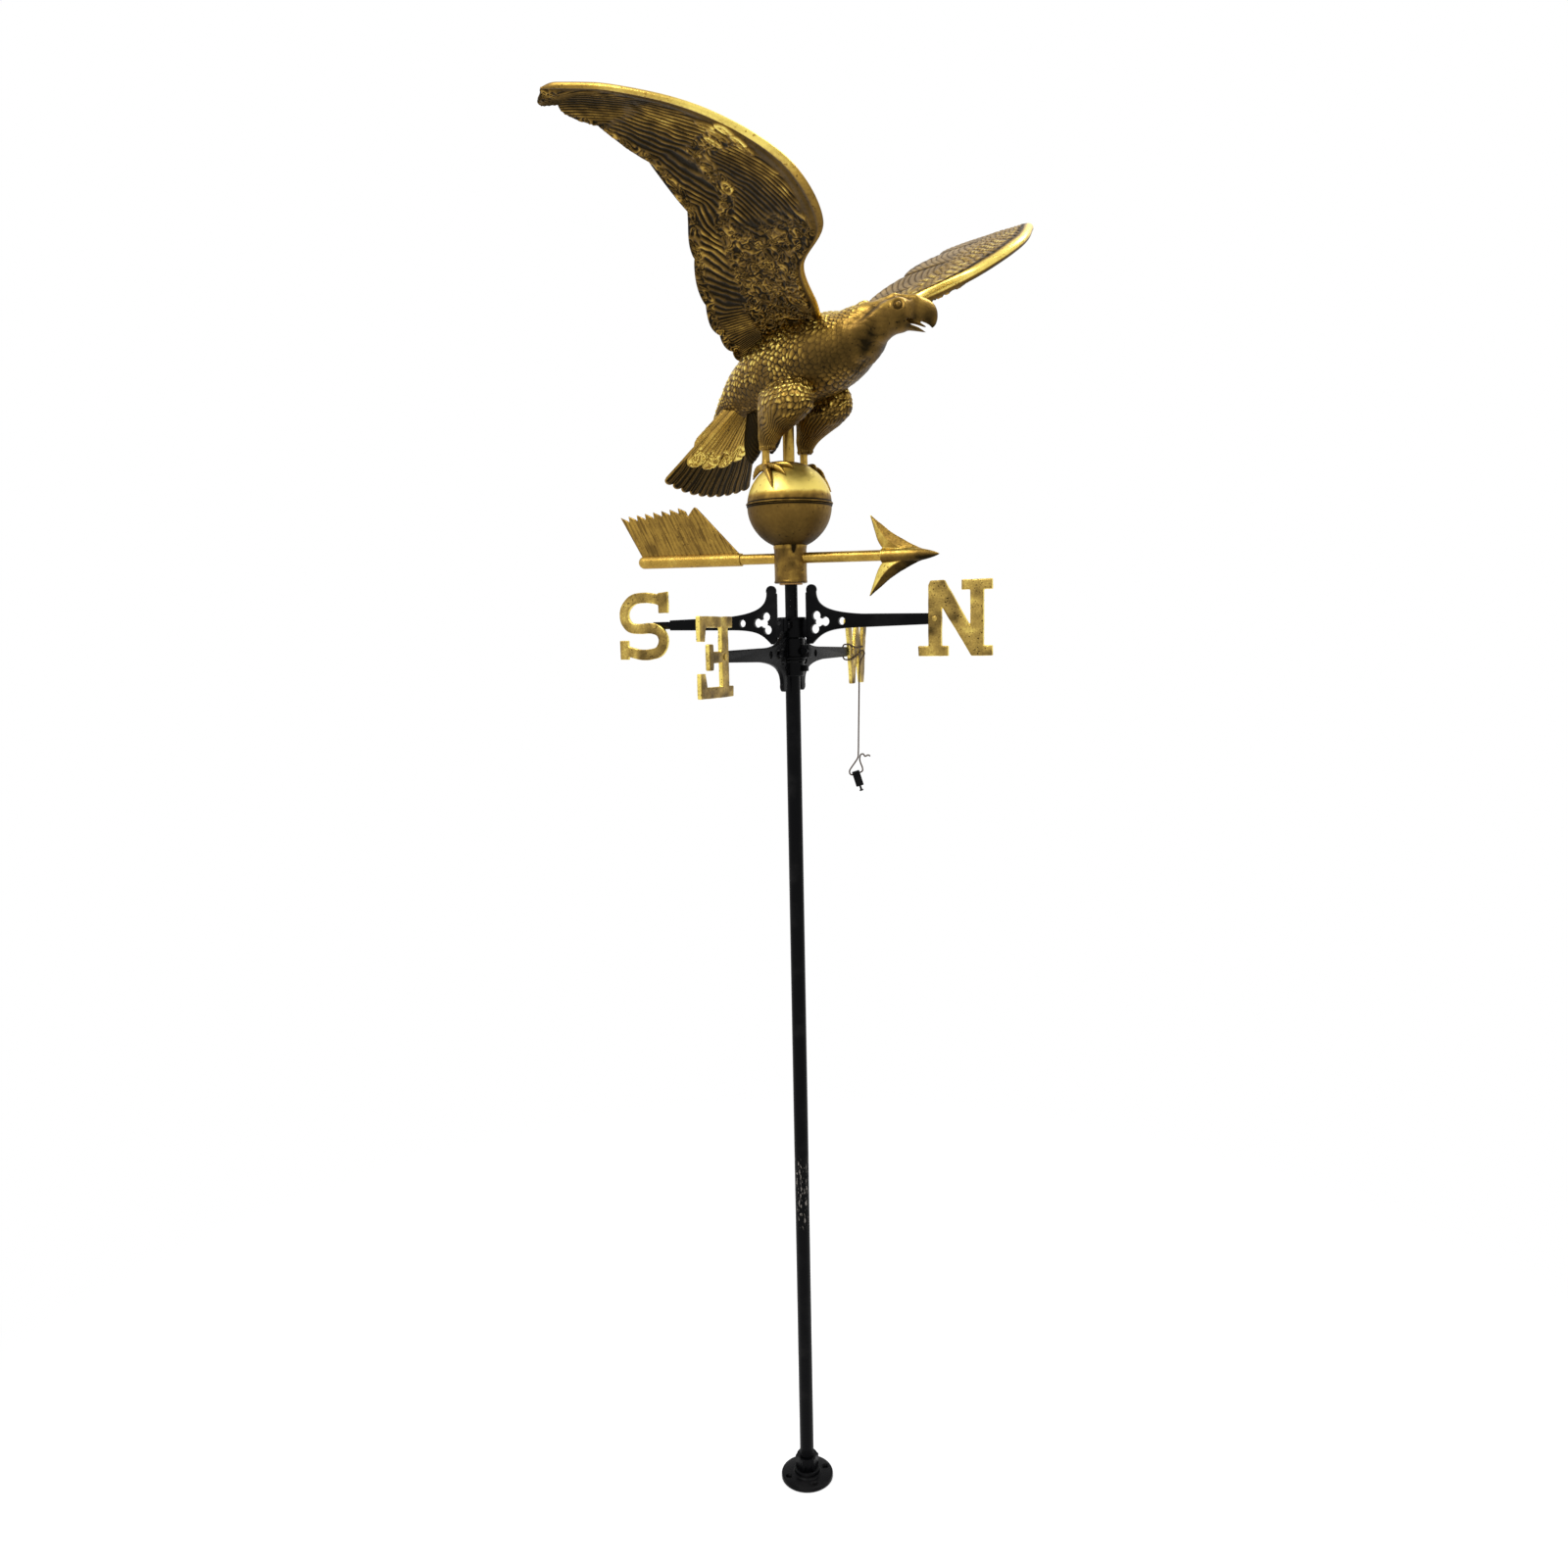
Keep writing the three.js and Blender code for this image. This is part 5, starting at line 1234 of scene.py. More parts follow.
@dataclass
class Compass:
    """Four cast arms with their letters, rivets, clamp bolts and the stop collar under them."""

    pipe: float = 21.3
    high: float = 1315
    low: float = 1270
    plate: float = 6
    inner: float = 22.9
    scroll_out: float = 31.4
    scroll_up: float = 45
    scroll: float = 7.5
    heel_down: float = 31
    heel_out: float = 32
    tip_height: float = 15
    root_out: float = 108
    root_height: float = 18.8
    round_hole_out: float = 77.6
    round_hole: float = 10.8
    lobe: float = 6.5
    saddle: float = 35
    saddle_top: float = 7
    saddle_bottom: float = 22
    rim: float = 41
    rim_height: float = 3
    ear_root: float = 8
    ear_reach: float = 28
    ear_thick: float = 5
    ear_top: float = 5
    ear_bottom: float = 13
    bolt: float = 6
    bolt_out: float = 22.6
    bolt_drop: float = 4
    bolt_flats: float = 9.6
    letter_height: float = 101.6
    letter_thick: float = 6.4
    letter_centre: float = 242
    letter_edge: float = 1.1
    stroke: float = 15.8
    tongue_thick: float = 3
    tongue_height: float = 11
    rivet: float = 4.4
    rivet_head: float = 8.4
    stop_od: float = 33
    stop_height: float = 24
    screw_flats: float = 8.6
    screw_drop: float = 13

    def build(self) -> None:
        """Builds and dresses the arms, letters and their fasteners."""
        for letter in LETTERS:
            self.build_arm(letter)
            self.build_letter(letter)
        self.build_bolts("north_south", 0, self.high - self.bolt_drop)
        self.build_bolts("east_west", QUARTER, self.low + self.bolt_drop)
        self.build_stop_collar()

    def height_of(self, letter: Letter) -> float:
        """Height of a letter's arm."""
        return self.low if letter.flipped else self.high

    def step_of(self, letter: Letter) -> float:
        """How far out an arm steps down to its tongue."""
        return self.letter_centre - letter.edge_share * letter.width - FIT

    def rivet_of(self, letter: Letter) -> float:
        """How far out a letter's rivet sits."""
        return self.letter_centre - letter.rivet_share * letter.width

    def outline(self, letter: Letter) -> list[Place]:
        """Edge of an arm casting, hub to the left.

        Args:
            letter: The letter that the arm carries.

        Returns:
            Its points, from the heel round the tip and the scroll.
        """
        half, root, tip = self.tip_height / 2, self.root_height / 2, self.tongue_height / 2
        out, heel = self.heel_out, self.heel_down
        step, end, scroll, up = self.step_of(letter), self.rivet_of(letter) + tip, self.scroll, self.scroll_up
        top_start, top_end = (self.root_out, root), (self.scroll_out + scroll * 0.9, up - scroll * 0.4)
        return [
            (self.inner, -heel), (out, -heel),
            *bezier(
                (out, -heel), (out + heel / 2, -heel / 2), (self.root_out / 2, -root), (self.root_out, -root)
            ),
            (step, -half), (step, -tip), (end, -tip), (end, tip), (step, tip), (step, half), top_start,
            *bezier(
                top_start, (self.root_out / 2, root + scroll / 2), (self.scroll_out + scroll, up / 2), top_end
            ),
            *arc((self.scroll_out, up), scroll, scroll, -0.35, math.pi * 1.12, 22),
            (self.inner, up - scroll * 0.6),
        ]

    def build_arm(self, letter: Letter) -> None:
        """Cast arm: pierced plate with a scroll, half saddle with ears, and a thin tongue under its letter.

        Args:
            letter: The letter that the arm carries.
        """
        lobe, side, half = self.lobe, self.plate, self.plate / 2
        plate = slab(self.outline(letter), side, self.letter_edge)
        for x, z, radius in (
            (lobe * 6.05, lobe * 1.3, lobe), (lobe * 8.1, 0, lobe), (lobe * 5.7, -lobe * 1.55, lobe),
            (self.round_hole_out, 0, self.round_hole / 2), (lobe * 6.6, -lobe * 0.1, lobe),
        ):
            plate = carved(plate, rod(radius, -side, side, 40).turned(about("X", QUARTER)).moved(x, 0, z))
        outside = (self.letter_centre + side, half - self.tongue_thick, side * 3)
        seat = block((self.step_of(letter), -side, -side * 3), outside, 0.2)
        plate = carved(plate, seat.turned(about("X", math.pi)) if letter.tongue < 0 else seat)
        bore, outer, rim = self.pipe / 2 + FIT, self.saddle / 2, self.rim / 2
        top, bottom, ledge = self.saddle_top, -self.saddle_bottom, self.saddle_top - self.rim_height
        profile = [
            (bore, bottom), (outer - 0.8, bottom), (outer, bottom + 0.8), (outer, ledge - 0.8),
            (outer + 0.8, ledge), (rim - 0.7, ledge), (rim, ledge + 0.7), (rim, top - 0.9),
            (rim - 0.9, top), (bore + 0.5, top), (bore, top - 0.5),
        ]
        shell = lathe(profile, 48, start=-QUARTER + 0.015, sweep=math.pi - 0.03)
        web = block((outer - 2, -half, bottom), (self.inner + 1.5, half, ledge), 0.6)
        ears = [
            block((0.25, low, -self.ear_bottom), (self.ear_thick, high, self.ear_top), 1)
            for low, high in ((self.ear_root, self.ear_reach), (-self.ear_reach, -self.ear_root))
        ]
        whole = plate.joined(shell, web, *ears)
        whole = whole.turned(about("X", math.pi)) if letter.flipped else whole
        whole = whole.turned(about("Z", letter.turn)).moved(z=self.height_of(letter))
        whole.build(f"{letter.name}_arm", IRON, Body.MAST, f"arm_{letter.name}", sharp=40)

    def letter_edges(self, letter: Letter) -> list[list[Place]]:
        """Edges of the plates that a letter is melted from, about its own centre.

        Args:
            letter: The letter.

        Returns:
            One edge, and for the curved letter also those of its two ends.
        """
        wide, tall = letter.width, self.letter_height
        if letter.shares:
            return [[((x - 0.5) * wide, (z - 0.5) * tall) for x, z in letter.shares]]
        places = [((x - 0.5) * wide, (z - 0.5) * tall, 0) for x, z in SOUTH_SPINE_SHARES]
        spine = spline(places, np.linspace(0, 1, 80))
        along = unit(np.gradient(spine, axis=0))
        side = np.stack([-along[:, 1], along[:, 0]], -1) * self.stroke / 2
        curved = [tuple(point) for point in (*(spine[:, :2] + side), *(spine[:, :2] - side)[::-1])]
        return [curved, *([(x * wide, z * tall) for x, z in end] for end in (SOUTH_TOP_END, SOUTH_LOW_END))]

    def build_letter(self, letter: Letter) -> None:
        """Letter plate with its worn face, and its rivet.

        Args:
            letter: The letter.
        """
        half, height, turn = self.letter_thick / 2, self.height_of(letter), about("Z", letter.turn)
        lift = (-1 if letter.flipped else 1) * letter.tongue * (self.plate / 2 - self.tongue_thick - FIT - half)
        seat = turn @ Matrix.Translation((self.letter_centre, lift, 0)) @ about("Z", letter.face - letter.turn)
        plates = [slab(edge, self.letter_thick, self.letter_edge) for edge in self.letter_edges(letter)]
        plate = fused(plates, 0.85, 2)
        grain = Grain(71 + round(letter.width))
        rim = smooth(half - 0.2, half - 0.9, np.abs(plate.points[:, 1]))
        wave = grain.at(plate.points, 17)
        plate.points += normals_of(plate) * (0.35 * wave + 0.16 * grain.at(plate.points, 5))[:, None]
        # Painted highlight on the rounded rims, over uneven tone.
        plate.marks["dark"] = held(0.2 + 0.3 * wave + 0.16 * grain.at(plate.points, 8) - 0.55 * rim)
        plate = plate.turned(seat).moved(z=height)
        plate.build(f"{letter.name}_letter", LETTER_GILT, Body.MAST, f"letter_{letter.name}", sharp=50)
        back = -1 if lift > 0 else 1
        spin = turn @ Matrix.Translation((self.rivet_of(letter), lift + back * half, 0))
        rivet = self.rivet_form().turned(about("Z", 0 if back > 0 else math.pi)).turned(spin).moved(z=height)
        rivet.build(f"{letter.name}_rivet", LETTER_GILT, Body.MAST, f"letter_rivet_{letter.name}")

    def rivet_form(self) -> Form:
        """Rivet along Y with its round head on the letter.

        Returns:
            The rivet.
        """
        front, back, head = self.letter_thick + FIT, self.tongue_thick + FIT, self.rivet_head / 2
        shank = [(self.rivet / 2, -front), (self.rivet / 2, back)]
        profile = [
            *arc((0, -front), head, 1.8, -QUARTER, 0, 12), *shank, *arc((0, back), head, 1.2, 0, QUARTER, 8)
        ]
        return lathe(profile, 32).turned(about("X", -QUARTER))

    def build_bolts(self, pair: str, turn: float, height: float) -> None:
        """Two square-headed clamp bolts and their nuts.

        Args:
            pair: Name of the pair of arms that they clamp.
            turn: How far the pair is turned from north.
            height: Height of the bolts.
        """
        under, half, radius = self.ear_thick + FIT, self.bolt_flats / 2, self.bolt / 2
        ends = np.arange(-under - 7.5, -under, 0.12)
        thread = radius - 0.3 * (0.5 - 0.5 * np.cos(TURN * ends))
        shank = lathe([(0, ends[0]), *zip(thread, ends), (radius, under + FIT), (0, under + FIT)], 32)
        cap = block((under, -half, -half), (under + 4, half, half), 0.7)
        bolt = shank.turned(about("Y", QUARTER)).joined(cap)
        nut = hexagon(self.bolt_flats, under, under + 5, 0.7, radius + FIT / 2).turned(about("Y", -QUARTER))
        middle = Matrix.Translation((0, 0, height)) @ about("Z", turn)
        for index, hand in enumerate((-1, 1), 1):
            place = middle @ Matrix.Translation((0, hand * self.bolt_out, 0))
            for name, form in (("bolt", bolt), ("nut", nut)):
                title = f"{name}_{pair}_{index}"
                form.turned(place).build(title, STEEL, Body.MAST, f"clamp_{title}")

    def build_stop_collar(self) -> None:
        """Collar under the arms with two square-headed set screws."""
        top, radius, bore = self.low - self.saddle_top - FIT, self.stop_od / 2, self.pipe / 2 + FIT
        bottom, rim = top - self.stop_height, radius + 2
        profile = [
            (bore, bottom), (radius - 1, bottom), (radius, bottom + 1), (radius, top - 5),
            (radius + 0.6, top - 4.2), (rim, top - 3), (rim, top - 0.8), (radius + 1.2, top),
            (bore + 0.6, top), (bore, top - 0.6),
        ]
        lathe(profile, ring=True).build("stop_collar_casting", IRON, Body.MAST, "stop_collar")
        seat, half = radius + FIT, self.screw_flats / 2
        shank = rod(3.5, bore, seat + FIT).turned(about("Y", QUARTER))
        screw = shank.joined(block((seat, -half, -half), (seat + 7, half, half), 0.8))
        for index, turn in enumerate((0, math.pi), 1):
            placed = screw.turned(about("Z", turn)).moved(z=top - self.screw_drop)
            placed.build(f"set_screw_{index}", STEEL, Body.MAST, f"stop_collar_screw_{index}")


@dataclass
class Twine:
    """String tied round the west letter, with a small clamp hanging in its loop."""

    diameter: float = 2.5
    letter_width: float = 92
    letter_height: float = 101.6
    letter_thick: float = 6.4
    letter_centre: float = 242
    arm_height: float = 1270
    arm_plate: float = 6
    tongue: float = 3
    north: float = 5
    west: float = 242.5
    knot_height: float = 1099
    clamp_height: float = 25
    clamp_width: float = 12.5
    clamp_thick: float = 11
    clamp_turn: float = math.radians(24)
    clamp_tilt: float = math.radians(17)
    lay: float = 9
    rings: int = 760
    sides: int = 18
    wraps: Sequence[Place] = (
        (-1.16, 0.739, 0.638), (-0.6, 0.701, 0.603), (0.1, 0.69, 0.584), (1.04, 0.672, 0.575),
        (1, 0.587, 0.567), (1, 0.435, 0.562), (1, 0.283, 0.571), (1, 0.155, 0.595), (0.92, 0.097, 0.606),
        (0.1, 0.081, 0.612), (-1.3, 0.1, 0.606), (-1.95, 0.115, 0.54), (-1.95, 0.12, 0.45),
        (-1.3, 0.113, 0.386), (0.1, 0.113, 0.374), (0.92, 0.133, 0.378), (1, 0.19, 0.388),
        (1, 0.304, 0.413), (1, 0.478, 0.457), (1, 0.598, 0.496), (1.15, 0.668, 0.514), (1.45, 0.701, 0.47),
        (1.5, 0.647, 0.421), (1.2, 0.571, 0.372), (1, 0.533, 0.303), (0.85, 0.524, 0.165),
    )
    loop: Sequence[Place] = (
        (0, 0.28, 0), (-0.024, 0, 0.016), (-0.2, -0.3, 0.05), (-0.44, -0.64, 0.03), (-0.585, -0.9, 0),
        (-0.545, -1.104, 0), (-0.388, -1.16, 0), (-0.148, -1.086, 0), (0.09, -1.012, 0),
        (0.252, -0.908, -0.016), (0.256, -0.7, -0.064), (0.144, -0.4, -0.116), (0.088, -0.12, -0.128),
        (0.168, 0.152, -0.12), (0.32, 0.184, -0.088), (0.44, 0.04, -0.06), (0.62, 0.112, -0.04),
        (0.78, 0.052, -0.024),
    )

    def hang(self, across: float, up: float, near: float = 0) -> Place:
        """Place of a point of the loop.

        Args:
            across: Place along the clamp's width, in shares of its height.
            up: Place above the knot, in shares of its height.
            near: Place towards the front, in shares of its height.

        Returns:
            The place in the frame.
        """
        cos, sin, size = math.cos(self.clamp_turn), math.sin(self.clamp_turn), self.clamp_height
        away = (across * cos + near * sin, across * sin - near * cos, up)
        return self.north + size * away[0], self.west + size * away[1], self.knot_height + size * away[2]

    def route(self) -> Array:
        """The string's centreline from behind the letter to its loose end.

        Returns:
            Its points, some 0.5 mm apart.
        """
        middle = self.letter_thick / 2 + FIT + self.tongue - self.arm_plate / 2
        depth = self.letter_thick / 2 + self.diameter / 2 + FIT * 1.5
        left, low = self.letter_centre, self.arm_height
        wraps = [
            (
                middle + out * depth, left + (across - 0.5) * self.letter_width,
                low + (up - 0.5) * self.letter_height,
            )
            for out, across, up in self.wraps
        ]
        loop = [self.hang(*shares) for shares in self.loop]
        start, end = np.array(wraps[-1]), np.array(loop[0])
        hanging = [tuple(start + (end - start) * share) for share in (0.25, 0.5, 0.75)]
        return spline([*wraps, *hanging, *loop], np.linspace(0, 1, 900))

    def build(self) -> None:
        """Builds the string, the clamp and its screw."""
        clamp, screw = self.build_clamp()
        path = self.route()
        steps = np.linalg.norm(np.diff(path, axis=0), axis=1)
        length = float(steps.sum())
        travel = np.concatenate([[0], np.cumsum(steps)])
        rings = np.interp(np.linspace(0, length, self.rings), travel, np.arange(len(path)))
        low = np.floor(rings).astype(int).clip(0, len(path) - 2)
        path = path[low] + (path[low + 1] - path[low]) * (rings - low)[:, None]
        along = unit(np.gradient(path, axis=0))
        normal = np.zeros_like(path)
        normal[0] = unit(np.cross(along[0], (0.3, 0.2, 1)))
        for index in range(1, len(path)):
            normal[index] = unit(normal[index - 1] - along[index] * (normal[index - 1] @ along[index]))
        binormal = np.cross(along, normal)
        angle = np.arange(self.sides)[None] * TURN / self.sides
        twist = np.linspace(0, length, len(path))[:, None] * TURN / self.lay
        strand = np.abs(np.cos(1.5 * (angle - twist)))
        radius = self.diameter / 2 * (0.8 + 0.2 * strand)
        out, over = ((radius * part(angle))[..., None] for part in (np.cos, np.sin))
        places = path[:, None] + normal[:, None] * out + binormal[:, None] * over
        # The hollow mark darkens the grooves between the strands: painted shade.
        skin = grid(places, marks={"hollow": 1 - strand})
        string = skin.build("tied_twine", TWINE_FIBRE, Body.MAST, "twine", sharp=180)
        sparse = path[::6] * MM
        tuple(path[0] * MM)
        [tuple(p) for p in (*sparse, path[-1] * MM)]

    def build_clamp(self) -> tuple[bpy.types.Object, bpy.types.Object]:
        """Builds the clamp block and its screw.

        Returns:
            The two pieces.
        """
        wide, tall, deep, reach = self.clamp_width / 2, self.clamp_height / 2, self.clamp_thick / 2, 20
        body = block((-wide, -deep, -tall), (wide, deep, tall), 1.3)
        hole = rod(2.4, -reach, reach).turned(about("Y", QUARTER)).moved(z=0.32 * self.clamp_height)
        body = carved(body, hole)
        body = carved(body, rod(2.1, -reach, 9.3 - tall))
        turn = about("Z", self.clamp_turn) @ about("Y", -self.clamp_tilt)
        place = Matrix.Translation(self.hang(-0.056, -1.392)) @ turn
        low = -tall - 6.4
        shank = np.arange(low, -tall + 9, 0.15)
        radius = 1.8 - 0.2 * (0.5 - 0.5 * np.cos(TURN * shank / 0.8))
        head = [(0, low - 2.2), (2.6, low - 2.2), (3.5, low - 1.4), (3.5, low - 0.8), (2.8, low)]
        screw = lathe([*head, *zip(radius, shank), (0, shank[-1])], 24)
        return tuple(
            form.turned(place).build(f"clamp_{name}", STEEL, Body.MAST, node)
            for name, form, node in (("block", body, "twine_clamp"), ("screw", screw, "twine_clamp_screw"))
        )


# Vane below the eagle


@dataclass
class Spinner:
    """Collar, tube and ball that turn on the spindle."""

    collar: float = 46
    collar_bottom: float = 1370
    collar_hub: float = 13.8
    collar_hub_height: float = 10.3
    tube_bore: float = 6.4
    tube: float = 16
    tube_top: float = 1640
    ball: float = 59.8
    ball_centre: float = 1478
    wall: float = 1.6
    seed: int = 11

    def build(self) -> None:
        """Builds the collar, tube and ball."""
        self.build_collar()
        self.build_tube()
        self.build_ball("upper", 1, 1.9, 3.4)
        self.build_ball("lower", -1, 1.0, 1.8)

    def build_collar(self) -> None:
        """Turned collar with a battered lip and solder round its top."""
        radius, bottom, hub, inner = self.collar / 2, self.collar_bottom, self.collar_hub, self.tube / 2 + FIT
        roof = bottom + self.collar_hub_height
        top, under = (self.ball_centre - math.sqrt((self.ball + FIT) ** 2 - out**2) for out in (radius, inner))
        profile = [
            (hub, bottom), (radius - 0.4, bottom), (radius + 0.6, bottom + 0.8), (radius + 0.8, bottom + 1.6),
            (radius + 0.6, bottom + 2.6), (radius, bottom + 3.4),
            *((radius, z) for z in np.linspace(bottom + 5, top, 16)), (inner, under), (inner, roof), (hub, roof),
        ]
        form = lathe(profile, 128, ring=True)
        grain, places = Grain(self.seed), form.points
        outside = np.linalg.norm(places[:, :2], axis=1)
        share = smooth(radius - 2, radius - 0.5, outside)
        dents = grain.at(places, 14) * 0.35 + grain.at(places, 5) * 0.12
        height = places[:, 2]
        lip = 1.1 * np.minimum(0, grain.at(places, 9)) * smooth(bottom + 5, bottom + 1, height)
        angle = np.arctan2(places[:, 1], places[:, 0])
        solder = 0.9 * smooth(top - 5, top - 2, height + 1.6 * grain.at(places + 70, 8))
        notch_width = 0.05 + 0.012 * np.maximum(height - top + 12, 0)
        notch = hump(angle + 0.95, notch_width) * smooth(top - 12, top - 8, height)
        push = share * (dents + lip + solder - 1.8 * notch)
        places[:, :2] *= (1 + push / np.maximum(outside, 1))[:, None]
        patina = 0.18 * grain.at(places + 33, 11) + 0.08 * grain.at(places, 4)
        # Painted light where the surface is pushed out and painted shade where it is pushed in and in the notch,
        # over patchy patina.
        form.marks["dark"] = held(0.3 + patina - 0.25 * push + 0.6 * notch) * share
        form.build("turned_collar", GILT, Body.VANE, "vane_collar", sharp=50)

    def build_tube(self) -> None:
        """Tube between the ball and the body."""
        bore, low, roof = self.tube_bore, self.collar_bottom + self.collar_hub_height, self.ball_centre + 2.6
        side = [(self.tube / 2, z) for z in np.linspace(low, self.tube_top, 80)]
        profile = [(0, roof), (bore, roof), (bore, low), *side, (0, self.tube_top)]
        lathe(profile, 48).build("centre_tube", BALL_GILT, Body.VANE, "spindle_tube")

    def build_ball(self, half: str, sign: int, proud: float, rim: float) -> None:
        """One spun half of the ball with its rolled rim.

        Args:
            half: Which half it is.
            sign: 1 for the upper half and -1 for the lower.
            proud: How far the rim stands out.
            rim: Height of the rim.
        """
        hole, ball, inner = self.tube / 2 + FIT, self.ball, self.ball - self.wall
        bead = arc((ball, rim * 0.5), proud * 0.95, rim * 0.45, -QUARTER, QUARTER, 12)
        outer = arc((0, 0), ball, ball, math.asin(rim / ball), math.acos(hole / ball), 60)
        inside = arc((0, 0), inner, inner, math.acos(hole / inner), 0, 30)
        seam = FIT / 2
        profile = [(r, self.ball_centre + sign * (max(h, 0) + seam)) for r, h in (*bead, *outer, *inside)]
        form = lathe(profile, 160, ring=True)
        grain, centre = Grain(self.seed + 5), [0, 0, self.ball_centre]
        push = grain.at(form.points, 30) * 0.35 + grain.at(form.points, 9) * 0.06
        form.points += unit(form.points - centre) * push[:, None]
        height = np.abs(form.points[:, 2] - self.ball_centre)
        # Painted shade in the groove beside the rim; the seam itself is a dark joint.
        groove = hump(height - rim - 0.3, 0.9) + 0.7 * (height < 0.6)
        # Upper half: a painted highlight in a broad band, darker and cloudy near the rim and darker near the
        # top. Lower half: painted shade, darker towards the bottom, with uneven tone.
        if sign > 0:
            cloudy = 0.3 + 0.14 * grain.at(form.points, 7)
            shade_and_stain = smooth(26, 4, height + 4 * grain.at(form.points, 18)) * cloudy
            shade_and_stain += 0.25 * smooth(46, 58, height) - 0.52 * smooth(8, 20, height) * smooth(58, 46, height)
        else:
            shade_and_stain = 0.3 + 0.12 * grain.at(form.points, 26) + 0.24 * smooth(0, 50, height)
        form.marks["dark"] = held(groove * 0.9 + shade_and_stain)
        form.build(f"ball_{half}_half", BALL_GILT, Body.VANE, f"ball_{half}", sharp=60)


@dataclass
class Arrow:
    """Rods, point, sleeve and toothed fletching, drawn level and then drooped about the mast."""

    height: float = 1405
    droop: float = math.radians(1)
    rod: float = 15
    tip: float = 220
    socket: float = 137
    cone: float = 9.4
    barb_reach: float = 119.6
    barb_rise: float = 56
    barb_thick: float = 12
    sleeve: float = 18.6
    sleeve_front: float = 77
    sleeve_rear: float = 249
    fletch_thick: float = 3
    fletch_front: float = 80
    fletch_rear: float = 244
    fletch_rise: float = 78
    fletch_rear_rise: float = 68
    fletch_rear_tip: float = 281
    teeth: int = 8
    tooth_depth: float = 13
    last_tooth: float = 182
    crest: float = 150
    seat: float = 26
    seed: int = 23
    barb: Sequence[Place] = (
        (0.95, 0.02, 0.4, 0.02, 0.5), (0.83, 0.09, 0.32, 0.05, 1), (0.68, 0.2, 0.26, 0.1, 1),
        (0.5, 0.36, 0.18, 0.18, 0.95), (0.33, 0.54, 0.115, 0.36, 0.8), (0.15, 0.79, 0.05, 0.68, 0.5),
        (0.01, 0.99, 0, 0.97, 0.1),
    )

    def finished(self, form: Form, name: str, node: str, sharp: float = 35) -> None:
        """Droops a form about the mast at the arrow's height and builds it in gilt.

        Args:
            form: The form, level at height 0.
            name: Name of the piece.
            node: Frame node that it replaces.
            sharp: Edges bent by more than this many degrees stay crisp.
        """
        placed = form.turned(about("Y", self.droop)).moved(z=self.height)
        placed.build(name, GILT, Body.VANE, node, sharp=sharp)

    def build(self) -> None:
        """Builds the arrow."""
        for name, start, end in (("front_rod", 11, self.socket + self.seat - FIT), ("rear_rod", -236, -11)):
            side = [(self.rod / 2, x) for x in np.linspace(start, end, 40)]
            bar = lathe([(0, start), *side, (0, end)], 48)
            self.finished(bar.turned(about("Y", QUARTER)), name, f"arrow_{name}")
        self.build_point()
        self.build_sleeve()
        self.build_fletching()

    def build_point(self) -> None:
        """Cast arrow point: a cone between two curved barbs with a central ridge."""
        bore, foot, deep = self.rod / 2 + FIT, self.socket, self.socket + self.seat
        tip, cone = self.tip, self.cone
        nose = [
            (foot, cone, 0), (foot + 45, cone, 0), (tip - 24, cone * 0.82, 0), (tip - 10, cone * 0.45, 0),
            (tip - 2, cone * 0.12, 0), (tip, 0, 0),
        ]
        curve = [(max(r, 0), x) for x, r, _ in spline(nose, np.linspace(0, 1, 60))[:-1]]
        lying = about("Y", QUARTER)
        middle = lathe([(0, deep), (bore, deep), (bore, foot), *curve, (0, tip)], 64).turned(lying)
        shares = np.linspace(0, 1, 60)
        front_out, front_up, back_out = spline([row[:3] for row in self.barb], shares, centripetal=False).T
        back_up, full, _ = spline([(*row[3:], 0) for row in self.barb], shares, centripetal=False).T
        across = np.linspace(-1, 1, 25)
        forms = []
        for hand in (1, -1):
            front, back = (
                np.stack(
                    [self.barb_reach + out * (tip - self.barb_reach), 0 * up, hand * up * self.barb_rise], -1
                )
                for out, up in ((front_out, front_up), (back_out, back_up))
            )
            rings = []
            for side in (1, -1):
                share = (across * side + 1) / 2
                line = front[:, None] + (back - front)[:, None] * share[None, :, None]
                line[..., 1] += side * (full[:, None] * self.barb_thick / 2 * (1 - np.abs(across * side)) ** 0.8)
                rings.append(line[:, :-1])
            forms.append(grid(np.concatenate(rings, 1)))
        point = fused([middle, *forms], 0.75, 2)
        grain = Grain(self.seed)
        point.points += normals_of(point) * (grain.at(point.points, 11) * 0.3)[:, None]
        point = carved(point, rod(bore, 0, deep, 48).turned(lying))
        facing = normals_of(point)
        ahead = facing[:, 0]
        # Painted light and shade by facing: darker on faces turned down or forward, painted highlight on faces
        # turned back or up.
        dark = shade_facing_down(facing, 0.4) + 0.24 * smooth(-0.05, 0.22, ahead) - 0.36 * smooth(0, -0.25, ahead)
        dark = dark - 0.2 * smooth(0.3, 0.7, facing[:, 2]) + 0.1 * grain.at(point.points, 12)
        point.marks["dark"] = held(dark)
        self.finished(point, "cast_point", "arrow_point", 60)

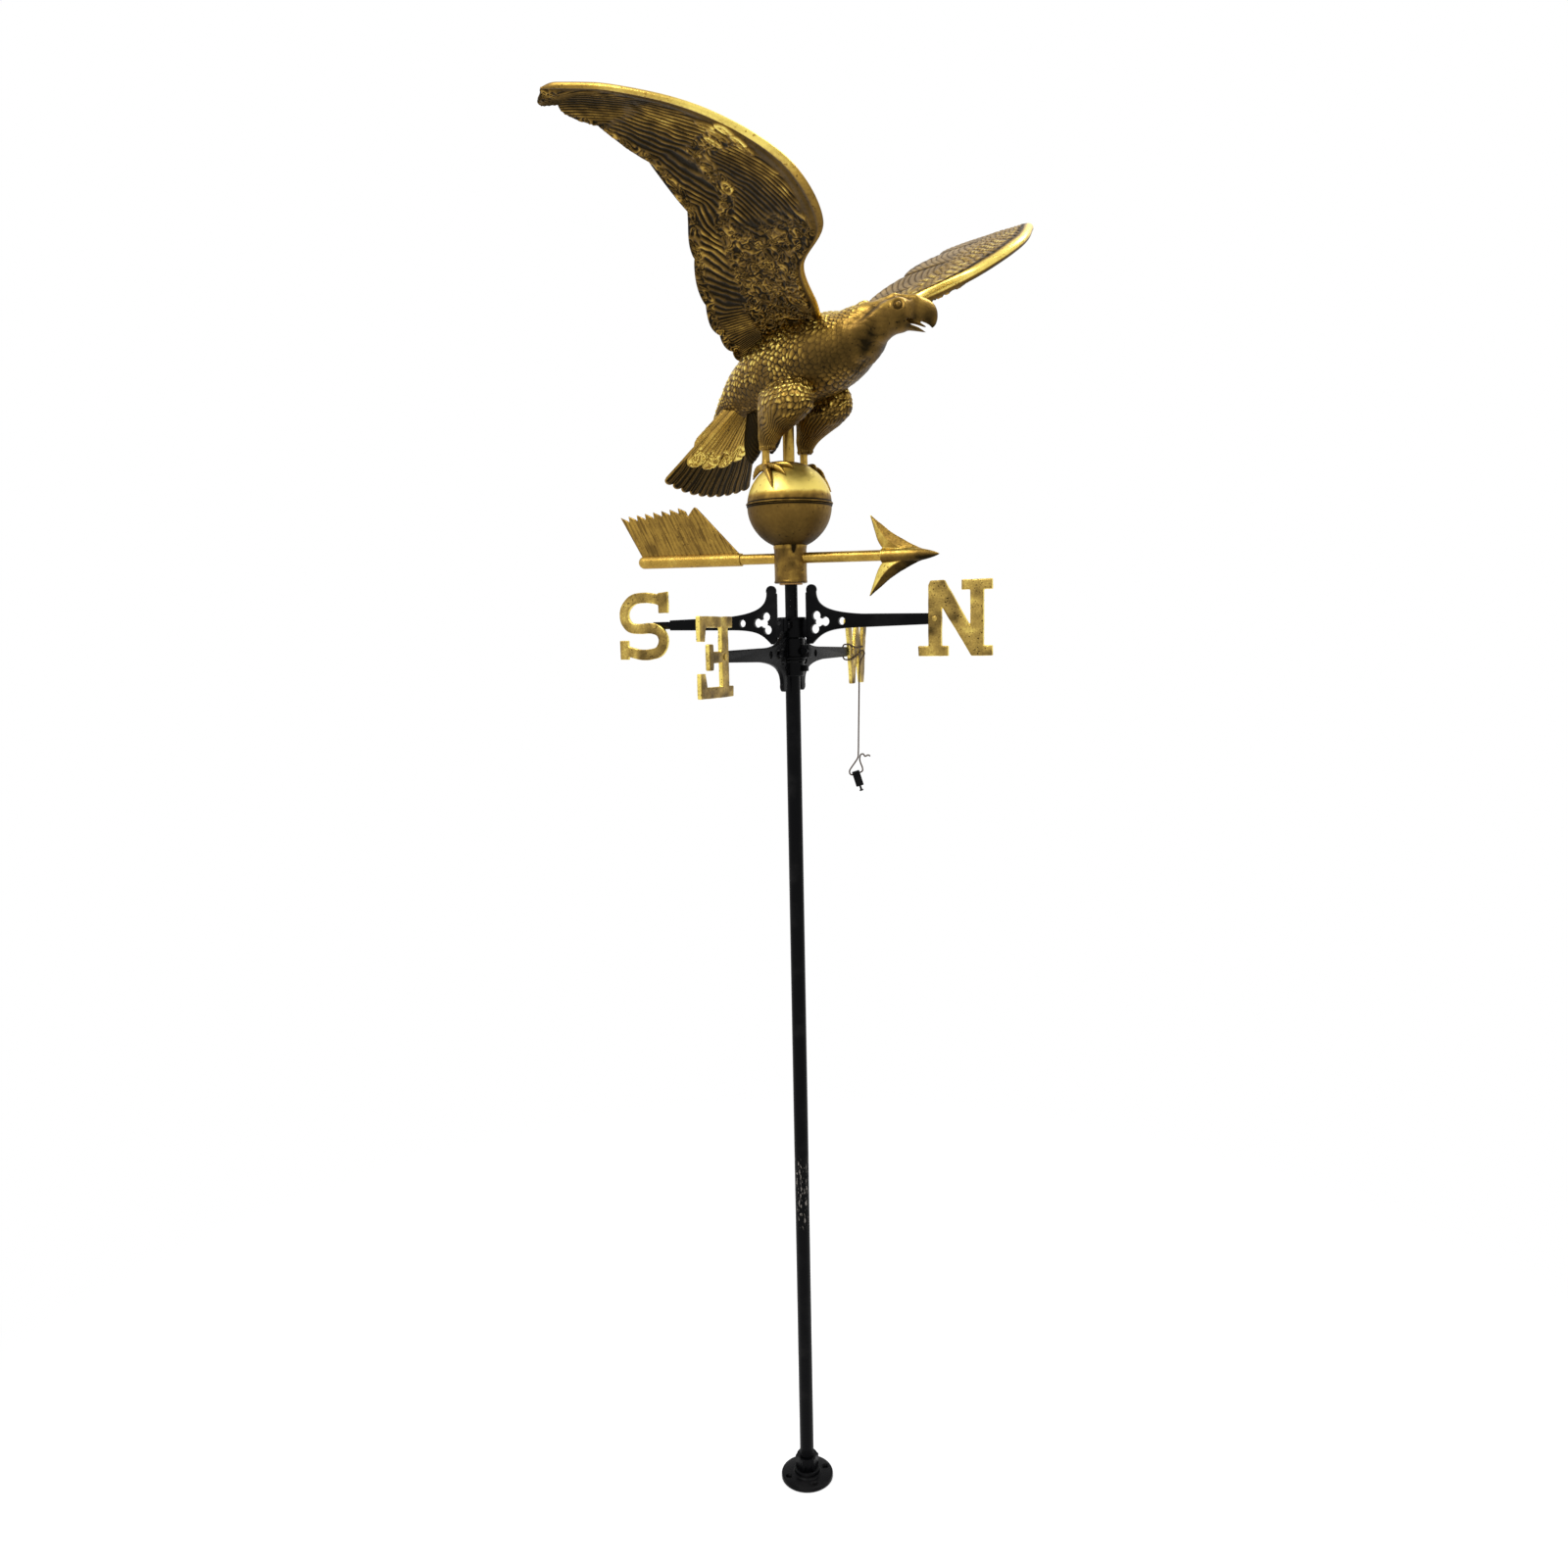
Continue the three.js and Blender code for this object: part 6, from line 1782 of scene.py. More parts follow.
    def build_sleeve(self) -> None:
        """Sleeve over the rear rod, with a domed end and a slot for the fletching."""
        radius, bore, front, rear = self.sleeve / 2, self.rod / 2 + FIT, self.sleeve_front, self.sleeve_rear
        dome = arc((0, rear - radius), radius, radius, 0, QUARTER, 16)
        side = [(radius, x) for x in np.linspace(front + 2, dome[0][1] - 1, 40)]
        profile = [
            (bore, front), (radius - 0.5, front), (radius, front + 0.5), *side, *dome[:-1],
            (0, rear), (0, 236.3),
            (bore, 236.3),
        ]
        form = lathe(profile, 64, ring=True).turned(about("Y", -QUARTER))
        half = self.fletch_thick / 2 + FIT
        slot = block((-self.fletch_rear - FIT, -half, 0), (3 - front, half, self.sleeve), 0.1)
        self.finished(carved(form, slot), "fletching_sleeve", "arrow_sleeve", 50)

    @property
    def pitch(self) -> float:
        """Step from tooth to tooth of the fletching."""
        return (self.fletch_rear_tip - self.last_tooth) / (self.teeth - 1)

    @property
    def lean(self) -> float:
        """How far the teeth lean back, as a share of their height."""
        return (self.fletch_rear_tip - self.fletch_rear) / self.fletch_rear_rise

    def fletch_edge(self) -> list[Place]:
        """Toothed edge of the fletching.

        Returns:
            Its points, from the front of its foot.
        """
        seat, pitch, deep = self.rod / 2 + 2 * FIT, self.pitch, self.tooth_depth
        climb = (self.fletch_rise - self.fletch_rear_rise) / (self.teeth - 1)
        points: list[Place] = [(-self.fletch_front, seat), (-self.fletch_rear, seat)]
        for tooth in range(self.teeth):
            tip, rise = -self.fletch_rear_tip + pitch * tooth, self.fletch_rear_rise + climb * tooth
            points += [
                (tip, rise), (tip + pitch * 0.72 + deep * self.lean * 0.5, rise - deep * 0.45),
                (tip + pitch * 0.8 + deep * self.lean * 0.8, rise - deep),
            ]
        crest, top = -self.crest, self.fletch_rise
        last = ((crest - pitch * 0.55, top - pitch / 4), (crest - pitch * 0.3, top), (crest, top - pitch / 8))
        return [*points, *last]

    def build_fletching(self) -> None:
        """Toothed sheet with embossed barbs that lean with the teeth."""
        sheet = fused([slab(self.fletch_edge(), self.fletch_thick, 0.5)], 0.75, 2)
        x, y, z = sheet.points.T
        lane = (x + self.lean * z) / self.pitch + 0.5
        grain = Grain(self.seed + 1)
        ridge, groove = streaks(lane * 2 + grain.at(sheet.points, 30) * 0.3)
        drawn = np.stack([lane * 16, 0 * lane, z * 0.12], -1)
        streak = smooth(0.12, 0.5, grain.at(drawn, 2.2)) + 0.5 * smooth(0.1, 0.5, grain.at(drawn + 50, 1.2))
        face = np.sign(y) * smooth(0.7, 1.2, np.abs(y))
        sheet.points[:, 1] += face * (ridge - 0.6) * 0.5
        # Painted shade in the grooves between the barbs, with streaks of uneven tone.
        sheet.marks["dark"] = np.clip(0.14 + 0.12 * groove * np.abs(face) + 0.15 * streak, 0, 1)
        self.finished(sheet, "toothed_fletching", "arrow_fletching", 60)


# Eagle


@dataclass
class Eagle:
    """The bird, in its own frame: x forward, y to its left, z up, turned by the heading at the end."""

    heading: float = math.radians(-25)
    body_back: float = 145
    body_length: float = 283
    body_width: float = 108
    body_depth: float = 112
    body_low: float = 1612
    body_rise: float = 78
    feather: float = 7.8
    feathers_round: int = 38
    head_turn: float = math.radians(49)
    head_forward: float = 188
    head_left: float = 26
    eye_height: float = 1710
    head_height: float = 50
    head_width: float = 43
    beak_length: float = 50
    beak_width: float = 22
    voxel: float = 1.0
    neck: Sequence[Place] = (
        (-0.5, -0.34, 0.54, 0.6), (-0.2, -0.2, 0.48, 0.51), (0.1, -0.1, 0.49, 0.48), (0.33, 0, 0.34, 0.36),
        (0.48, 0.05, 0.22, 0.24),
    )
    upper_beak: Sequence[Place] = (
        (0.2, -0.02, 0.31, 0.54), (0.5, -0.04, 0.33, 0.5), (0.76, -0.13, 0.29, 0.42),
        (0.87, -0.28, 0.2, 0.28), (0.91, -0.42, 0.1, 0.15), (0.9, -0.52, 0.015, 0.04),
    )
    lower_beak: Sequence[Place] = (
        (0.04, -0.42, 0.15, 0.5), (0.32, -0.47, 0.09, 0.36), (0.56, -0.53, 0.06, 0.24),
        (0.79, -0.62, 0.015, 0.05),
    )
    furrow: Sequence[Place] = ((-62, -22), (-42, -9), (-33, -3), (-15, 10), (0, 15), (8, 14), (15, 10))
    brow: Sequence[Place] = ((-46, 4), (-30, 12), (-14, 20), (2, 22), (14, 19), (24, 11))
    lip: Sequence[Place] = ((16, -13), (30, -12), (44, -19), (46, -27))
    tongue: Sequence[Place] = (
        (0.12, -0.29, 0.09, 0.34), (0.42, -0.34, 0.055, 0.26), (0.74, -0.48, 0.018, 0.07),
    )
    mouth_edge: Sequence[Place] = (
        (0.15, -0.34), (0.34, -0.31), (0.62, -0.41), (0.8, -0.5), (0.94, -0.62), (0.8, -0.64), (0.54, -0.5),
        (0.3, -0.42),
    )
    body_shares: Sequence[Place] = (
        (0, 0, 0.09, 0.19), (0.12, 0.24, 0.2, 0.3), (0.27, 0.47, 0.34, 0.42), (0.46, 0.62, 0.46, 0.49),
        (0.68, 0.7, 0.49, 0.5), (0.85, 0.75, 0.45, 0.47), (0.94, 0.79, 0.395, 0.42), (1, 0.84, 0.34, 0.36),
    )

    @property
    def parting(self) -> float:
        """Where the body ends and the neck begins, along the body."""
        return self.body_length - self.body_back

    def finished(self, form: Form, name: str, node: str, sharp: float = 180) -> None:
        """Turns a form to the eagle's heading and builds it in gilt.

        Args:
            form: The form in the eagle's own frame.
            name: Name of the piece.
            node: Frame node that it replaces.
            sharp: Edges bent by more than this many degrees stay crisp.
        """
        form.turned(about("Z", self.heading)).build(name, GILT, Body.VANE, node, sharp=sharp)

    def head_place(self, forward: float, up: float) -> Place:
        """A place by the head's own axes, from the eye line."""
        along, left = forward * math.cos(self.head_turn), forward * math.sin(self.head_turn)
        return self.head_forward + along, self.head_left + left, self.eye_height + up

    def head_stations(self, shares: Sequence[Place], width: float) -> list[tuple[Place, float, float]]:
        """Rings by the head's own axes.

        Args:
            shares: Place forward and up, half height and half width of each, in shares.
            width: What the half widths are shares of.

        Returns:
            The rings as limb takes them.
        """
        tall, long = self.head_height, self.beak_length
        return [
            (self.head_place(out * long, up * tall), tall * high, width * wide)
            for out, up, high, wide in shares
        ]

    def body_places(self) -> list[Place]:
        """Reads the body's given rings.

        Returns:
            Their middles, from the tail root to the foot of the neck.
        """
        low, back = self.body_low, self.body_back
        return [
            (along * self.body_length - back, 0, low + rise * self.body_rise)
            for along, rise, _, _ in self.body_shares
        ]

    def body_rings(self) -> Array:
        """Rings of the body from the tail root to the foot of the neck."""
        sizes = [(deep * self.body_depth, wide * self.body_width) for _, _, deep, wide in self.body_shares]
        return limb([(place, *size) for place, size in zip(self.body_places(), sizes)], 96, 120)

    def head_forms(self) -> list[Form]:
        """Neck, upper beak and lower jaw.

        Returns:
            The three closed forms.
        """
        tall, wide, foot = self.head_height, self.head_width, self.parting - self.head_width / 3
        rise = self.body_low + self.body_rise * 0.8
        bend = (foot * 1.18, self.head_left * 0.16, rise * 0.74 + self.eye_height * 0.26)
        neck = [((foot, 0, rise), tall * 0.77, wide * 0.91), (bend, tall * 0.74, wide * 0.88)]
        neck += self.head_stations(self.neck, wide)
        beak = [self.head_stations(shares, self.beak_width) for shares in (self.upper_beak, self.lower_beak)]
        return [grid(limb(stations, 64, 60)) for stations in (neck, *beak)]

    def mouth(self) -> Form:
        """Draws the gap between the beak and the jaw.

        Returns:
            The closed form to be cut away.
        """
        outline = [(out * self.beak_length, up * self.head_height) for out, up in self.mouth_edge]
        eye = Matrix.Translation((self.head_forward, self.head_left, self.eye_height))
        return slab(outline, 2 * self.head_width, 0.4).turned(eye @ about("Z", self.head_turn))

    def build(self) -> None:
        """Body and head as one sculpted skin, parted into the two pressed halves of the body and the head."""
        skin = fused([grid(self.body_rings()), *self.head_forms()], self.voxel, 3)
        tongue = grid(limb(self.head_stations(self.tongue, self.beak_width), 20, 20))
        skin = fused([carved(skin, self.mouth()), tongue], self.voxel * 0.9, 2)
        near_neck = hump(skin.points[:, 0] - self.parting + 6, 34) * (skin.points[:, 0] < self.parting + 60)
        skin = relaxed(skin, 60, 0.7 * near_neck)
        normals = normals_of(skin)
        height, dark = self.plumage(skin.points, normals)
        skin.points += normals * height[:, None]
        skin.marks = {"dark": held(dark)}
        turn, back = about("Z", self.heading), (math.cos(-self.heading), math.sin(-self.heading))
        shading = normals_of(skin) @ np.array(turn.to_3x3()).T
        skin = skin.turned(turn)
        x, y, _ = np.array([skin.points[list(face)].mean(0) for face in skin.faces]).T
        ahead, left = x * back[0] - y * back[1] > self.parting, x * back[1] + y * back[0] >= 0
        for name, chosen, node in (
            ("eagle_head", ahead, "head"), ("body_half_right", ~ahead & ~left, "body_right"),
            ("body_half_left", ~ahead & left, "body_left"),
        ):
            piece, directions = part_of(skin, chosen, shading)
            piece.build(name, GILT, Body.VANE, node, normals=directions)

    def plumage(self, points: Array, normals: Array) -> tuple[Array, Array]:
        """Relief of the body and head.

        Args:
            points: Places on the smooth skin.
            normals: Directions square to it.

        Returns:
            How far each point stands proud, and how dark the gilding is there.
        """
        x, y, z = points.T
        grain, parting, facing = Grain(3), self.parting, normals[:, 2]
        wander, jolt, lump = grain.at(points, 22), grain.at(points + 900, 10), grain.at(points + 700, 5.5)
        spine = spline(self.body_places(), np.linspace(0, 1, 60))
        angle = np.arctan2(y, z - np.interp(x, spine[:, 0], spine[:, 2]))
        rows = (self.body_length - x) / self.feather + 0.9 * wander + 0.3 * jolt
        columns = angle * self.feathers_round / TURN + 0.6 * grain.at(points + 500, 17)
        columns += 0.25 * grain.at(points + 300, 8)
        tile, shade = scales(rows, columns)
        on_body = smooth(parting + 40, parting - 6, x)
        belly = smooth(-0.75, -0.1, facing)
        throat = smooth(parting - 82, parting - 30, x) * smooth(0.62, 0.2, facing) * smooth(-0.95, -0.6, facing)
        amount = on_body * (0.45 + 0.55 * belly) * (1 - 0.85 * throat) * (0.8 + 0.2 * wander)
        height = (2.4 * (tile - 0.3) + 1.1 * lump) * amount
        # Painted highlights on the feather tips and painted shade under them and between the feathers.
        tips = smooth(0.45, 0.85, tile) * smooth(-0.35, 0.35, lump + 0.5 * wander)
        dark = (0.85 * shade + 0.44 * smooth(0.5, 0.1, tile) - 0.65 * tips - 0.1 * lump) * amount
        seam = hump(y, 0.7) * on_body
        height -= 0.4 * seam
        # Painted shade at the throat and on faces turned down, painted light on faces turned up; the seam
        # between the halves is a dark joint.
        dark += 0.3 * seam + 0.14 * throat + 0.08 + shade_facing_down(normals, 0.3) - 0.2 * smooth(0.55, 0.95, facing)
        cos, sin = math.cos(self.head_turn), math.sin(self.head_turn)
        ahead, left = x - self.head_forward, y - self.head_left
        forward = ahead * cos + left * sin
        on_head = smooth(-75, -40, forward) * smooth(parting - 10, parting + 20, x)
        head_height, head_dark = self.face(forward, z - self.eye_height, left * cos - ahead * sin, points)
        return height + head_height * on_head, dark + head_dark * on_head

    def face(self, forward: Array, up: Array, side: Array, points: Array) -> tuple[Array, Array]:
        """Brow, eye, cheek and beak relief by the head's own axes.

        Args:
            forward: Distance ahead of the eye.
            up: Height over the eye.
            side: Distance from the middle of the head.
            points: The places themselves.

        Returns:
            How far each point stands proud, and how much darker the gilding is there.
        """
        flank = smooth(3, 9, np.abs(side))
        wide = np.interp(forward, [-60, -40, -10, 15], [6, 5.5, 3.6, 2.6])
        groove = hump(distance_to(self.furrow, forward, up), wide) * flank
        brow = hump(distance_to(self.brow, forward, up), 4.8) * smooth(0, 6, np.abs(side))
        height = 2.8 * brow - 3.2 * groove
        # Painted shade in the furrow by the eye.
        dark = 0.34 * groove * smooth(-52, -28, forward)
        radius = np.hypot(forward, up)
        height += flank * (2.2 * np.sqrt(np.clip(1 - (radius / 4) ** 2, 0, 1)) - 1.3 * hump(radius - 5.3, 1.5))
        height += flank * 0.7 * hump(radius - 8.5, 1.9)
        # Painted shade in the groove round the eye.
        dark += 0.3 * flank * hump(radius - 5.2, 1.3)
        grain = Grain(9)
        bent = points + 3 * grain.at(points, 20)[:, None]
        strand, gap = streaks((up + 0.22 * forward) / 9 + grain.at(bent, 16) * 0.8)
        hairy = smooth(-2, -24, forward)
        lump = grain.at(points, 17)
        height += (0.5 * strand + 2.0 * lump) * hairy
        # Painted shade between the head's strands and painted light on its lumps, with uneven tone.
        dark += 0.08 * gap * hairy + 0.1 * grain.at(points, 9) - 0.18 * lump
        height += 0.7 * hump(distance_to(self.lip, forward, up), 1.6) * flank
        return height, dark


@dataclass
class Wing:
    """One hollow pressed wing with a rolled leading edge and relief on both faces."""

    eagle: Eagle
    side: int
    reach_share: float = 1.0
    size: float = 1.0
    lobe: float = 9
    nose: float = 0
    tip: float = 11
    reach: float = 250
    span: float = 430
    root_height: float = 1700
    rise: float = 215
    thick: float = 15
    camber: float = 14
    lobes: int = 9
    stations: int = 600
    columns: int = 166
    leading: Sequence[Place] = (
        (0.42, 0.07, 0.04), (0.49, 0.12, 0.075), (0.66, 0.26, 0.2), (0.955, 0.34, 0.32), (1.035, 0.49, 0.525),
        (0.87, 0.667, 0.74), (0.597, 0.85, 0.873), (0.33, 0.973, 0.93),
    )
    trailing: Sequence[Place] = (
        (-0.29, 0.05, -0.07), (-0.25, 0.12, -0.01), (-0.16, 0.23, 0.1), (0.03, 0.37, 0.34),
        (0.25, 0.5, 0.565), (0.292, 0.705, 0.785), (0.236, 0.875, 0.895), (0.271, 0.961, 0.922),
    )
    band: Sequence[Place] = (
        (0.66, 0.18), (0.655, 0.4), (0.645, 0.58), (0.6, 0.61), (0.56, 0.62), (0.5, 0.72), (0.455, 0.7),
        (0.41, 0.67), (0.35, 0.62), (0.31, 0.6), (0.2, 0.6), (0, 0.6),
    )
    curl_size: float = 6.2
    barb: float = 7.5
    barb_thin: float = 0.26
    run: float = 520
    chord: float = 150
    profile: Sequence[Place] = (
        (0, 1), (0.07, 1), (0.14, 0.9), (0.2, 0.76), (0.3, 0.62), (0.4, 0.56), (0.65, 0.42), (0.88, 0.26),
        (1, 0.12),
    )
    slope: Sequence[Place] = (
        (0, 0.02), (0.1, 0.05), (0.2, 0.15), (0.3, 0.28), (0.4, 0.34), (0.5, 0.5), (0.6, 0.65), (0.7, 0.75),
        (0.78, 0.5),
    )
    # Painted highlight and shade along the leading edge of the near wing, by share of span.
    nose_painted_light: Sequence[Place] = (
        (0, -0.15), (0.15, -0.12), (0.3, 0), (0.42, 0.3), (0.5, 0.15), (0.58, -0.15), (0.66, -0.36),
        (0.78, -0.24), (0.9, 0.02), (1, 0.3),
    )
    # Painted highlight along the leading edge of the far wing.
    far_nose_painted_light: Sequence[Place] = ((0, -0.36), (0.9, -0.3), (0.96, -0.05))
    knot_places: Sequence[Place] = (
        (0.695, 0.2, 5.5), (0.675, 0.12, 5), (0.665, 0.24, 6), (0.645, 0.15, 5), (0.625, 0.18, 4.5),
        (0.655, 0.36, 4.5), (0.565, 0.6, 6.5),
    )

    def edge(self, shares: Sequence[Place], at: Array) -> tuple[Array, Array]:
        """Points and directions along a leading or trailing edge.

        Args:
            shares: Its given places, in shares of reach, span and rise.
            at: Where to read it, from 0 at the root.

        Returns:
            The points and the directions.
        """
        size = np.array([self.reach, self.side * self.span, self.rise])
        places = np.array(shares) * size * self.size + [0, 0, self.root_height]
        return spline(places, at), way_along(places, at)

    def section(self, chord: Array) -> Array:
        """Half thickness across the chord, in shares of the greatest."""
        nose = np.sqrt(np.clip(1 - (1 - np.clip(chord / 0.07, 0, 1)) ** 2, 0, 1))
        return nose * np.interp(chord, *zip(*self.profile))

    def build(self) -> None:
        """Builds the wing."""
        span = np.linspace(0, self.reach_share, self.stations)
        front, front_way = self.edge(self.leading, span)
        back, back_way = self.edge(self.trailing, span)
        front[:, 0] += self.nose * smooth(0.2, 0.6, span)
        back[:, 2] += 0.7 * self.nose * smooth(0.3, 0.6, span)
        chord_way = back - front
        length = np.linalg.norm(chord_way, axis=1)
        normal = unit(np.cross(chord_way, front_way + back_way))
        normal *= np.where(normal[:, 2:] < 0, -1.0, 1.0)
        beat = (span / self.reach_share * self.lobes) % 1
        lobe = self.lobe * (0.7 + 0.5 * span) * np.sin(np.pi * beat) ** 0.8 * (1.12 - 0.4 * beat)
        lobe = lobe + self.tip * smooth(0.885, 0.93, span) * smooth(1.02, 0.97, span)
        back = back + unit(chord_way) * lobe[:, None]
        even = np.linspace(0, 1, self.columns)
        chord = 0.45 * even + 0.55 * (1 - np.cos(np.pi * even)) / 2
        chord[0], chord[-1] = 0, 1
        s, c = np.meshgrid(span, chord, indexing="ij")
        bow = self.camber * 4 * c * (1 - c) * (1 - s * s)
        half = self.thick / 2 * (1 - 0.55 * s) * self.section(c)
        middle = front[:, None] * (1 - c[..., None]) + back[:, None] * c[..., None]
        middle += normal[:, None] * bow[..., None]
        faces, darks = [], []
        for face, relief in ((1, self.upper_relief), (-1, self.under_relief)):
            base = middle + face * normal[:, None] * half[..., None]
            facing = grid_normals(base, wrap=False)
            facing *= np.sign((facing * face * normal[:, None]).sum(-1))[..., None]
            height, dark = relief(s, c, length[:, None] + 0 * c, base)
            shell = base + facing * (height * smooth(0, 0.02, c) * smooth(1.0, 0.985, c))[..., None]
            order = slice(None) if face > 0 else slice(-2, 0, -1)
            faces.append(shell[:, order])
            darks.append(held(dark)[:, order])
        points = self.rounded_tip(np.concatenate(faces, 1), span)
        form = grid(points, marks={"dark": np.concatenate(darks, 1)})
        name = "right" if self.side < 0 else "left"
        self.eagle.finished(form, f"feathered_wing_{name}", f"wing_{name}")

    def rounded_tip(self, points: Array, span: Array) -> Array:
        """The rings drawn in towards their middle at the end of the wing.

        Args:
            points: Rows of rings, as rows x columns x 3.
            span: Share along the span of each row.

        Returns:
            The rings.
        """
        close = smooth(self.reach_share - 0.035, self.reach_share, span)
        size = np.sqrt(np.clip(1 - close**2 * 0.93, 0, 1))
        centre = points.mean(1, keepdims=True)
        return centre + (points - centre) * size[:, None, None]

    def under_relief(self, s: Array, c: Array, length: Array, base: Array) -> tuple[Array, Array]:
        """Relief of the under face: thin long barbs, and curled ones inward, on the band and at the rear edge.

        Args:
            s: Share along the span.
            c: Share across the chord from the leading edge.
            length: Chord in millimetres.
            base: Places on the smooth face.

        Returns:
            How far each point stands proud, and how dark the gilding is there.
        """
        grain, thin, edge = Grain(31 + self.side), self.barb_thin, c * length
        wander, fine = grain.at(base, 26), grain.at(base, 9)
        along = np.linspace(0, 2.2, 400)
        slope = np.interp(along, *zip(*self.slope))
        passed = np.concatenate([[0], np.cumsum((along[1] - along[0]) / slope[:-1])])
        rooted = np.interp(np.interp(s, along, passed) + 1 - c, passed, along)
        lane = np.interp(rooted, [0, 0.3, 0.45, 0.6, 2.2], [0, 20.4, 27.9, 33.3, 81.3])
        long = strands(lane + 0.5 * wander + 0.18 * fine, thin)
        back = (s - 1) * self.run
        outer = strands((0.93 * edge - 0.3 * back) / self.barb + 0.45 * wander + 0.12 * fine, thin)
        far = smooth(0.74, 0.82, s)
        long = long * (1 - far) + outer * far
        second = strands((0.9 * edge - 0.42 * back) / self.barb + 0.5 * wander, thin)
        curl = curls(grain, base, self.curl_size)
        band_span, band_chord = (np.array(side) for side in zip(*self.band))
        band = list(zip(band_span * self.run, band_chord * self.chord))
        away = distance_to(band, s * self.run, c * self.chord)
        middle = np.interp(s, band_span[::-1], band_chord[::-1])
        inner = smooth(0.5, 0.42, s) * smooth(middle + 0.03, middle - 0.03, c)
        strip = smooth(0.89, 0.93, c + 0.03 * wander) * smooth(0.86, 0.8, s)
        curly = np.clip(np.maximum.reduce([smooth(14, 7, away), inner, strip, smooth(0.93, 0.96, s)]), 0, 1)
        upper = smooth(0.46, 0.5, s) * smooth(0.66, 0.63, s) * smooth(middle, middle - 0.08, c)
        line = (long * (1 - upper) + second * upper) * (1 - curly) + 0.85 * curl * curly
        rim = np.interp(s, [0, 0.4, 0.47, 0.6, 0.8, 0.93, 1], [7, 8, 24, 26, 20, 14, 3])
        relief = smooth(rim, rim + 5, edge)
        knot = self.knot(s, c, length)
        line = np.maximum(line * relief, np.minimum(knot, 1))
        roll = np.interp(s, [0, 0.35, 0.5, 0.65, 0.9, 1], [5, 6, 9, 9, 6, 4])
        height = 2.3 * line + 0.9 * np.maximum(knot - 1, 0)
        height -= 1.6 * hump(edge - roll - 4, 3.5) * smooth(0.02, 0.2, s)
        # Painted shade: the under face is dark all over and darkest in the valleys, with painted highlights on
        # the barb ridges.
        dark = 0.46 + 0.3 * relief + 0.08 * wander - 0.94 * line * (0.8 + 0.4 * fine)
        # Along the near wing's leading edge the under face takes the painted highlight and shade of the edge.
        lit = 1 - smooth(roll - 3, roll + 2.5, edge) if self.side < 0 else 0 * edge
        return height, dark * (1 - lit) + self.nose_light_and_shade(s) * lit

    def upper_relief(self, s: Array, c: Array, length: Array, base: Array) -> tuple[Array, Array]:
        """Relief of the upper face: rows of small feathers forward and long smooth ones behind.

        Args:
            s: Share along the span.
            c: Share across the chord from the leading edge.
            length: Chord in millimetres.
            base: Places on the smooth face.

        Returns:
            How far each point stands proud, and how dark the gilding is there.
        """
        grain = Grain(36 + self.side)
        wander, fine = grain.at(base, 26), grain.at(base, 9)
        beat = (s / self.reach_share * self.lobes) % 1
        long, groove = streaks((s + 0.3 * (1 - c)) * 60 + 0.3 * wander)
        tile, shade = scales(c * length / 8 + 0.5 * wander, s * 56 + 0.45 * grain.at(base + 300, 13))
        patchy = 0.55 + 0.45 * smooth(-0.3, 0.2, wander)
        small = smooth(0.6, 0.46, c + 0.08 * wander) * smooth(0.9, 0.78, s) * patchy
        edge = c * length
        relief = smooth(9, 16, edge)
        step = hump(np.minimum(beat, 1 - beat), 0.05) * smooth(0.45, 0.7, c)
        height = relief * (2.2 * (tile - 0.2) * small + 0.9 * long * (1 - small)) - 1.6 * step
        # Painted highlights on the feather tips; painted shade under the tips, in the grooves, at the steps
        # between lobes and in a line behind the leading edge.
        tips = smooth(0.45, 0.85, tile) * smooth(-0.3, 0.3, fine)
        dark = 0.04 + 0.12 * wander + relief * small * (0.6 * shade + 0.3 * smooth(0.5, 0.1, tile) - 0.5 * tips)
        dark += relief * (1 - small) * (0.34 * groove + 0.05) + 0.4 * step + 0.1 * fine
        dark += 0.1 + 0.45 * hump(edge - 15, 4) * smooth(0.2, 0.4, s)
        return height, dark * smooth(6, 12, edge) + self.nose_light_and_shade(s) * (1 - smooth(6, 12, edge))

    def nose_light_and_shade(self, s: Array) -> Array:
        """Painted light on the leading edge along the span: painted shade above 0, a painted highlight below 0.
        """
        return np.interp(s, *zip(*(self.far_nose_painted_light if self.side > 0 else self.nose_painted_light)))

    def knot(self, s: Array, c: Array, length: Array) -> Array:
        """Curled feathers at the bend of the wing, on the under face.

        Args:
            s: Share along the span.
            c: Share across the chord from the leading edge.
            length: Chord in millimetres.

        Returns:
            Height from 0 to 2.
        """
        total = np.zeros_like(s)
        for at_s, at_c, radius in self.knot_places:
            along, across = (s - at_s) * self.run, (c - at_c) * length
            away = np.hypot(along * 0.8, across * 1.2) + 1.3 * np.sin(2 * np.arctan2(across, along) + 5 * radius)
            total = np.maximum(total * smooth(radius + 1, radius + 3, away), 2 * hump(away - radius, 1.5))
            total = np.maximum(total, 1.7 * hump(away, 1.5))
        return total


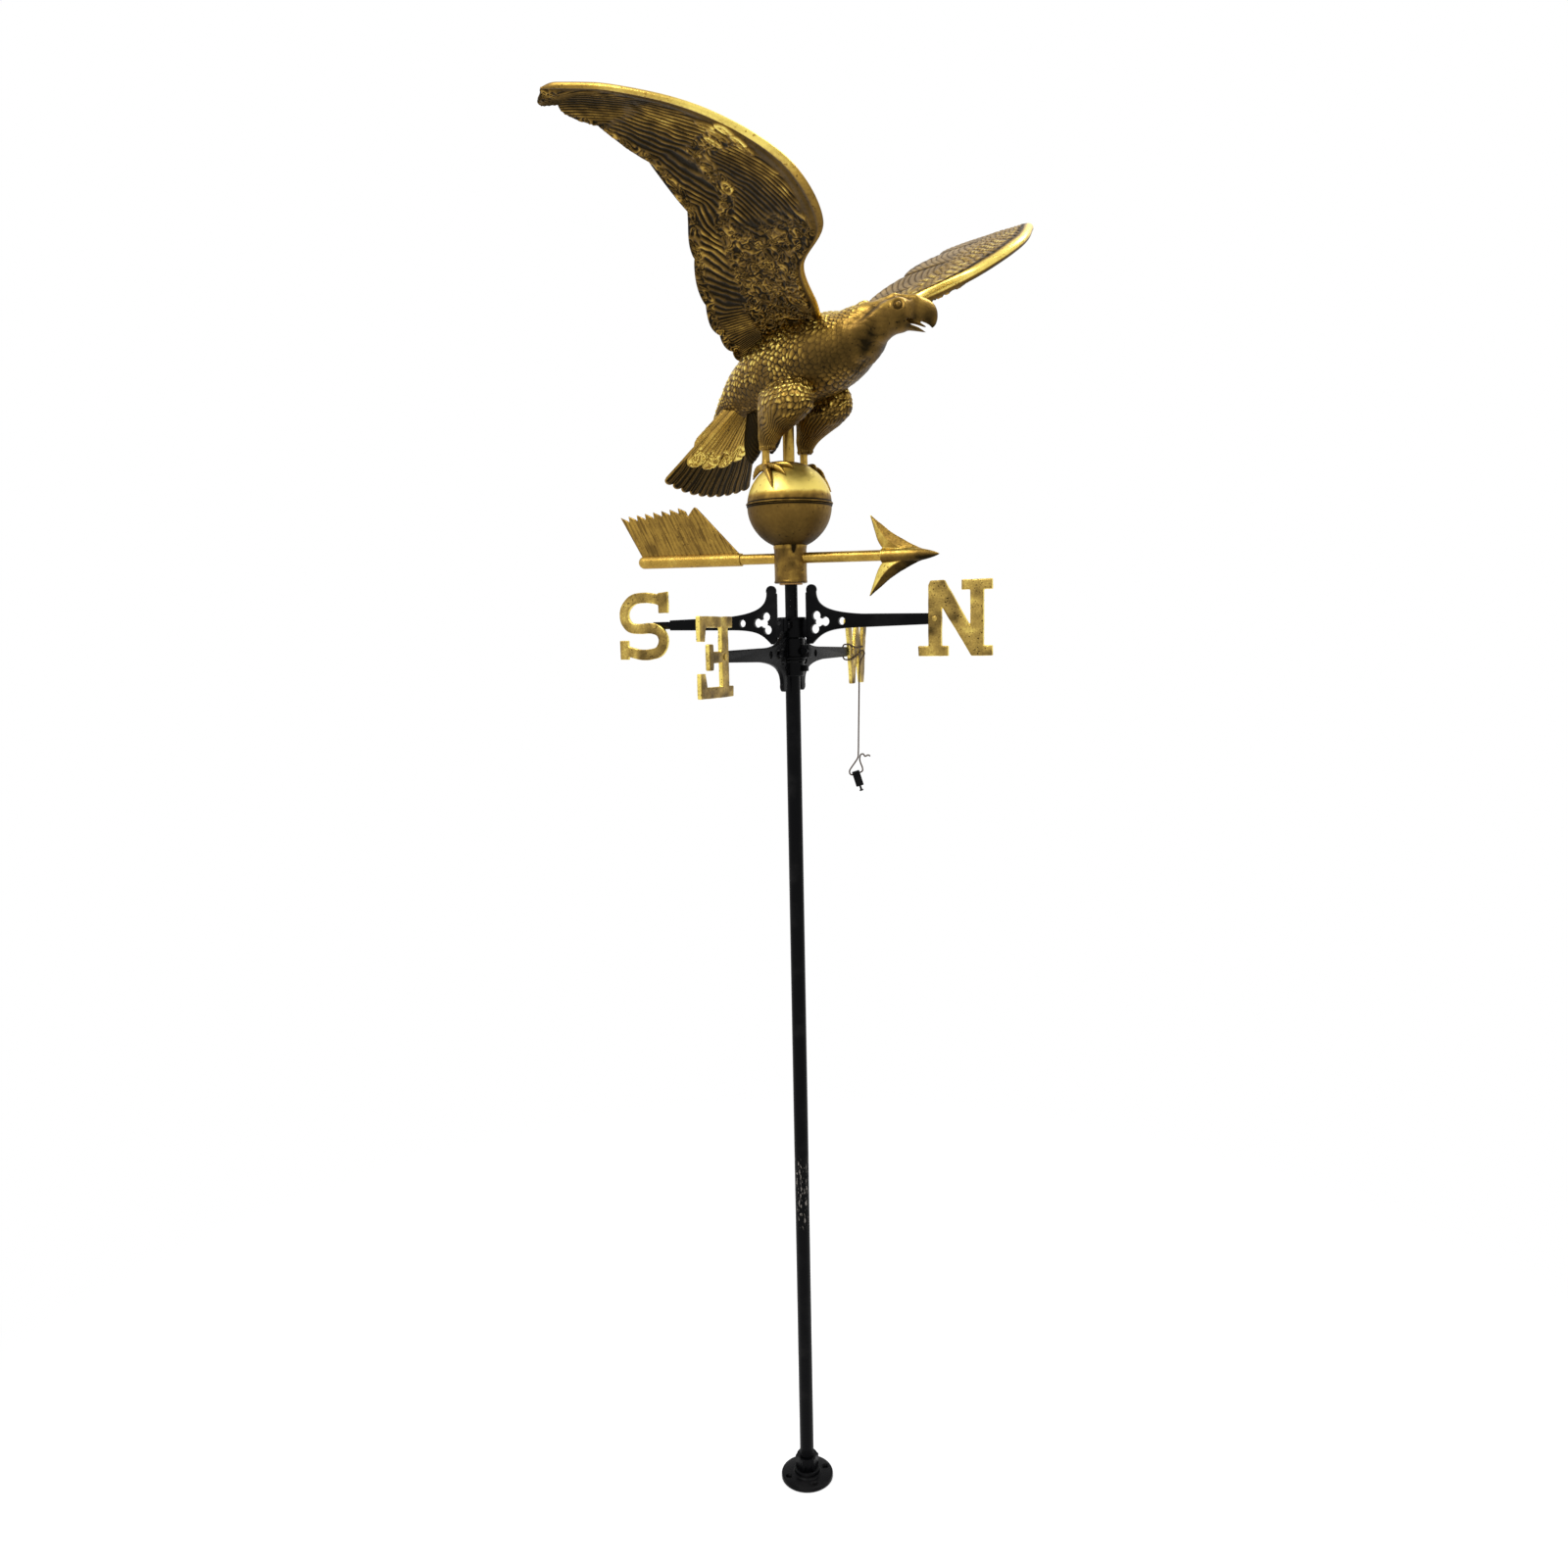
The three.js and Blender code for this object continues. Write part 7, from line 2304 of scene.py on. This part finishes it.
@dataclass
class Tail:
    """Dished fan of tail feathers, shorter feathers over and under its root, and the tuft behind the legs."""

    eagle: Eagle
    root_back: float = 95
    tip_back: float = 192
    root_height: float = 1622
    tip_height: float = 1515
    root_half: float = 26
    tip_half: float = 82
    dish: float = 12
    thick: float = 4.5
    feathers: int = 10
    scallop: float = 7
    covert_share: float = 0.55
    covert_thick: float = 5
    covert_slant: float = 0.18
    covert_feathers: int = 5
    covert_scallop: float = 14
    vent_top: float = 1615
    vent_drop: float = 70
    vent_length: float = 66
    vent_width: float = 26
    ribs: int = 15
    covert_ribs: int = 17
    columns: int = 230
    steps: int = 150

    def build(self) -> None:
        """Builds the tail and the tuft."""
        self.build_plate("tail_feathers", "tail_fan", self.feathers, self.scallop, self.thick, 1.0, 0, self.ribs)
        lift = (self.thick + self.covert_thick) / 2 + self.thick / 4 + FIT
        for name, side in (("upper", 1), ("under", -1)):
            self.build_plate(
                f"{name}_covert_feathers", f"{name}_tail_coverts", self.covert_feathers, self.covert_scallop,
                self.covert_thick, self.covert_share, side * lift, self.covert_ribs,
                0.0 if side > 0 else self.covert_slant,
            )
        self.build_tuft()

    def build_plate(
        self, name: str, node: str, feathers: int, scallop: float, thick: float,
        reach: float, lift: float, ribs: int, slant: float = 0.0,
    ) -> None:
        """A dished fan whose feathers end in round tips.

        Args:
            name: Name of the piece.
            node: Frame node that it stands for.
            feathers: How many feathers lie side by side.
            scallop: How far each tip reaches past its neighbours' gaps.
            thick: Thickness at the root.
            reach: Length as a share of the tail.
            lift: How far the plate lies above the middle of the tail.
            ribs: Ridges across the plate.
            slant: How much shorter the feathers grow towards the left side, as a share of the tail.
        """
        columns, steps = self.columns, self.steps
        fall = unit(np.array([self.root_back - self.tip_back, self.tip_height - self.root_height], float))
        square = np.array([-fall[1], 0, fall[0]])
        square *= np.sign(square[2])
        across = np.linspace(-1, 1, columns)
        dish = self.dish * across**2
        behind = np.full(columns, -self.root_back)
        root = np.stack([behind, across * self.root_half, self.root_height + dish / 3], -1)
        tip = np.stack([np.full(columns, -self.tip_back), across * self.tip_half, self.tip_height + dish], -1)
        full = np.linalg.norm(tip - root, axis=1)
        beat = ((across + 1) / 2 * feathers) % 1
        rounding = np.sqrt(np.clip(1 - (2 * beat - 1) ** 2, 0, 1))
        length = reach - slant * across + scallop * (rounding - across**2) / full
        share = np.linspace(0, 1, steps)[None] * length[:, None]
        a = np.broadcast_to(across[:, None], share.shape)
        middle = root[:, None] + (tip - root)[:, None] * share[..., None] + square * lift
        grain = Grain(41 + feathers)
        crest = (smooth(1, 0.93, beat) * smooth(0, 0.07, beat))[:, None]
        left = (length[:, None] - share) * full[:, None]
        faces, darks = [], []
        for side in (1, -1):
            half = thick / 2 * (1 - 0.3 * share) * np.sqrt(np.clip((length[:, None] - share) / 0.03, 0.05, 1))
            half *= np.sqrt(np.clip((1 - np.abs(a)) / 0.05, 0.05, 1))
            lane = (a + 1) / 2 * ribs + (0.4 if lift == 0 else 0.12) * grain.at(middle, 30)
            ridge, groove = streaks(lane)
            curl = curls(grain, middle + [0, 0, 300 * side], 6)
            dotted = smooth(38, 31, left + 5 * rounding[:, None]) * (lift != 0)
            barbs = 0.2 * streaks(share * full[:, None] / 3 + np.abs(lane % 1 - 0.5) * 3)[0]
            height = (1.1 * ridge + barbs) * (1 - dotted) + 2.0 * curl * dotted + 0.9 * crest
            # Painted shade in the grooves and the gaps between feathers, painted highlights on the curls.
            dark = (0.46 * groove - 0.04) * (1 - dotted) + (0.18 - 0.62 * curl) * dotted + 0.4 * (1 - crest)
            if lift == 0:
                fine = strands(lane * 2.5 + 0.2 * grain.at(middle, 8), 0.24)
                height += 0.35 * fine - 0.5 * ridge
                # Painted shade: the fan's under face is much darker.
                dark += (0.62 if side < 0 else 0.1) - 0.2 * fine
            rolled = smooth(0.97, 0.985, np.abs(a)) + smooth(3, 1.5, left)
            body = middle + side * square * (half + height * 0.8 * smooth(0, 4, left))[..., None]
            # The rolled side rims and tips are lighter.
            dark = held(dark * (1 - 0.8 * np.clip(rolled, 0, 1)))
            faces.append(body if side > 0 else body[:, ::-1])
            darks.append(dark if side > 0 else dark[:, ::-1])
        form = grid(np.concatenate(faces, 1), marks={"dark": np.concatenate(darks, 1)})
        self.eagle.finished(form, name, node, 60)

    def build_tuft(self) -> None:
        """Two pointed feathers under the body."""
        forms, run = [], self.vent_length
        shares = ((0, 0, 1, 0.5), (0.45, 0.5, 1, 0.46), (0.8, 0.82, 0.6, 0.3), (1, 1, 0.08, 0.06))
        for back, lean, long, drop in ((0.98, 0.3, 0.3, 1), (0.5, 0.06, 0.28, 0.87)):
            stations = [
                (
                    (-run * (back + lean * out), 0, self.vent_top - self.vent_drop * drop * down),
                    run * long * deep, self.vent_width * wide,
                )
                for out, down, deep, wide in shares
            ]
            forms.append(grid(limb(stations, 48, 50, (1, 0, 0), (0, 0, -1))))
        form = fused(forms, 1.2, 4)
        phase = (form.points[:, 0] + 0.3 * form.points[:, 2]) / 5.2 + 0.3 * Grain(47).at(form.points, 18)
        ridge, groove = streaks(phase)
        form.points += normals_of(form) * (0.9 * ridge)[:, None]
        # Painted shadow: the tuft under the body is dark all over, darkest in its grooves.
        form.marks = {"dark": np.clip(0.62 + 0.4 * groove, 0, 1)}
        self.eagle.finished(form, "vent_feathers", "vent_tuft")


@dataclass
class Leg:
    """One feathered thigh and its foot on the ball."""

    eagle: Eagle
    side: int
    apart: float = 35
    thigh_top: float = 1640
    thigh_drop: float = 88
    thigh_forward: float = 36
    thigh_length: float = 102
    thigh_width: float = 48
    ankle_back: float = 8
    shank_width: float = 13
    shank_height: float = 22
    toe_width: float = 10
    toe_reach: float = 40
    ball: float = 59.8
    ball_centre: float = 1478
    rows: int = 130
    columns: int = 260
    thigh_shares: Sequence[Place] = (
        (0, 1, 0.36, 0.22), (0.14, 1, 0.46, 0.4), (0.3, 1, 0.5, 0.48), (0.46, 0.96, 0.49, 0.48),
        (0.59, 0.72, 0.4, 0.43), (0.7, 0.36, 0.28, 0.34), (0.81, 0.04, 0.18, 0.26), (0.92, -0.1, 0.12, 0.19),
        (1, -0.15, 0.1, 0.17),
    )
    toes: Sequence[tuple[Place, Place]] = (
        ((0.62, -0.2, 0.02), (1.06, -0.34, -0.12)), ((0.55, 0.08, -0.06), (1.08, 0.04, -0.38)),
        ((0.45, 0.32, -0.22), (0.88, 0.5, -0.82)), ((-0.3, 0.06, -0.04), (-0.58, 0.12, -0.4)),
    )

    def build(self) -> None:
        """Builds the thigh and the foot."""
        self.build_thigh()
        self.build_foot()

    @property
    def hand(self) -> str:
        """Which leg it is."""
        return "right" if self.side < 0 else "left"

    def build_thigh(self) -> None:
        """Thigh with small feathers above and long ones below."""
        stations = [
            (
                (forward * self.thigh_forward, self.side * self.apart, self.thigh_top - drop * self.thigh_drop),
                long * self.thigh_length,
                wide * self.thigh_width,
            )
            for drop, forward, long, wide in self.thigh_shares
        ]
        rows, columns = self.rows, self.columns
        rings = limb(stations, columns, rows, (1, 0, 0), (0, 0, -1))
        facing = grid_normals(rings)
        outside = rings - rings.mean(1, keepdims=True)
        facing *= np.sign(np.einsum("ijk,ijk->ij", facing, outside))[..., None]
        drop = np.linspace(0, 1, rows + 1)[:, None]
        turn = np.arange(columns)[None] / columns
        grain = Grain(53 + self.side)
        wander = grain.at(rings, 18)
        jolt, lump = grain.at(rings + 90, 11), grain.at(rings + 40, 5.5)
        tile, shade = scales(drop * 15 + 0.9 * wander + 0.3 * jolt, turn * 34 + 0.7 * jolt)
        ridge, groove = streaks(turn * 30 + 1.2 * wander + 0.35 * grain.at(rings, 8) + 0 * drop)
        front = np.cos(TURN * turn)
        lower = smooth(0.26, 0.5, drop + 0.12 * wander - 0.16 * front)
        cuff = smooth(0.9, 0.94, drop) * (0.5 + 0.5 * np.cos(TURN * (turn * 9 + 0.4 * wander)))
        height = (1.5 * (tile - 0.2) + 1.6 * lump) * (1 - lower) + 1.3 * ridge * lower * smooth(1, 0.94, drop)
        height += 1.2 * cuff
        # Painted highlights on the feather tips and ridges; painted shade under the tips, in the grooves and on
        # faces turned down, with uneven tone.
        tips = smooth(0.45, 0.85, tile) * smooth(-0.3, 0.4, lump)
        dark = (0.42 * shade + 0.25 * smooth(0.5, 0.1, tile) - 0.5 * tips) * (1 - lower)
        dark += (0.42 * groove - 0.1 * ridge) * lower + 0.08 + shade_facing_down(facing, 0.3) + 0.12 * wander
        form = grid(rings + facing * height[..., None], marks={"dark": held(dark)})
        self.eagle.finished(form, f"feathered_thigh_{self.hand}", f"thigh_{self.hand}")

    def build_foot(self) -> None:
        """Shank, cuff and four clawed toes that lie on the ball."""
        top, wide, toe = self.thigh_top - self.thigh_drop, self.shank_width, self.toe_width
        ankle = np.array([-self.ankle_back, self.side * self.apart, top - self.shank_height])
        shank = [
            ((*ankle[:2], top + wide / 8), wide * 0.44, wide * 0.42),
            ((*ankle[:2], top - self.shank_height / 2), wide * 0.44, wide * 0.4),
            (tuple(ankle), wide * 0.55, wide * 0.5),
        ]
        forms = [grid(limb(shank, 32, 30, (1, 0, 0)))]
        for shares in self.toes:
            steps = (np.array([out, self.side * over, up]) for out, over, up in shares)
            knee, claw = (ankle + self.toe_reach * step for step in steps)
            bend = knee + (claw - knee) * 0.55 + [0, 0, toe * 0.22]
            sizes = ((ankle, 0.55, 0.55), (knee, 0.5, 0.46), (bend, 0.36, 0.3), (claw, 0.07, 0.07))
            stations = [(tuple(place), toe * high, toe * broad) for place, high, broad in sizes]
            forms.append(grid(limb(stations, 24, 26)))
        foot = fused(forms, 0.6, 3)
        centre, seat = np.array([0, 0, self.ball_centre]), self.ball + FIT
        away = foot.points - centre
        far = np.linalg.norm(away, axis=1)
        sunk = far < seat
        foot.points[sunk] = centre + away[sunk] / far[sunk, None] * seat
        reach = np.linalg.norm(foot.points - ankle, axis=1)
        rings = 0.5 + 0.5 * np.cos(TURN * reach / 3.1)
        upper = smooth(7, 11, reach) * smooth(30, 26, reach) * (far > seat + 1)
        upper *= away[:, 2] < ankle[2] - centre[2] + 2
        push = (upper * 0.35 * rings + 0.12 * Grain(61 + self.side).at(foot.points, 4)) * (far > seat + 0.5)
        foot.points += normals_of(foot) * push[:, None]
        # Painted shade between the rings of the toes and where the foot lies on the ball.
        foot.marks = {"dark": np.clip(upper * 0.5 * (1 - rings) ** 2 + 0.35 * smooth(5, 1, far - seat), 0, 1)}
        self.eagle.finished(foot, f"clawed_foot_{self.hand}", f"foot_{self.hand}")


# Camera, light and floor


@dataclass
class Studio:
    """Camera at the photograph's viewpoint, soft light, pale floor and white surround."""

    camera_place: Place = (0.71504, -1.58302, 1.28823)
    heading: float = math.radians(24.31)
    pitch: float = math.radians(6.74)
    roll: float = math.radians(-1.11)
    pan: float = math.radians(-0.51)
    focal_pixels: float = 1231.7
    frame_pixels: float = 1600
    sensor: float = 36
    sky: float = 0.55
    floor_size: float = 30
    floor_near: float = 0.5
    floor_far: float = 1.6

    def build(self) -> None:
        """Sets up the whole studio."""
        scene = bpy.context.scene
        scene.view_settings.view_transform = "Standard"
        self.build_camera()
        self.build_world()
        self.build_lamps()
        self.build_floor()

    def build_camera(self) -> None:
        """Camera with the photograph's framing."""
        right_level = Vector((math.cos(self.heading), math.sin(self.heading), 0))
        ahead_level = Vector((-math.sin(self.heading), math.cos(self.heading), 0))
        ahead = ahead_level * math.cos(self.pan) + right_level * math.sin(self.pan)
        right = right_level * math.cos(self.pan) - ahead_level * math.sin(self.pan)
        up = Vector((0, 0, 1))
        view = ahead * math.cos(self.pitch) - up * math.sin(self.pitch)
        tall = up * math.cos(self.pitch) + ahead * math.sin(self.pitch)
        x_axis = right * math.cos(self.roll) + tall * math.sin(self.roll)
        y_axis = tall * math.cos(self.roll) - right * math.sin(self.roll)
        matrix = Matrix((x_axis, y_axis, -view)).transposed().to_4x4()
        matrix.translation = self.camera_place
        data = bpy.data.cameras.new("camera")
        data.sensor_width, data.lens = self.sensor, self.focal_pixels / self.frame_pixels * self.sensor
        data.clip_start, data.clip_end = 0.05, 100
        camera = linked("camera", data)
        camera.matrix_world = matrix
        bpy.context.scene.camera = camera

    def build_world(self) -> None:
        """White to the camera and in reflections, and a plain level on the object."""
        world = bpy.data.worlds.new("surround")
        bpy.context.scene.world = world
        look = Look(world)
        plain, white = (
            look.add("ShaderNodeBackground", {}, {"Color": (1, 1, 1, 1), "Strength": strength})
            for strength in (self.sky, 1.0)
        )
        mixed = look.add("ShaderNodeMixShader", {}, {0: look.seen(), 1: plain, 2: white})
        look.ended(mixed, "ShaderNodeOutputWorld")

    def build_lamps(self) -> None:
        """A large soft key above and in front, and a weak fill."""
        for name, place, target, size, energy in (
            ("key", (-0.6, -1.9, 3.6), (0, 0, 1.5), 1.6, 55), ("top", (0.9, 0.9, 3.6), (0, 0, 1.6), 1.2, 26),
        ):
            data = bpy.data.lights.new(name, "AREA")
            data.shape, data.size, data.energy = "DISK", size, energy
            lamp = linked(name, data)
            lamp.location = place
            lamp.rotation_euler = (Vector(target) - Vector(place)).to_track_quat("-Z", "Y").to_euler()

    def build_floor(self) -> None:
        """Pale floor that keeps the object's shadow."""
        half = self.floor_size / 2
        corners = np.array([(-half, -half, 0), (half, -half, 0), (half, half, 0), (-half, half, 0)])
        mesh = Form(corners, [(0, 1, 2, 3)]).mesh("floor")
        look = Look(bpy.data.materials.new("pale_floor"))
        seen = look.seen()
        matt = look.add("ShaderNodeBsdfDiffuse", {}, {"Color": (0.8, 0.8, 0.8, 1)})
        glow = look.add("ShaderNodeEmission", {}, {"Color": (1, 1, 1, 1), "Strength": seen * 0.5})
        near = look.add("ShaderNodeAddShader", {}, {0: matt, 1: glow})
        far = look.add("ShaderNodeEmission", {}, {"Color": (1, 1, 1, 1), "Strength": 1.0})
        away = look.add("ShaderNodeVectorMath", {"operation": "LENGTH"}, {0: look.place}, "Value")
        fade = away.step(self.floor_near, self.floor_far) * seen
        mesh.materials.append(look.ended(look.add("ShaderNodeMixShader", {}, {0: fade, 1: near, 2: far})))
        linked("floor", mesh)


def main() -> None:
    """Builds the studio and every sub-assembly."""
    logging.basicConfig(level=logging.INFO, format="%(name)s: %(message)s")
    Studio().build()
    Twine().build()
    Mast().build()
    Compass().build()
    Spinner().build()
    Arrow().build()
    eagle = Eagle()
    eagle.build()
    Wing(eagle, side=-1).build()
    Wing(eagle, side=1, reach_share=0.96, size=0.94, lobe=16, nose=9, tip=4, thick=22, camber=3).build()
    Tail(eagle).build()
    for side in (-1, 1):
        Leg(eagle, side).build()


if __name__ == "__main__":
    main()
